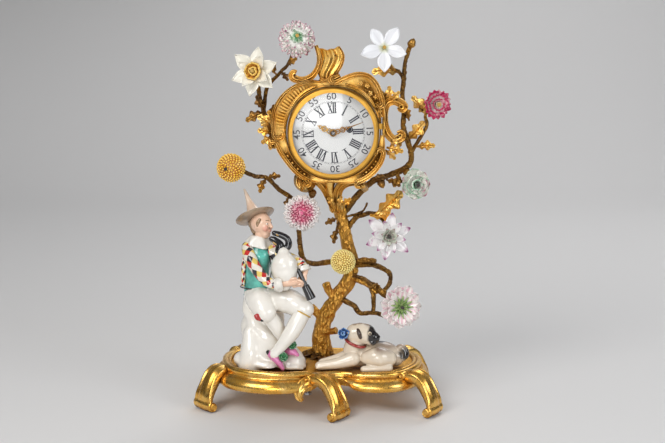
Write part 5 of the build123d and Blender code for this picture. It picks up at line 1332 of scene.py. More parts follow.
class CLOCK_OT_flowers(bpy.types.Operator):
    """Grows the ten porcelain flowers, petal by petal."""

    bl_idname = "clock.flowers"
    bl_label = "Flowers"

    def execute(self, context):
        self.counts = context.scene.clock_flowers
        for name in FLOWER_PLACES:
            getattr(self, name)()
        pins = Finish("flower_pin")
        height = pins.wire("ShaderNodeSeparateXYZ", None, {0: pins.place}, 2)
        colour = pins.blend(pins.noise(400.0), (0.02, 0.015, 0.015), (0.07, 0.05, 0.045))
        for low, high, enamel in ((0.12, 0.14, (0.8, 0.58, 0.18)), (0.166, 0.188, (0.6, 0.08, 0.2)),
                                  (0.25, 0.4, (0.5, 0.3, 0.06))):
            colour = pins.blend(height.above(low) * (1 - height.above(high)), colour, enamel)
        dress(pins.set(Base_Color=colour, Roughness=pins.noise(700.0) * 0.2 + 0.3), "flower_pins")
        return {"FINISHED"}

    def show(self, name, meshes, material, solid=True):
        mesh = joined(meshes, "flower_" + name)
        mesh.materials.append(material)
        if solid:
            mesh = settled(mesh, "flower_" + name, PETAL_SHEET)
        mesh.transform(flower_matrix(name))
        piece(name + "_bloom", mesh, material, replaces=("flower_" + name,))

    def narcissus(self):
        white, yellow, orange = (0.87, 0.84, 0.74), (0.92, 0.6, 0.13), (0.84, 0.3, 0.02)

        def enamel(f):
            outer = f.blend(f.fade("petal", 0.05, 0.5), (0.8, 0.62, 0.3), white)
            inner = f.blend(f.fade("petal", 0.3, 0.95), orange, yellow)
            return f.blend(f.fade("spread", 0.35, 0.6), inner, outer)

        material = petal_glaze("narcissus_enamel", enamel)
        long = petal_shape(21, 12.5, 1.1, 0.12, -0.08, 0.5, 0.03, 12, 9)
        cup = petal_shape(9.4, 7.4, 0.5, 0.24, 0.2, 0.75, 0.07)
        curl = petal_shape(6.4, 5.2, 0.5, 0.3, 0.3, 0.7, 0.09)
        self.show("narcissus", [*whorls(long, material, (6, 1.2, 1.0, 15, 22, 1.0, 1.0, 1),
                                        (4, 1.2, 2.6, 36, 60, 0.8, 0.9, 2)),
                                whorl(cup, material, 8, 1.6, 2.8, 36, 8, 1.0, 0.3, 3),
                                *whorls(curl, material, (7, 1.3, 3.6, 50, 20, 1.0, 0.15, 4),
                                        (5, 0.6, 4.4, 64, 10, 0.85, 0.0, 5),
                                        (4, 0.2, 4.8, 78, 0, 0.6, 0.0, 6))],
                  material)

    def posy(self):
        def enamel(f):
            tip = f.blend(f.spots(210.0, 0.5, 0.58), (0.8, 0.5, 0.56), (0.34, 0.05, 0.18))
            petal = f.blend(f.fade("petal", 0.62, 1.0), (0.84, 0.82, 0.78), tip)
            heart = f.blend(f.spots(400.0, 0.4, 0.6), (0.06, 0.26, 0.1), (0.5, 0.66, 0.46))
            return f.blend(f.fade("spread", 0.05, 0.15), heart, petal)

        material = petal_glaze("posy_enamel", enamel)
        floret = petal_shape(5.4, 3.6, 0.5, 0.25, 0.2, 0.7, 0.06, 6, 5)
        heart = cushion(11.5, 7.5, 5.5).mesh("heart")
        florets = dome(floret, material, self.counts.posy_petals, 10.8, 6.6, 1.2, 0.75, 1.0, 0.25, 3)
        self.show("posy", [heart, florets], material)

    def jasmine(self):
        def enamel(f):
            petal = f.blend(f.fade("petal", 0.0, 0.25), (0.56, 0.6, 0.36), (0.8, 0.81, 0.84))
            return f.blend(f.fade("side", 0.0, 0.2), f.blend(0.16, petal, (0.45, 0.46, 0.5)), petal)

        material = petal_glaze("jasmine_enamel", enamel, 0.2)
        petal = petal_shape(20.5, 12.0, 0.9, 0.08, 0.04, 0.56, 0.0, 12, 9)
        self.show("jasmine", [whorl(petal, material, 5, 0.8, 1.0, 9, 54, 1.0, 1.0, 2)], material)

    def aster(self):
        def enamel(f):
            petal = f.blend(f.fade("petal", 0.55, 0.8), (0.85, 0.72, 0.7), (0.52, 0.015, 0.1))
            petal = f.blend(f.spots(160.0, 0.55, 0.62), petal, (0.82, 0.4, 0.46))
            return f.blend(f.fade("spread", 0.3, 0.5), (0.82, 0.66, 0.4), petal)

        material = petal_glaze("aster_enamel", enamel)
        long = petal_shape(11.6, 4.4, 0.45, 0.2, 0.1, 0.7, 0.0, 8, 5)
        self.show("aster", [*whorls(long, material, (17, 1.6, 0.8, 8, 0, 1.0, 1.0, 1),
                                    (16, 1.4, 1.8, 24, 12, 0.86, 0.8, 2), (12, 1.0, 2.6, 42, 4, 0.62, 0.6, 3),
                                    (8, 0.5, 3.0, 62, 9, 0.42, 0.3, 4)), cushion(3, 3.4, 1).mesh("heart")],
                  material)

    def rose(self):
        def enamel(f):
            petal = f.blend(f.fade("petal", 0.1, 0.4), (0.12, 0.3, 0.14), (0.85, 0.85, 0.78))
            petal = f.blend(f.fade("side", 0.75, 1.0) * f.spots(90.0, 0.42, 0.55), petal, (0.24, 0.48, 0.3))
            petal = f.blend(f.fade("petal", 0.86, 1.0) * f.spots(70.0, 0.5, 0.6), petal, (0.56, 0.24, 0.3))
            return f.blend(f.fade("spread", 0.3, 0.5), (0.04, 0.12, 0.06), petal)

        material = petal_glaze("rose_enamel", enamel)
        broad = petal_shape(12.6, 11.5, 0.4, 0.2, 0.16, 0.7, 0.06, 9, 9)
        self.show("rose", [*whorls(broad, material, (7, 1.0, -1.5, 8, 0, 1.0, 1.0, 1),
                                   (6, 1.0, 0.6, 28, 20, 0.86, 0.8, 2), (5, 1.2, 2.0, 50, 40, 0.68, 0.7, 3),
                                   (4, 0.8, 3.0, 70, 10, 0.4, 0.35, 4)),
                           cushion(4, 3.0, 6).mesh("heart")], material)

    def tulip(self):
        def enamel(f):
            petal = f.blend(f.fade("petal", 0.76, 1.0), (0.84, 0.82, 0.82), (0.36, 0.07, 0.24))
            streak = f.spots(260.0, 0.55, 0.7) * f.fade("petal", 0.3, 0.9)
            petal = f.blend(streak, petal, (0.62, 0.36, 0.5))
            petal = f.blend(f.fade("petal", 0.0, 0.25), (0.5, 0.52, 0.26), petal)
            return f.blend(f.fade("spread", 0.55, 0.7), f.blend(0.4, petal, (0.4, 0.52, 0.26)), petal)

        material = petal_glaze("star_enamel", enamel)
        long = petal_shape(20.5, 10.0, 0.85, 0.16, 0.02, 0.5, 0.05, 11, 7)
        self.show("tulip", [*whorls(long, material, (6, 1.0, 0.4, 4, 20, 1.0, 1.0, 1),
                                    (6, 1.0, 1.8, 24, 48, 0.8, 0.8, 2), (7, 1.4, 2.8, 48, 8, 0.52, 0.5, 3),
                                    (6, 1.0, 3.4, 66, 30, 0.36, 0.4, 4)),
                            cushion(2.4, 4.4, 1).mesh("heart")], material)

    def anemone(self):
        def enamel(f):
            streak = (f.mark("side") * 8.0 + 0.6).wave().between(-0.2, 0.6) * f.fade("petal", 0.25, 0.6)
            petal = f.blend(streak * (1 - f.fade("petal", 0.85, 1.0)) * f.spots(150.0, 0.3, 0.7) * 0.8,
                            (0.87, 0.83, 0.79), (0.78, 0.4, 0.5))
            leaf = f.blend(f.spots(500.0, 0.4, 0.6), (0.12, 0.26, 0.05), (0.45, 0.56, 0.24))
            return f.blend(f.fade("spread", 0.3, 0.5), leaf, petal)

        material = petal_glaze("anemone_enamel", enamel)
        broad = petal_shape(18.8, 9.4, 0.42, 0.16, 0.02, 0.75, 0.06, 11, 7)
        spike = petal_shape(10.0, 2.2, 0.7, 0.3, -0.1, 0.4, 0.0, 7, 3)
        self.show("anemone", [*whorls(broad, material, (11, 1.0, 0.5, 8, 0, 1.0, 1.0, 1),
                                      (10, 1.0, 1.8, 20, 16, 0.82, 0.9, 2)),
                              *whorls(spike, material, (13, 1.0, 3.0, 22, 0, 1.0, 0.2, 3),
                                      (10, 0.8, 3.6, 46, 14, 0.7, 0.1, 4)),
                              cushion(2.6, 4.6, 1).mesh("heart")], material)

    def yellow(self, name, reach, depth, deep, pale):
        def enamel(f):
            bud = f.blend(f.fade("petal", 0.05, 0.65), deep, pale)
            return f.blend(f.spots(140.0, 0.35, 0.7), bud, f.blend(0.25, bud, (0.9, 0.7, 0.3)))

        material = petal_glaze(name + "_enamel", enamel, 0.3)
        around = 8
        profile = ((-0.4, 1.15), (0.3, 1.05), (1.0, 0.6), (1.4, 0.25))
        marks = {"petal": [[share] * around for share in (0.0, 0.1, 0.7, 1.0)]}
        bud = Shape().grid(lathe(profile, around), True, marks)
        bud.fan(3 * around, around, mm(1.5, 0, 0), False)
        heart = cushion(reach - 1.4, depth - 1.4, depth * 0.5).mesh("heart")
        buds = dome(bud, material, self.counts.ball_petals, reach - 1.3, depth - 1.3, 1.4, 1.02, 1.15, 0.0, 4)
        self.show(name, [heart, buds], material, False)

    def button(self):
        self.yellow("button", 11.0, 11.0, (0.56, 0.3, 0.03), (0.96, 0.83, 0.3))

    def ball(self):
        self.yellow("ball", 12.6, 12.4, (0.5, 0.16, 0.004), (0.96, 0.6, 0.05))

    def pompon(self):
        def enamel(f):
            petal = f.blend(f.fade("spread", 0.0, 0.42), (0.84, 0.3, 0.4), (0.9, 0.86, 0.84))
            pink = f.blend(f.fade("spread", 0.1, 0.75), (0.72, 0.12, 0.25), (0.88, 0.72, 0.74))
            return f.blend(f.fade("petal", 0.35, 0.85), pink, petal)

        material = petal_glaze("pompon_enamel", enamel)
        thin = petal_shape(5.4, 2.7, 0.42, 0.3, 0.16, 0.66, 0.0, 5, 4)
        heart = cushion(12.0, 5.5, 5.0).mesh("heart")
        petals = dome(thin, material, self.counts.pompon_petals, 10.8, 5.2, 1.08, 0.7, 1.0, 0.3, 6)
        self.show("pompon", [heart, petals], material)


# Figures


FIGURE_FOOT = mm(-45, -15.08, 36)
FIGURE_HEIGHT = 0.158


def on_figure(*shares):
    """Places on the piper, given in shares of the figure's height."""
    return [Vector(place) * FIGURE_HEIGHT + FIGURE_FOOT for place in shares]


def sized(*shares, scale=FIGURE_HEIGHT):
    """Lengths given in shares of a figure's size."""
    return [share * scale for share in shares]


def ball(centre, x, y, z, turn=None, rows=18, around=28):
    """An egg-shaped form in millimetres."""
    turn = turn or Matrix.Identity(3)
    grid = []
    for a in np.linspace(-pi / 2 + 0.12, pi / 2 - 0.12, rows):
        grid.append([Vector(centre) + turn @ mm(x * cos(a) * cos(t), y * cos(a) * sin(t), z * sin(a))
                     for t in np.linspace(0, 2 * pi, around, endpoint=False)])
    shape = Shape().grid(grid, True)
    shape.fan(0, around, Vector(centre) + turn @ mm(0, 0, -z), True)
    shape.fan((rows - 1) * around, around, Vector(centre) + turn @ mm(0, 0, z), False)
    return shape


def hoop(centre, axis, radius, thick, aside=None):
    """A ring of wire about an axis, in metres; aside is its second radius."""
    steps = 32
    axis = Vector(axis).normalized()
    side = Vector((1, 0, 0)) - axis * axis.x
    side.normalize()
    top = axis.cross(side)
    route = [Vector(centre) + side * cos(t) * radius + top * sin(t) * (aside or radius)
             for t in np.linspace(0, 2 * pi, steps + 1)]
    return tube(route, [thick] * (steps + 1), 10, 2, ends=(0, 0))


def tinted(mesh, colour_at):
    """Paints a mesh point by point, in the attribute that its glaze reads."""
    layer = mesh.color_attributes.new("tint", "FLOAT_COLOR", "POINT")
    layer.data.foreach_set("color", [number for vertex in mesh.vertices
                                     for number in (*np.clip(colour_at(vertex.co), 0, 1), 1.0)])
    return mesh


def painted(f):
    """The paint of a tinted mesh."""
    return f.paint("tint")


def near(point, place, reach):
    """How near a point is: 1 round a place, fading to 0 a little beyond its reach."""
    t = min(1.0, max(0.0, (1.3 - (Vector(point) - Vector(place)).length / reach) / 0.7))
    return t * t * (3 - 2 * t)


class CLOCK_OT_piper(bpy.types.Operator):
    """Models the seated musician in painted porcelain."""

    bl_idname = "clock.piper"
    bl_label = "Musician"

    def execute(self, context):
        paint = context.scene.clock_porcelain
        self.white = glaze("white_glaze", tuple(paint.white))
        # The second colour is the painted shade in the black's hollows.
        self.dark = glaze("black_enamel", (0.012, 0.011, 0.013), (0.004, 0.004, 0.004))
        self.flesh = glaze("flesh_enamel", tuple(paint.flesh), rough=0.2, gloss=0.3)
        self.gold = glaze("gold_enamel", (0.6, 0.38, 0.07))
        self.green = glaze("green_enamel", (0.05, 0.26, 0.1),
                           tint=mottled((0.04, 0.24, 0.09), (0.5, 0.66, 0.5), 520.0, 3.0, 0.52, 0.6))
        self.rock()
        self.legs()
        self.shoes(paint)
        self.jacket(paint)
        self.sleeves(paint)
        self.bagpipe()
        self.head(paint)
        self.hat(paint)
        return {"FINISHED"}

    def put(self, name, made, material, replaces=()):
        return piece("piper_" + name, made, material, replaces=replaces)

    def rock(self):
        shape = tube(on_figure((-0.012, -0.005, 0.006), (-0.02, 0, 0.06), (-0.03, 0.0, 0.12),
                               (-0.04, 0.01, 0.22), (-0.045, 0.012, 0.31), (-0.05, 0.012, 0.4)),
                     sized(0.182, 0.17, 0.142, 0.105, 0.082, 0.075), 44, 8,
                     sized(0.15, 0.148, 0.14, 0.125, 0.11, 0.1), gnarl(55, 0.1, 5), (0, 0.5))
        shape.add(tube(on_figure((0.11, -0.065, 0.004), (0.112, -0.06, 0.05), (0.105, -0.055, 0.1)),
                       sized(0.11, 0.098, 0.06), 28, 6, sized(0.09, 0.085, 0.05), gnarl(70, 0.1, 4), (0, 0.5)))
        shape.add(tube(on_figure((-0.11, -0.09, 0.01), (-0.1, -0.09, 0.1), (-0.11, -0.06, 0.2)),
                       sized(0.07, 0.065, 0.04), 24, 6))
        for place, size in (((-0.15, -0.06, 0.05), 9), ((0.02, -0.12, 0.06), 8), ((0.16, -0.04, 0.03), 7)):
            shape.add(ball(on_figure(place)[0], size, size, size * 0.8))
        self.put("rock", melted(shape, "rock", 0.0011, 8), self.white, ("piper_figure",))

    def legs(self):
        folds = gnarl(80, 0.05, 3)
        shape = tube(on_figure((-0.075, -0.02, 0.405), (-0.05, -0.085, 0.385), (-0.02, -0.135, 0.335)),
                     sized(0.07, 0.073, 0.06), 28, 6, swell=folds)
        shape.add(tube(on_figure((0.0, -0.03, 0.39), (0.11, -0.09, 0.388), (0.195, -0.13, 0.352)),
                       sized(0.072, 0.07, 0.054), 28, 6, swell=folds))
        shape.add(ball(on_figure((-0.05, -0.012, 0.405))[0], 15, 12, 9))
        self.put("breeches", melted(shape, "breeches", 0.0009, 5), self.white)
        stockings = Shape()
        for route, radii in ((((-0.01, -0.125, 0.325), (0.037, -0.115, 0.254), (0.09, -0.11, 0.16),
                               (0.112, -0.125, 0.125)),
                              (0.044, 0.042, 0.032, 0.028)),
                             (((0.19, -0.133, 0.345), (0.15, -0.152, 0.272), (0.113, -0.165, 0.214),
                               (0.06, -0.174, 0.145),
                               (0.03, -0.176, 0.108)), (0.046, 0.047, 0.043, 0.031, 0.03))):
            stockings.add(tube(on_figure(*route), sized(*radii), 24, 8))
        self.put("stockings", stockings, self.white)
        knee, calf = on_figure((0.183, -0.136, 0.332), (0.15, -0.152, 0.272))
        self.put("knee_band", hoop(knee, calf - knee, mm(7.7), mm(0.62)), self.gold)
        slant = Euler((0, 0.5, 0.25)).to_matrix()
        knee = on_figure((-0.055, -0.176, 0.318))[0]
        self.put("knee_patch", ball(knee, 4.6, 1.6, 3.0, slant), glaze("red_enamel", (0.42, 0.03, 0.03)))
        self.put("knee_patch_corner", ball(knee + slant @ mm(3.4, -0.5, -0.4), 2.0, 1.4, 2.0, slant), self.dark)

    def shoes(self, paint):
        shoes, heels, rosettes = Shape(), Shape(), []
        bow = petal_shape(4.0, 2.6, 0.5, 0.2, 0.1, 0.65, 0.08, 6, 5)
        for heel, toe, knot in (on_figure((0.012, -0.172, 0.105), (0.073, -0.192, 0.034),
                                          (0.078, -0.19, 0.095)),
                                on_figure((0.1, -0.14, 0.118), (0.152, -0.165, 0.104), (0.126, -0.16, 0.156))):
            way = (toe - heel).normalized()
            middle = (heel + toe) / 2 + mm(0.5, 0, 0.8)
            shoes.add(tube([heel, middle, toe], mms(3.7, 4.1, 2.5), 22, 6, aside=mms(3.4, 3.5, 1.9)))
            block = heel - way * mm(3.0) + mm(0, -0.4, -0.2)
            heels.add(tube([block, block - way * mm(1.2) + mm(-0.9, 0, -2.0)], mms(2.7, 2.2), 16, 3,
                           ends=(0.3, 0.1)))
            mesh = joined([*whorls(bow, self.green, (9, 0.4, 0, 12, 0, 1.0, 1.0, 1),
                                   (7, 0.3, 0.7, 40, 20, 0.75, 1, 2))], "rosette")
            mesh.transform(looking(knot, (0.2, -0.9, 0.4)))
            rosettes.append(mesh)
        self.put("shoes", shoes, glaze("pink_enamel", tuple(paint.shoe)))
        self.put("heels", heels, self.dark)
        self.put("rosettes", settled(joined(rosettes, "rosettes"), "rosettes", PETAL_SHEET), self.green)

    def jacket(self, paint):
        teal = tuple(paint.jacket)
        # times(teal, 0.4) is the painted shade in the jacket's hollows.
        cloth = glaze("turquoise_enamel", teal, times(teal, 0.4),
                      tint=mottled(times(teal, 0.62), [min(1, c * 1.45 + 0.03) for c in teal], 75.0, 4.0))
        torso = tube(on_figure((-0.07, 0.0, 0.42), (-0.074, 0.0, 0.45), (-0.072, -0.006, 0.52),
                               (-0.066, -0.012, 0.59), (-0.062, -0.012, 0.655), (-0.06, -0.014, 0.71)),
                     sized(0.076, 0.08, 0.078, 0.08, 0.08, 0.042), 40, 8,
                     sized(0.08, 0.072, 0.067, 0.069, 0.066, 0.04), gnarl(70, 0.04, 6), (0.1, 0.2))
        self.put("jacket", torso, cloth)
        trim = hoop(on_figure((-0.082, 0.0, 0.45))[0], (0.05, 0.04, 1), mm(13.4), mm(0.55), mm(11.7))
        opening = on_figure((0.006, -0.045, 0.43), (0.004, -0.048, 0.5), (0.01, -0.05, 0.57),
                            (0.0, -0.062, 0.64))
        trim.add(tube(opening, [mm(0.5)] * 4, 8, 6))
        self.put("jacket_trim", trim, self.dark)
        collar = []
        for level, size, high in ((0, 0.03, 0.75), (1, 0.036, 0.755), (2, 0.052, 0.742), (3, 0.068, 0.72),
                                  (4, 0.076, 0.702), (5, 0.073, 0.698), (6, 0.045, 0.71)):
            row = []
            for t in np.linspace(0, 2 * pi, 48, endpoint=False):
                corner = 1 + 0.1 * cos(6 * t + 0.5) * (2 < level < 6)
                fall = -0.022 * max(0.0, cos(t + 0.7)) * (level > 2)
                row.append((-0.061 + cos(t) * size * corner, -0.018 + sin(t) * size * 0.84 * corner,
                            high + fall))
            collar.append(on_figure(*row))
        made = settled(Shape().grid(collar, True), "collar", SUBDIVIDED)
        self.put("collar", outward(made), self.white)

    def lozenges(self, rows):
        """Motley: lozenges in five enamels, set along a sleeve by its own map."""
        f = Finish("lozenge_enamel")
        split = f.node("ShaderNodeSeparateXYZ", None, {0: f.wire("ShaderNodeUVMap", {"uv_map": "UVMap"})})
        along, turn = Wire(f, split.outputs[0]), Wire(f, split.outputs[1])
        first = (along * rows + turn * 5).whole()
        second = (along * rows - turn * 5).whole()
        pick = f.wire("ShaderNodeMath", {"operation": "FLOORED_MODULO"}, {0: first + second * 3 + 20, 1: 5.0})
        colour = f.steps(pick / 5 + 0.05, [(0.0, (0.03, 0.025, 0.035)), (0.2, (0.55, 0.025, 0.02)),
                                           (0.4, (0.85, 0.8, 0.7)),
                                           (0.6, (0.82, 0.6, 0.16)), (0.8, (0.8, 0.76, 0.68))])
        return f.set(Base_Color=colour, Roughness=f.noise(90.0) * 0.08 + 0.12, Coat_Weight=0.6,
                     Coat_Roughness=0.05)

    def sleeves(self, paint):
        motley = self.lozenges(paint.lozenges)
        sleeve = tube(on_figure((-0.122, -0.03, 0.69), (-0.116, -0.066, 0.66), (-0.094, -0.104, 0.618),
                                (-0.05, -0.138, 0.555),
                                (-0.008, -0.151, 0.515), (0.033, -0.158, 0.498)),
                      sized(0.033, 0.036, 0.034, 0.031, 0.029, 0.026),
                      28, 8, swell=gnarl(110, 0.05, 3), ends=(0.6, 0.1))
        self.put("near_sleeve", sleeve, motley)
        far = tube(on_figure((0.0, -0.02, 0.66), (0.1, -0.04, 0.62), (0.165, -0.085, 0.6),
                             (0.188, -0.113, 0.582)),
                   sized(0.042, 0.04, 0.034, 0.03), 24, 8, ends=(0.6, 0.1))
        self.put("far_sleeve", far, motley)
        edge = tube(on_figure((-0.138, -0.03, 0.64), (-0.146, -0.03, 0.56), (-0.15, -0.026, 0.47)),
                    sized(0.014, 0.015, 0.012), 16, 8, sized(0.01, 0.011, 0.01))
        self.put("jacket_edge", edge, motley)
        ruffle = gnarl(240, 0.13, 7)
        cuffs = tube(on_figure((0.03, -0.158, 0.498), (0.055, -0.158, 0.5), (0.075, -0.158, 0.503)),
                     sized(0.03, 0.044, 0.036), 28, 6, swell=ruffle, ends=(0.1, 0.1))
        cuffs.add(tube(on_figure((0.188, -0.112, 0.59), (0.196, -0.122, 0.568)), sized(0.034, 0.037), 24, 5,
                       swell=ruffle, ends=(0.1, 0.1)))
        self.put("cuffs", cuffs, self.white)
        wrist, far_wrist = on_figure((0.09, -0.158, 0.505), (0.197, -0.13, 0.557))
        hands = self.hand(wrist, Vector((0.97, -0.02, 0.05)), Vector((0, -0.5, 0.86)), 1.4)
        hands.add(self.hand(far_wrist, Vector((-0.45, -0.35, -0.8)), Vector((0.8, -0.5, -0.2)), 1.05))
        self.put("hands", melted(hands, "hands", 0.0005, 3), self.flesh)

    def hand(self, wrist, way, up, size):
        """A palm with fingers closed round a pipe."""
        way = way.normalized()
        side = way.cross(up).normalized()
        up = side.cross(way)
        unit = size * 0.001

        def at(ahead, high, aside=0.0):
            return wrist + (way * ahead + up * high + side * aside) * unit

        shape = tube([at(-2, 0), at(2, 0), at(5.5, 0)], [2.4 * unit, 3.2 * unit, 2.8 * unit], 16, 4,
                     aside=[2.0 * unit, 2.1 * unit, 1.7 * unit])
        for finger in range(4):
            high = 2.4 - 1.7 * finger
            reach = 11.4 - 0.5 * abs(finger - 1.2)
            shape.add(tube([at(5.2, high), at(8.6, high * 0.9, -0.2), at(reach, high * 0.8, 1.3)],
                           [1.05 * unit, 0.95 * unit, 0.75 * unit], 10, 3))
        shape.add(tube([at(1.8, 2), at(4.4, 3.7), at(7.0, 3.9)], [1.2 * unit, 1.05 * unit, 0.8 * unit], 10, 3))
        return shape

    def bagpipe(self):
        bag = tube(on_figure((0.083, -0.112, 0.5), (0.086, -0.118, 0.54), (0.084, -0.12, 0.585),
                             (0.083, -0.12, 0.625),
                             (0.08, -0.112, 0.668)), sized(0.048, 0.072, 0.077, 0.07, 0.034), 36, 8,
                   sized(0.045, 0.062, 0.066, 0.062, 0.034), gnarl(70, 0.04, 3))
        self.put("bag", bag, self.white)
        pipes = tube(on_figure((0.078, -0.107, 0.68), (0.106, -0.103, 0.705), (0.103, -0.1, 0.742),
                               (0.066, -0.097, 0.765),
                               (0.03, -0.094, 0.775)), sized(0.018, 0.02, 0.018, 0.017, 0.015), 20, 7)
        pipes.add(tube(on_figure((0.055, -0.105, 0.68), (0.06, -0.1, 0.708), (0.03, -0.092, 0.735),
                                 (0.014, -0.09, 0.742)),
                       sized(0.022, 0.024, 0.02, 0.015), 18, 6))
        pipes.add(tube(on_figure((0.165, -0.146, 0.575), (0.197, -0.158, 0.506), (0.206, -0.16, 0.485)),
                       sized(0.012, 0.013, 0.015), 16, 6))
        pipes.add(tube(on_figure((0.2, -0.159, 0.492), (0.218, -0.162, 0.455), (0.234, -0.165, 0.42)),
                       sized(0.021, 0.024, 0.027), 22, 5, ends=(0.2, 0.05)))
        self.put("pipes", pipes, self.dark)
        fringe = Shape()
        for place, size in (((0.08, -0.11, 0.672), 0.034), ((0.05, -0.094, 0.77), 0.022),
                            ((0.04, -0.096, 0.72), 0.026)):
            fringe.add(ball(on_figure(place)[0], size * 158, size * 140, size * 60,
                            Euler((0.2, 0.5, 0)).to_matrix(), 10, 20))
        self.put("pipe_rings", fringe, glaze("ring_gold_enamel", (0.5, 0.3, 0.1)))

    def head(self, paint):
        """A calm, even face of common proportions, turned a little to the right."""
        forward = Vector((0.86, -0.5, 0.03)).normalized()
        side = Vector((-0.15, 0.1, 1)).cross(forward).normalized()
        turn = Matrix((forward, side, forward.cross(side))).transposed()
        centre = on_figure((-0.044, -0.026, 0.812))[0]

        def at(x, y, z):
            return centre + turn @ mm(x, y, z)

        skull = ball(at(-0.6, 0, 1.4), 9.4, 8.2, 9.6, turn, 26, 36)
        skull.add(tube([at(1.6, 0, -2.2), at(3.9, 0, -7.8)], mms(7.0, 4.5), 24, 4))
        skull.add(ball(at(6.6, 0, -9.2), 1.9, 2.3, 1.8, turn))
        skull.add(tube([at(8.6, 0, 2.6), at(9.9, 0, -0.4), at(10.7, 0, -1.6)], mms(0.9, 1.2, 1.35), 14, 4))
        skull.add(ball(at(8.9, 0, -4.5), 1.2, 2.1, 0.6, turn))
        skull.add(ball(at(8.6, 0, -5.7), 1.2, 1.8, 0.75, turn))
        for hand in (-1, 1):
            skull.add(ball(at(5.9, 4.0 * hand, -2.5), 2.8, 2.5, 2.9, turn))
            skull.add(ball(at(9.7, 1.05 * hand, -1.9), 0.9, 0.75, 0.7, turn))
            skull.add(tube([at(8.3, 1.2 * hand, 3.5), at(7.4, 3.6 * hand, 3.7), at(5.6, 5.6 * hand, 2.9)],
                           [mm(0.8)] * 3, 10, 4))
            skull.add(ball(at(-0.6, 8.0 * hand, -0.8), 1.6, 1.0, 2.4, turn))
        skull.add(tube([at(-1, 0, -8), at(-2.5, 0, -15)], mms(5.0, 5.4), 20, 3))
        flesh = np.array(paint.flesh)

        def skin(point):
            local = turn.transposed() @ (point - centre) * 1000
            colour = flesh.copy()
            for y in (-4.4, 4.4):
                blush = 0.5 * near(local, (7, y, -2.8), 2.8)
                colour = colour * (1 - blush) + np.array((0.76, 0.22, 0.17)) * blush
            lips = exp(-((local.y / 1.9) ** 2 + ((local.z + 5.0) / 0.95) ** 2)) * (local.x > 6)
            return colour * (1 - lips) + np.array((0.56, 0.1, 0.09)) * lips

        mesh = tinted(melted(skull, "head", 0.0005, 5), skin)
        self.put("head", mesh, glaze("face_enamel", tuple(paint.flesh), rough=0.2, gloss=0.3, tint=painted))
        eyes, irises, hair = Shape(), Shape(), Shape()
        for hand in (-1, 1):
            eyes.add(ball(at(7.7, 2.9 * hand, 1.3), 0.9, 1.35, 0.75, turn, 10, 16))
            irises.add(ball(at(8.3, 2.95 * hand, 1.3), 0.42, 0.6, 0.66, turn, 8, 14))
            brow = [at(8.9, 1.4 * hand, 3.7), at(8.2, 3.2 * hand, 4.3), at(6.4, 5.2 * hand, 3.6)]
            hair.add(tube(brow, mms(0.26, 0.34, 0.18), 8, 4))
            hair.add(tube([at(2.6, 6.8 * hand, 5), at(1.4, 8.0 * hand, 2.4), at(0.6, 8.0 * hand, -0.6)],
                          mms(1.5, 1.4, 0.7), 14, 4, swell=gnarl(500, 0.16, 5)))
        hair.add(tube([at(-6, 0, 6), at(-9, 0, 0), at(-7.5, 0, -7)], mms(4.5, 4.0, 2.4), 22, 5,
                      swell=gnarl(500, 0.12, 7)))
        self.put("eyes", eyes, self.white)
        self.put("irises", irises, self.dark)
        self.put("hair", hair, glaze("hair_enamel", (0.3, 0.19, 0.1), tint=mottled(
            (0.2, 0.12, 0.06), (0.42, 0.29, 0.17), 700.0, 3.0, 0.4, 0.6)))

    def hat(self, paint):
        lean = Vector((-0.36, 0.55, 0.9)).normalized()
        x = (Vector((1, 0, 0)) - lean * lean.x).normalized()
        turn = Matrix((x, lean.cross(x), lean)).transposed()
        centre = on_figure((-0.078, -0.005, 0.848))[0]
        profile = ((0.4, -1.4), (9.5, -1.0), (13.5, -0.6), (17.2, 0.6), (18.0, 1.3), (17.4, 1.7), (13.0, 0.7),
                   (9.9, 0.9))
        rows = [[centre + turn @ mm(radius * cos(t), radius * sin(t),
                                    height + 0.02 * radius * sin(2 * t + 0.6) * (radius > 11))
                 for t in np.linspace(0, 2 * pi, 56, endpoint=False)] for radius, height in profile]
        brim = outward(settled(Shape().grid(rows, True), "brim", SUBDIVIDED))
        taupe = tuple(paint.brim)
        self.put("hat_brim", brim, glaze("taupe_enamel", taupe, tint=mottled(
            times(taupe, 0.75), times(taupe, 1.3), 110.0, 4.0)))
        tip = on_figure((-0.142, 0.06, 0.994))[0]
        base = centre + lean * mm(0.4)
        crown = tube([base, base + (tip - base) * 0.14, base + (tip - base) * 0.34, base + (tip - base) * 0.62,
                      tip],
                     mms(9.4, 7.0, 4.6, 2.5, 0.9), 36, 8, ends=(0, 0.8))
        self.put("hat_crown", crown, glaze("blush_enamel", (0.76, 0.6, 0.47), tint=mottled(
            (0.7, 0.5, 0.37), (0.82, 0.7, 0.58), 70.0)))


PUG_FOOT = mm(37.8, -25.52, 36)
PUG_LENGTH = 0.078


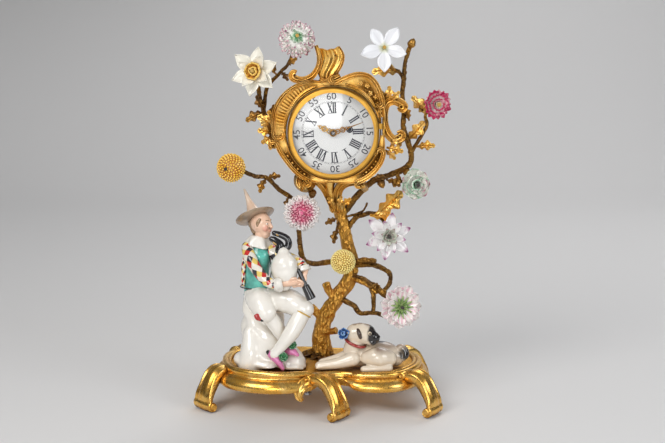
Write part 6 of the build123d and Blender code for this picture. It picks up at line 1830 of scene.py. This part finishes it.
class CLOCK_OT_pug(bpy.types.Operator):
    """Models the reclining pug in painted porcelain."""

    bl_idname = "clock.pug"
    bl_label = "Pug"

    # Routes and radii of the body's forms, in shares of the pug's length
    FORMS = (
        (((-0.12, -0.01, 0.15), (0.08, 0.01, 0.165), (0.26, 0.02, 0.155), (0.37, 0.01, 0.12)),
         (0.125, 0.145, 0.14, 0.1)),
        (((0.04, -0.13, 0.15), (0.16, -0.15, 0.165), (0.28, -0.12, 0.14)), (0.08, 0.115, 0.095)),
        (((0.28, -0.19, 0.05), (0.14, -0.2, 0.045), (0.0, -0.205, 0.04)), (0.05, 0.046, 0.04)),
        (((-0.12, -0.13, 0.14), (-0.3, -0.14, 0.09), (-0.5, -0.135, 0.06)), (0.085, 0.062, 0.05)),
        (((-0.14, 0.0, 0.15), (-0.3, -0.02, 0.105), (-0.47, -0.05, 0.075)), (0.085, 0.06, 0.045)),
        (((-0.12, -0.02, 0.2), (-0.1, -0.045, 0.29), (-0.07, -0.06, 0.37)), (0.115, 0.11, 0.108)),
        (((-0.09, -0.065, 0.42), (-0.04, -0.07, 0.418), (0.025, -0.078, 0.414)), (0.114, 0.124, 0.118)),
        (((0.05, -0.085, 0.39), (0.09, -0.092, 0.38), (0.11, -0.098, 0.376)), (0.092, 0.086, 0.074)),
        (((0.05, -0.125, 0.35), (0.1, -0.135, 0.335), (0.13, -0.13, 0.345)), (0.04, 0.04, 0.03)),
        (((0.05, -0.045, 0.35), (0.1, -0.05, 0.335), (0.13, -0.06, 0.345)), (0.04, 0.04, 0.03)),
        (((0.38, 0.02, 0.18), (0.42, 0.0, 0.235), (0.47, -0.02, 0.21), (0.478, -0.04, 0.15),
          (0.45, -0.05, 0.115)),
         (0.045, 0.045, 0.042, 0.036, 0.026)),
    )

    def at(self, *shares):
        return [Vector(place) * PUG_LENGTH + PUG_FOOT for place in shares]

    def limb(self, places, radii, aside=None):
        return tube(self.at(*places), sized(*radii, scale=PUG_LENGTH), 24, 6,
                    sized(*aside, scale=PUG_LENGTH) if aside else None)

    def put(self, name, made, material, replaces=()):
        piece("pug_" + name, made, material, replaces=replaces)

    def execute(self, context):
        paint = context.scene.clock_porcelain
        body = Shape()
        for places, radii in self.FORMS:
            body.add(self.limb(places, radii))
        for toe in (-0.03, 0.0, 0.03):
            body.add(self.limb(((-0.46, -0.135 + toe, 0.062), (-0.525, -0.138 + toe * 1.1, 0.05)),
                               (0.024, 0.021)))
        mesh = tinted(melted(body, "pug_body", 0.0006, 4), lambda point: self.coat(point, np.array(paint.coat)))
        self.put("body", mesh, glaze("pug_enamel", tuple(paint.coat), tint=painted), ("pug_figure",))
        ears = Shape()
        for hand in (-1, 1):
            ears.add(self.limb(((-0.064, -0.07 + 0.106 * hand, 0.484), (-0.052, -0.07 + 0.124 * hand, 0.45),
                                (-0.04, -0.07 + 0.126 * hand, 0.41)), (0.024, 0.032, 0.026),
                               (0.018, 0.024, 0.02)))
        # The second colour is the painted shade in the black's hollows.
        dark = glaze("pug_black_enamel", (0.02, 0.015, 0.013), (0.004, 0.004, 0.004))
        self.put("ears", ears, glaze("ear_enamel", (0.06, 0.036, 0.026)))
        whites, pupils = Shape(), Shape()
        for hand in (-1, 1):
            whites.add(ball(self.at((0.066, -0.078 + 0.1 * hand, 0.447))[0], 1.7, 1.5, 1.7, None, 12, 18))
            pupils.add(ball(self.at((0.069, -0.078 + 0.112 * hand, 0.447))[0], 1.0, 0.9, 1.0, None, 12, 18))
        pupils.add(ball(self.at((0.166, -0.108, 0.392))[0], 1.7, 2.4, 1.6, None, 12, 18))
        self.put("eyes", whites, glaze("pug_eye_enamel", (0.7, 0.6, 0.45)))
        self.put("pupils_and_nose", pupils, dark)
        collar = hoop(self.at((-0.09, -0.05, 0.315))[0], (0.35, -0.12, 0.93), mm(9.2), mm(1.4), mm(9.2))
        self.put("collar", collar, glaze("collar_enamel", (0.34, 0.035, 0.03)))
        blue = glaze("bow_enamel", (0.05, 0.16, 0.5), tint=mottled(
            (0.02, 0.1, 0.42), (0.22, 0.42, 0.72), 300.0, 3.0, 0.4, 0.6))
        loop = petal_shape(5.8, 4.6, 0.4, 0.35, 0.25, 0.7, 0.05, 9, 9)
        bows = [*whorls(loop, blue, (5, 0.6, 0.0, 22, 30, 1.0, 1.0, 2), (5, 0.4, 0.8, 50, 0, 0.76, 1.0, 3),
                        (4, 0.3, 1.4, 70, 20, 0.5, 1.0, 4))]
        mesh = settled(joined(bows, "bow"), "bow", PETAL_SHEET)
        mesh.transform(looking(self.at((-0.205, -0.09, 0.42))[0], (-0.45, -0.85, 0.3)))
        self.put("bow", mesh, blue)
        return {"FINISHED"}

    def coat(self, point, cream):
        """The pug's markings: a fawn body, greyer above, with a black mask and a dark tail, and a painted
        shadow under the chin where the head meets the body.
        """
        grey, black = np.array((0.3, 0.22, 0.17)), np.array((0.01, 0.008, 0.008))
        p = (point - PUG_FOOT) / PUG_LENGTH
        speck = 0.5 + 0.5 * noise.noise(point * 160)

        def rise(value, width):
            return min(1.0, max(0.0, value / width))

        back = rise(p.z - 0.2, 0.06) * rise(p.x - 0.1, 0.05) * (p.z < 0.34)
        crown = 0.8 * max(near(p, place, reach) for place, reach in (
            ((0.06, -0.08, 0.52), 0.06), ((-0.04, -0.08, 0.545), 0.03), ((-0.1, -0.08, 0.535), 0.03)))
        haunch = 0.5 * near(p, (0.39, -0.06, 0.16), 0.07) * speck
        shade = min(1.0, max(crown, back * (0.6 + 0.5 * speck), haunch))
        colour = cream * (0.95 + 0.1 * speck) * (1 - shade) + grey * shade
        face = rise(p.x - 0.03 - 0.6 * max(0.0, 0.37 - p.z) - 0.5 * max(0.0, p.z - 0.47),
                    0.025) * (p.z > 0.3) * (p.x < 0.3)
        # The last term is a painted shadow: a dark band under the chin, where the head meets the body.
        dark = max(face, near(p, (0.47, -0.04, 0.17), 0.08), 0.6 * near(p, (-0.02, -0.15, 0.27), 0.05))
        return colour * (1 - dark) + black * dark


# Clock case


# The case, in millimetres from the dial's middle
CASE_INNER = 40.4
CASE_FRONT = -30.0
HINGE_HOUR = 2.8
RIBBED_HOUR = 10.1
# Sunk panels of the case: middle and half length in clock hours
PANELS = ((1.7, 0.85), (4.35, 0.7), (7.6, 0.75), (RIBBED_HOUR, 1.05))
# Reach of the case's outline from the dial's middle, at each hour from twelve
CASE_REACH = [57.5 * share for share in
              (0.77, 1.02, 0.885, 0.775, 0.86, 0.855, 0.76, 0.83, 0.845, 0.92, 0.97, 0.9)]


def case_reach(hour):
    """The case's outline: reach from the dial's middle, by clock hour."""
    low = int(hour)
    return curved(*(CASE_REACH[(low + k) % 12] for k in (-1, 0, 1, 2)), hour - low)


def at_hour(hour, radius):
    """A flat place on the clock, by clock hour and reach."""
    turn = radians(90 - 30 * hour)
    return radius * cos(turn), radius * sin(turn)


class CLOCK_OT_case(bpy.types.Operator):
    """Carves the gilt case: its panels, scrolls, crest and leaf sprays."""

    bl_idname = "clock.case"
    bl_label = "Case"

    def execute(self, context):
        metal = metals()
        gilt = metal["gilt"]
        # The bezel's gilding is darkened with painted shade.
        dress(metal["bezel"], "bezel")
        dress(metal["case"], "case_drum", "rear_door")
        dress(metal["steel"], "hinge_pins")
        piece("case_relief", self.relief(), self.relief_gilding(context),
              replaces=("case_surround",))
        for name, shape, replaces in (("case_scrolls", self.scrolls(), ()),
                                      ("crest_shell", self.crest(), ("case_crest",)),
                                      ("side_scroll_cast", self.side(), ("side_scroll",)),
                                      ("foot_scrolls", self.foot(), ("case_foot",))):
            piece(name, outward(shape.mesh(name)), gilt, replaces=replaces)
        piece("case_beads", self.beads(gilt), gilt)
        piece("case_sprays", self.sprays(metal["leaf"]), metal["leaf"])
        self.glass()
        return {"FINISHED"}

    def relief_gilding(self, context):
        gilt = context.scene.clock_gilding

        def stipple(f):
            return f.cells(1300.0) * (1 - f.mark("ribs")) * f.mark("floor") * 3.0

        def sunk(f):
            # The sunk floors darken towards the recess colour, speckled by cells; the grooves between the ribs
            # take painted shade.
            plain = f.mark("floor") * (1 - f.mark("ribs"))
            return plain * f.cells(900.0).between(0.0, 0.5) * 0.75 + f.mark("groove") * 0.7

        return gilding("panel_gilding", tuple(gilt.gold), tuple(gilt.recess), tuple(gilt.pale_gold),
                       gilt.gloss + 0.05, 1200.0, 0.00012, hollow=0.004, pattern=stipple, sunk=sunk)

    def relief(self):
        """The case's front: a rolled outer edge, sunk panels, one of them ribbed, and an inner fillet."""
        rows, floors, ribs, groove_shades = [], [], [], []
        steps = 1080
        for step in range(steps):
            hour = 12 * step / steps
            outer, inner = case_reach(hour) - 0.4, CASE_INNER
            from_hinge = min(abs(hour - HINGE_HOUR), 12 - abs(hour - HINGE_HOUR))
            hinge = 1 - exp(-(from_hinge / 0.34) ** 4)
            panel = sum(exp(-((hour - middle) / half) ** 6) for middle, half in PANELS)
            ribbed = exp(-((hour - RIBBED_HOUR) / 0.95) ** 8)
            row, floor, groove = [], [], []
            for share in np.linspace(0, 1, 31):
                lip = exp(-((share - 0.05) / 0.07) ** 2)
                edge = exp(-((share - 0.88) / 0.1) ** 2)
                bed = exp(-((share - 0.44) / 0.26) ** 6) * panel
                rib = abs(cos(9 * pi * hour))
                low = -0.7 + ribbed * (1.0 * rib + 0.4)
                height = ((0.9 + 0.5 * sin(pi * share)) * (1 - bed) + low * bed + lip + 1.7 * edge) * hinge
                u, w = at_hour(hour, inner + (outer - inner) * share)
                row.append(clock_point(u, w, CASE_FRONT - (height if 0 < share < 1 else -0.6)))
                floor.append(bed)
                # The grooves between the ribs are marked for painted shade.
                groove.append(bed * ribbed * max(0.0, 1 - 1.6 * rib))
            for share, depth in ((1, -26.0), (0.9, -20.0), (0.0, -20.0)):
                row.append(clock_point(*at_hour(hour, inner + (outer - inner) * share), depth))
                floor.append(0.0)
                groove.append(0.0)
            rows.append(row + row[:1])
            floors.append(floor + floor[:1])
            groove_shades.append(groove + groove[:1])
            ribs.append([ribbed] * len(floors[-1]))
        for line in (rows, floors, ribs, groove_shades):
            line.append(line[0])
        mesh = Shape().grid(rows, marks={"floor": floors, "ribs": ribs, "groove": groove_shades}).mesh("case_relief")
        return outward(reworked(mesh, lambda work: bmesh.ops.remove_doubles(work, verts=work.verts, dist=1e-6)))

    def scroll(self, shape, route, widths, depth, y=-31.0, start=None, end=None, profile=RIDGED, back=0.3):
        """One scroll on the case; start and end give a volute's radius, degrees, tightness and side."""
        flat = [np.array(p, float) for p in route]
        if end:
            flat = roll(flat, *end)
        if start:
            flat = list(reversed(roll(list(reversed(flat)), *start)))
        count = len(flat)
        wide = np.interp(np.linspace(0, 1, count), np.linspace(0, 1, len(widths)), widths)
        y = list(np.linspace(*y, count)) if isinstance(y, tuple) else y
        shape.add(strap(on_clock(flat, y), mms(*wide), [mm(depth)] * count, (0, -1, 0), profile, 4, back))

    def scrolls(self):
        shape = Shape()

        def edge(first, last, count):
            return [at_hour(hour, case_reach(hour % 12) - 1.6) for hour in np.linspace(first, last, count)]

        for route, widths, depth, start, end in (
                (edge(0.1, 1.95, 7), (3, 4.6, 4.6, 4.4, 3.8, 3), 3.2, (4.0, 200, 0.4, -1), (3.0, 200, 0.4, -1)),
                (edge(11.3, 8.95, 8), (2.4, 3.4, 3.6, 3.8, 5.5, 7), 3.2, None, (5.0, 210, 0.35, 1)),
                (edge(8.65, 6.95, 7), (4, 4.2, 4, 4, 4.8, 4), 3.0, (3.4, 220, 0.4, 1), (3.0, 200, 0.4, -1)),
                (edge(3.75, 5.1, 6), (6, 4.8, 4.6, 4.6, 4.8, 4), 3.0, (3.6, 240, 0.4, 1), (2.8, 190, 0.4, 1))):
            self.scroll(shape, route, widths, depth, -31.0, start, end)
        for route in ([(10.5, 42), (21, 38), (30, 31), (36.5, 21.5)],
                      [(-14, 41), (-25, 35.5), (-34, 26.5), (-40, 15), (-41.8, 4)]):
            self.scroll(shape, route, (1.6, 2.4, 2.4, 1.6), 1.8, -31.2, profile=ROLLED)
        return shape

    def foot(self):
        """Two scrolls that carry the case on the trunk, with a core between them."""
        shape = Shape()
        self.scroll(shape, [(-24, -41), (-15, -44), (-8, -51), (-3.5, -60), (1.5, -72)], (6, 8.5, 9, 8, 7), 4.0,
                    (-23.0, -4.0), (3.6, 240, 0.4, 1), back=2.6)
        self.scroll(shape, [(26, -48.5), (22, -44.5), (13, -45), (6, -50), (3.5, -59), (4, -72)],
                    (5, 6.5, 7.5, 8, 8, 7), 4.0, (-23.0, -4.0), back=2.6)
        self.scroll(shape, [(-20, -41), (-25, -45), (-28, -51)], (6, 5, 2), 2.4, -27.0)
        core = [clock_point(-2, -38, -10), clock_point(-3, -50, -9), clock_point(-1, -60, -6),
                clock_point(2.5, -69, 0)]
        shape.add(tube(core, mms(7, 4, 4.5, 6.5), 24, 6, swell=gnarl(200, 0.1, 5)))
        return shape

    def crest(self):
        left = [(-9, 43), (-13, 50), (-13.2, 58), (-13.2, 66), (-15, 74)]
        right = [(5, 44), (3.5, 50), (6.5, 57), (8.2, 66), (4.2, 73.5)]
        rows, back = [], []
        a, b = eased(left, 8), eased(right, 8)
        for step in range(len(a)):
            t = step / (len(a) - 1)
            row, rear = [], []
            for share in np.linspace(0, 1, 41):
                u, w = a[step] + (b[step] - a[step]) * share
                w += -2.6 * sin(pi * share) * t ** 3 + 0.4 * cos(6 * pi * share) * t ** 4
                flute = 1.25 * cos(2 * pi * 3 * (share + 0.4 * (1 - t) ** 2)) * (0.3 + 0.7 * t)
                bow = 3.2 * sin(pi * share) ** 0.7 + 2.4 * t ** 3
                row.append(clock_point(u, w, -26.0 - bow - flute))
                rear.append(clock_point(u, w, -21.5 - 1.2 * t ** 3))
            rows.append(row)
            back.append(rear)
        shape = Shape().grid([front + list(reversed(rear)) for front, rear in zip(rows, back)], True)
        for index in (0, -1):
            shape.grid([rows[index], back[index]])
        self.scroll(shape, [(-14.8, 74.5), (-12.2, 66), (-12.6, 57), (-18, 48.5), (-26, 45), (-32.5, 46)],
                    (3.4, 5.6, 7.2, 8, 7.2, 5), 3.8, -25.0, None, (3.2, 190, 0.5, -1))
        self.scroll(shape, [(3, 45), (2.8, 51), (6.4, 58), (8, 66), (4.4, 73.6)], (3, 3.4, 3.8, 3.6, 2.2), 3.0,
                    -26.0)
        self.scroll(shape, [(-12, 46), (-6, 43.4), (0, 46), (6, 49)], (4, 6, 6, 4), 3.0, -29.0)
        return shape

    def side(self):
        shape = Shape()
        route = [(59.5, 24), (53, 27.4), (46.5, 25.5), (43.6, 18), (43.9, 8), (47, -1), (52.5, -6.2),
                 (58, -4.5)]
        self.scroll(shape, route, (5, 7.4, 8.4, 7.8, 7.2, 7.4, 6.6, 5), 4.4, -24.5, (2.2, 220, 0.5, -1),
                    (2.2, 210, 0.5, 1), back=1.0)
        return shape

    def beads(self, material):
        rows = []
        front = Vector((0, -1, 0)).to_track_quat("Z", "Y").to_matrix()
        for hours, size in ((np.linspace(7.0, 8.25, 9), 1.5), (np.linspace(4.0, 4.8, 7), 1.3)):
            for index, hour in enumerate(hours):
                u, w = at_hour(hour, CASE_INNER + (case_reach(hour) - CASE_INNER) * 0.44)
                rows.append((clock_point(u, w, CASE_FRONT), front, size * (1 if index % 2 else 0.6)))
        for index, hour in enumerate(np.linspace(0.95, 2.4, 7)):
            u, w = at_hour(hour, CASE_INNER + (case_reach(hour) - CASE_INNER) * (0.46 + 0.1 * sin(index * 2.4)))
            for k in range(5):
                t = 2 * pi * k / 5 + index
                rows.append((clock_point(u + 1.5 * cos(t), w + 1.5 * sin(t), -29.7), front, 1.1))
            rows.append((clock_point(u, w, -30.2), front, 1.0))
        return set_out(ball((0, 0, 0), 1.0, 1.0, 0.7, None, 8, 12), rows, material)

    def sprays(self, material):
        table = (((47, 27), (0.1, 0.98), 0.55), ((46, 27), (-0.45, 0.9), 0.42), ((48.5, 27), (0.7, 0.7), 0.5),
                 ((46, -13), (0.95, -0.2), 0.62), ((45, -15), (0.75, -0.65), 0.5),
                 ((49, -12), (0.6, 0.6), 0.42),
                 ((-49, 2), (-0.75, 0.66), 0.85), ((-49, 0), (-0.98, 0.15), 0.68),
                 ((-50, 6), (-0.4, 0.92), 0.6),
                 ((-49, -3), (-0.92, -0.4), 0.6), ((-47, -6), (-0.7, -0.7), 0.5),
                 ((-24, -41), (-0.4, -0.9), 0.4),
                 ((1, -68), (-0.5, 0.85), 0.45), ((6, -67), (0.8, 0.6), 0.5), ((4, -68), (0.3, 0.9), 0.45))
        rows = [(clock_point(u, w, -26 if w > -60 else -10), facing((x, -0.25, z), (0.15, -1, 0.2)), size)
                for (u, w), (x, z), size in table]
        return set_out(leaf_shape(24, 16), rows, material)

    def glass(self):
        finish = Finish("dial_glass")
        finish.set(Base_Color=(1.0, 1.0, 1.0), Roughness=0.03, Metallic=0.0)
        clear = finish.node("ShaderNodeBsdfTransparent")
        edge = finish.wire("ShaderNodeLayerWeight", None, {0: 0.12}, 1)
        smear = finish.noise(40.0, 3.0).between(0.45, 0.8)
        mix = finish.node("ShaderNodeMixShader", None, {0: edge * 0.4 + smear * 0.01 + 0.012})
        finish.tree.links.new(clear.outputs[0], mix.inputs[1])
        finish.tree.links.new(finish.shader.outputs[0], mix.inputs[2])
        finish.tree.links.new(mix.outputs[0], finish.output.inputs[0])
        dress(finish.material, "glass")


# Dial and hands


# The dial in millimetres: its rim lies at a depth along Y
DIAL_RADIUS = 37.2
DIAL_RISE = 1.6
DIAL_RIM = -27.7
INK = 0.06


def dial_depth(radius):
    """Where ink lies on the dial's dome, in millimetres along Y."""
    return DIAL_RIM - DIAL_RISE * (1 - (radius / DIAL_RADIUS) ** 2) - INK


# Strokes of the Roman figures: start, end and thickness, in shares of a letter's box
STROKES = {"I": [((0.5, 0), (0.5, 1), 0.16)], "V": [((0.12, 1), (0.5, 0), 0.17), ((0.88, 1), (0.5, 0), 0.07)],
           "X": [((0.1, 1), (0.9, 0), 0.17), ((0.9, 1), (0.1, 0), 0.07)]}
WIDTHS = {"I": 0.34, "V": 0.8, "X": 0.84}
ROMANS = ("XII", "I", "II", "III", "IIII", "V", "VI", "VII", "VIII", "IX", "X", "XI")
LEAN = 3.0


class CLOCK_OT_dial(bpy.types.Operator):
    """Paints the enamel dial with its hours and minutes and sets the pierced hands."""

    bl_idname = "clock.dial"
    bl_label = "Dial and hands"

    def execute(self, context):
        enamel = Finish("dial_enamel")
        cloud = enamel.noise(30.0, 3.0)
        colour = enamel.blend(cloud.between(0.3, 0.7), (0.69, 0.7, 0.7), (0.75, 0.755, 0.745))
        dress(enamel.set(Base_Color=colour, Roughness=cloud * 0.05 + 0.12, Coat_Weight=0.7, Coat_Roughness=0.04,
                         Normal=enamel.bump(enamel.noise(60.0), 0.0002)), "dial")
        ink = Finish("blue_black_ink")
        ink_colour = ink.blend(ink.noise(500.0), (0.004, 0.005, 0.012), (0.012, 0.015, 0.035))
        material = ink.set(Base_Color=ink_colour, Roughness=ink.noise(200.0) * 0.1 + 0.3)
        piece("dial_hours", self.hours(), material, smooth=False)
        piece("dial_minutes", self.minutes(), material, smooth=False)
        self.hands()
        return {"FINISHED"}

    def flat(self, hour, across, out):
        """A place on the dial: across and out from the middle along an hour's direction."""
        turn = radians(90 - 30 * hour + LEAN)
        u = out * cos(turn) + across * sin(turn)
        w = out * sin(turn) - across * cos(turn)
        return clock_point(u, w, dial_depth(hypot(u, w)))

    def bar(self, shape, hour, start, end, half):
        """A straight stroke on the dial, cut into short lengths that follow the dome."""
        start, end = np.array(start, float), np.array(end, float)
        way = (end - start) / np.linalg.norm(end - start)
        side = np.array((-way[1], way[0])) * half
        rows = [[self.flat(hour, *(start + (end - start) * t - side)),
                 self.flat(hour, *(start + (end - start) * t + side))]
                for t in np.linspace(0, 1, 4)]
        shape.grid(rows)

    def hours(self):
        shape = Shape()
        low, tall, em, weight, serif = 17.0, 8.8, 5.0, 0.76, 0.26
        for hour, text in enumerate(ROMANS):
            total = sum(WIDTHS[letter] for letter in text)
            pen = -total / 2
            for letter in text:
                for (x0, y0), (x1, y1), thick in STROKES[letter]:
                    scale = WIDTHS[letter]
                    start = ((pen + x0 * scale) * em, low + y0 * tall)
                    end = ((pen + x1 * scale) * em, low + y1 * tall)
                    self.bar(shape, hour, start, end, thick * em * weight)
                pen += WIDTHS[letter]
            for level in (low, low + tall):
                self.bar(shape, hour, (-total / 2 * em - 0.1, level), (total / 2 * em + 0.1, level), serif)
        return self.front(shape.mesh("dial_hours"))

    def front(self, mesh):
        """Turns all faces to the viewer."""

        def turn(work):
            work.normal_update()
            bmesh.ops.reverse_faces(work, faces=[face for face in work.faces if face.normal.y > 0])

        return reworked(mesh, turn)

    def minutes(self):
        shape = Shape()
        for minute in range(60):
            self.bar(shape, minute / 5, (0, 26.5), (0, 27.2), 0.15 if minute % 5 else 0.34)
        steps, half = 180, 0.07
        for radius in (26.4, 27.3):
            rows = [[self.flat(12 * k / steps, 0, radius + side) for side in (-half, half)]
                    for k in range(steps + 1)]
            shape.grid(rows)
        # A dark ring in ink round the winding hole: painted shade that widens the dark of the hole.
        hole = (14.1, 2.75)
        for k in range(24):
            rim = [(hole[0] + r * cos(t), hole[1] + r * sin(t)) for r in (1.9, 2.9)
                   for t in (pi * k / 12, pi * (k + 1) / 12)]
            ends = [clock_point(u, w, dial_depth(hypot(u, w))) for u, w in rim]
            shape.grid([ends[:2], ends[2:]])
        meshes = [shape.mesh("track")]
        for step in range(12):
            text = bpy.data.curves.new("minute", "FONT")
            text.body = str(step * 5 or 60)
            text.size = 8.4
            text.offset = 0.03
            text.align_x = "CENTER"
            text.align_y = "CENTER"
            text.resolution_u = 4
            holder = placed("minute", text)
            mesh = evaluated(holder)
            bpy.data.objects.remove(holder)
            bpy.data.curves.remove(text)
            for vertex in mesh.vertices:
                vertex.co = self.flat(step, vertex.co.x * 1.05, 31.2 + vertex.co.y)
            meshes.append(mesh)
        return self.front(joined(meshes, "dial_minutes"))

    def hands(self):
        metal = metals()
        for name, angle, length, y, hub in (("hour_hand", 298.0, 15.5, -30.35, 2.8),
                                            ("minute_hand", 73.0, 28.0, -31.85, 2.6)):
            turn = radians(90 - angle + LEAN)
            way = (cos(turn), sin(turn))

            def place(r, s):
                return clock_point(r * way[0] - s * way[1], r * way[1] + s * way[0], y)

            shape = Shape()

            def wire(points, radius):
                shape.add(tube([place(*p) for p in points], [mm(radius)] * len(points), 8, 5,
                               aside=[mm(radius)] * len(points)))

            ring = [(hub * cos(t), hub * sin(t)) for t in np.linspace(0, 2 * pi, 13)]
            wire(ring, 0.5)
            body = length * (0.5 if name == "minute_hand" else 0.9)
            for side in (-1, 1):
                wire([(hub * 0.6, 0.9 * side), (body * 0.3, 1.9 * side), (body * 0.45, 0.4 * side)], 0.5)
                wire([(body * 0.42, 0.3 * side), (body * 0.62, 2.2 * side), (body * 0.8, 0.4 * side)], 0.5)
                wire([(body * 0.54, 0.0), (body * 0.62, 0.9 * side), (body * 0.74, 0.2 * side)], 0.4)
                wire([(body * 0.78, 0.3 * side), (body * 0.88, 1.2 * side), (body, 0.1 * side)], 0.4)
            shape.add(tube([place(body * 0.95, 0), place((body + length) / 2, 0), place(length * 0.97, 0)],
                           mms(0.6, 0.4, 0.2), 10, 4))
            shape.add(tube([place(hub * 0.5, 0), place(body * 0.45, 0)], mms(0.5, 0.3), 10, 3))
            piece(name + "_pierced", outward(shape.mesh(name)), metal["gilt"], name,
                  replaces=(name,))
        boss = Shape()
        for depth, radius in ((-32.2, 1.9), (-33.0, 1.2)):
            boss.add(tube([clock_point(0, 0, depth + 0.5), clock_point(0, 0, depth - 0.3)],
                          mms(radius, radius * 0.8), 20, 3, ends=(0.1, 0.5)))
        piece("hand_boss", outward(boss.mesh("hand_boss")), metal["steel"], "minute_hand")


class CLOCK_OT_movement(bpy.types.Operator):
    """Gives the wheels, plates and pendulum their brass and steel."""

    bl_idname = "clock.movement"
    bl_label = "Movement"

    def execute(self, context):
        metal = metals()
        dress(metal["brass"], "front_plate", "back_plate", "pillars", "back_cock", "cannon_pinion",
              "minute_wheel", "hour_wheel",
              "centre_wheel", "third_wheel", "fourth_wheel", "escape_wheel", "barrel", "pendulum_bob")
        # The arbor behind the winding hole is near black: painted shade for the hole, on its steel.
        dress(metal["blued"], "barrel_arbor")
        dress(metal["steel"], "assembly_screws", "click", "ratchet_wheel", "pallets", "mainspring",
              "pendulum_rod")
        return {"FINISHED"}


class CLOCK_PT_panel(bpy.types.Panel):
    """Lists the clock's pieces in the sidebar."""

    bl_idname = "CLOCK_PT_panel"
    bl_label = "Table clock"
    bl_space_type = "VIEW_3D"
    bl_region_type = "UI"
    bl_category = "Clock"

    def draw(self, context):
        for operator in OPERATORS:
            self.layout.operator(operator.bl_idname)


# What is registered

GROUPS = {"clock_gilding": GildingSettings, "clock_porcelain": PorcelainSettings,
          "clock_flowers": FlowerSettings, "clock_stage": StageSettings}
OPERATORS = (CLOCK_OT_stage, CLOCK_OT_base, CLOCK_OT_tree, CLOCK_OT_leaves, CLOCK_OT_flowers, CLOCK_OT_piper,
             CLOCK_OT_pug, CLOCK_OT_case, CLOCK_OT_dial, CLOCK_OT_movement)


def register():
    for kind in (*GROUPS.values(), *OPERATORS, CLOCK_PT_panel):
        bpy.utils.register_class(kind)
    for name, kind in GROUPS.items():
        setattr(bpy.types.Scene, name, PointerProperty(type=kind))


def unregister():
    for name in GROUPS:
        delattr(bpy.types.Scene, name)
    for kind in (CLOCK_PT_panel, *reversed(OPERATORS), *GROUPS.values()):
        bpy.utils.unregister_class(kind)


def main():
    register()
    bpy.ops.clock.stage()
    bpy.ops.clock.base()
    bpy.ops.clock.tree()
    bpy.ops.clock.leaves()
    bpy.ops.clock.flowers()
    bpy.ops.clock.piper()
    bpy.ops.clock.pug()
    bpy.ops.clock.case()
    bpy.ops.clock.dial()
    bpy.ops.clock.movement()


if __name__ == "__main__":
    main()
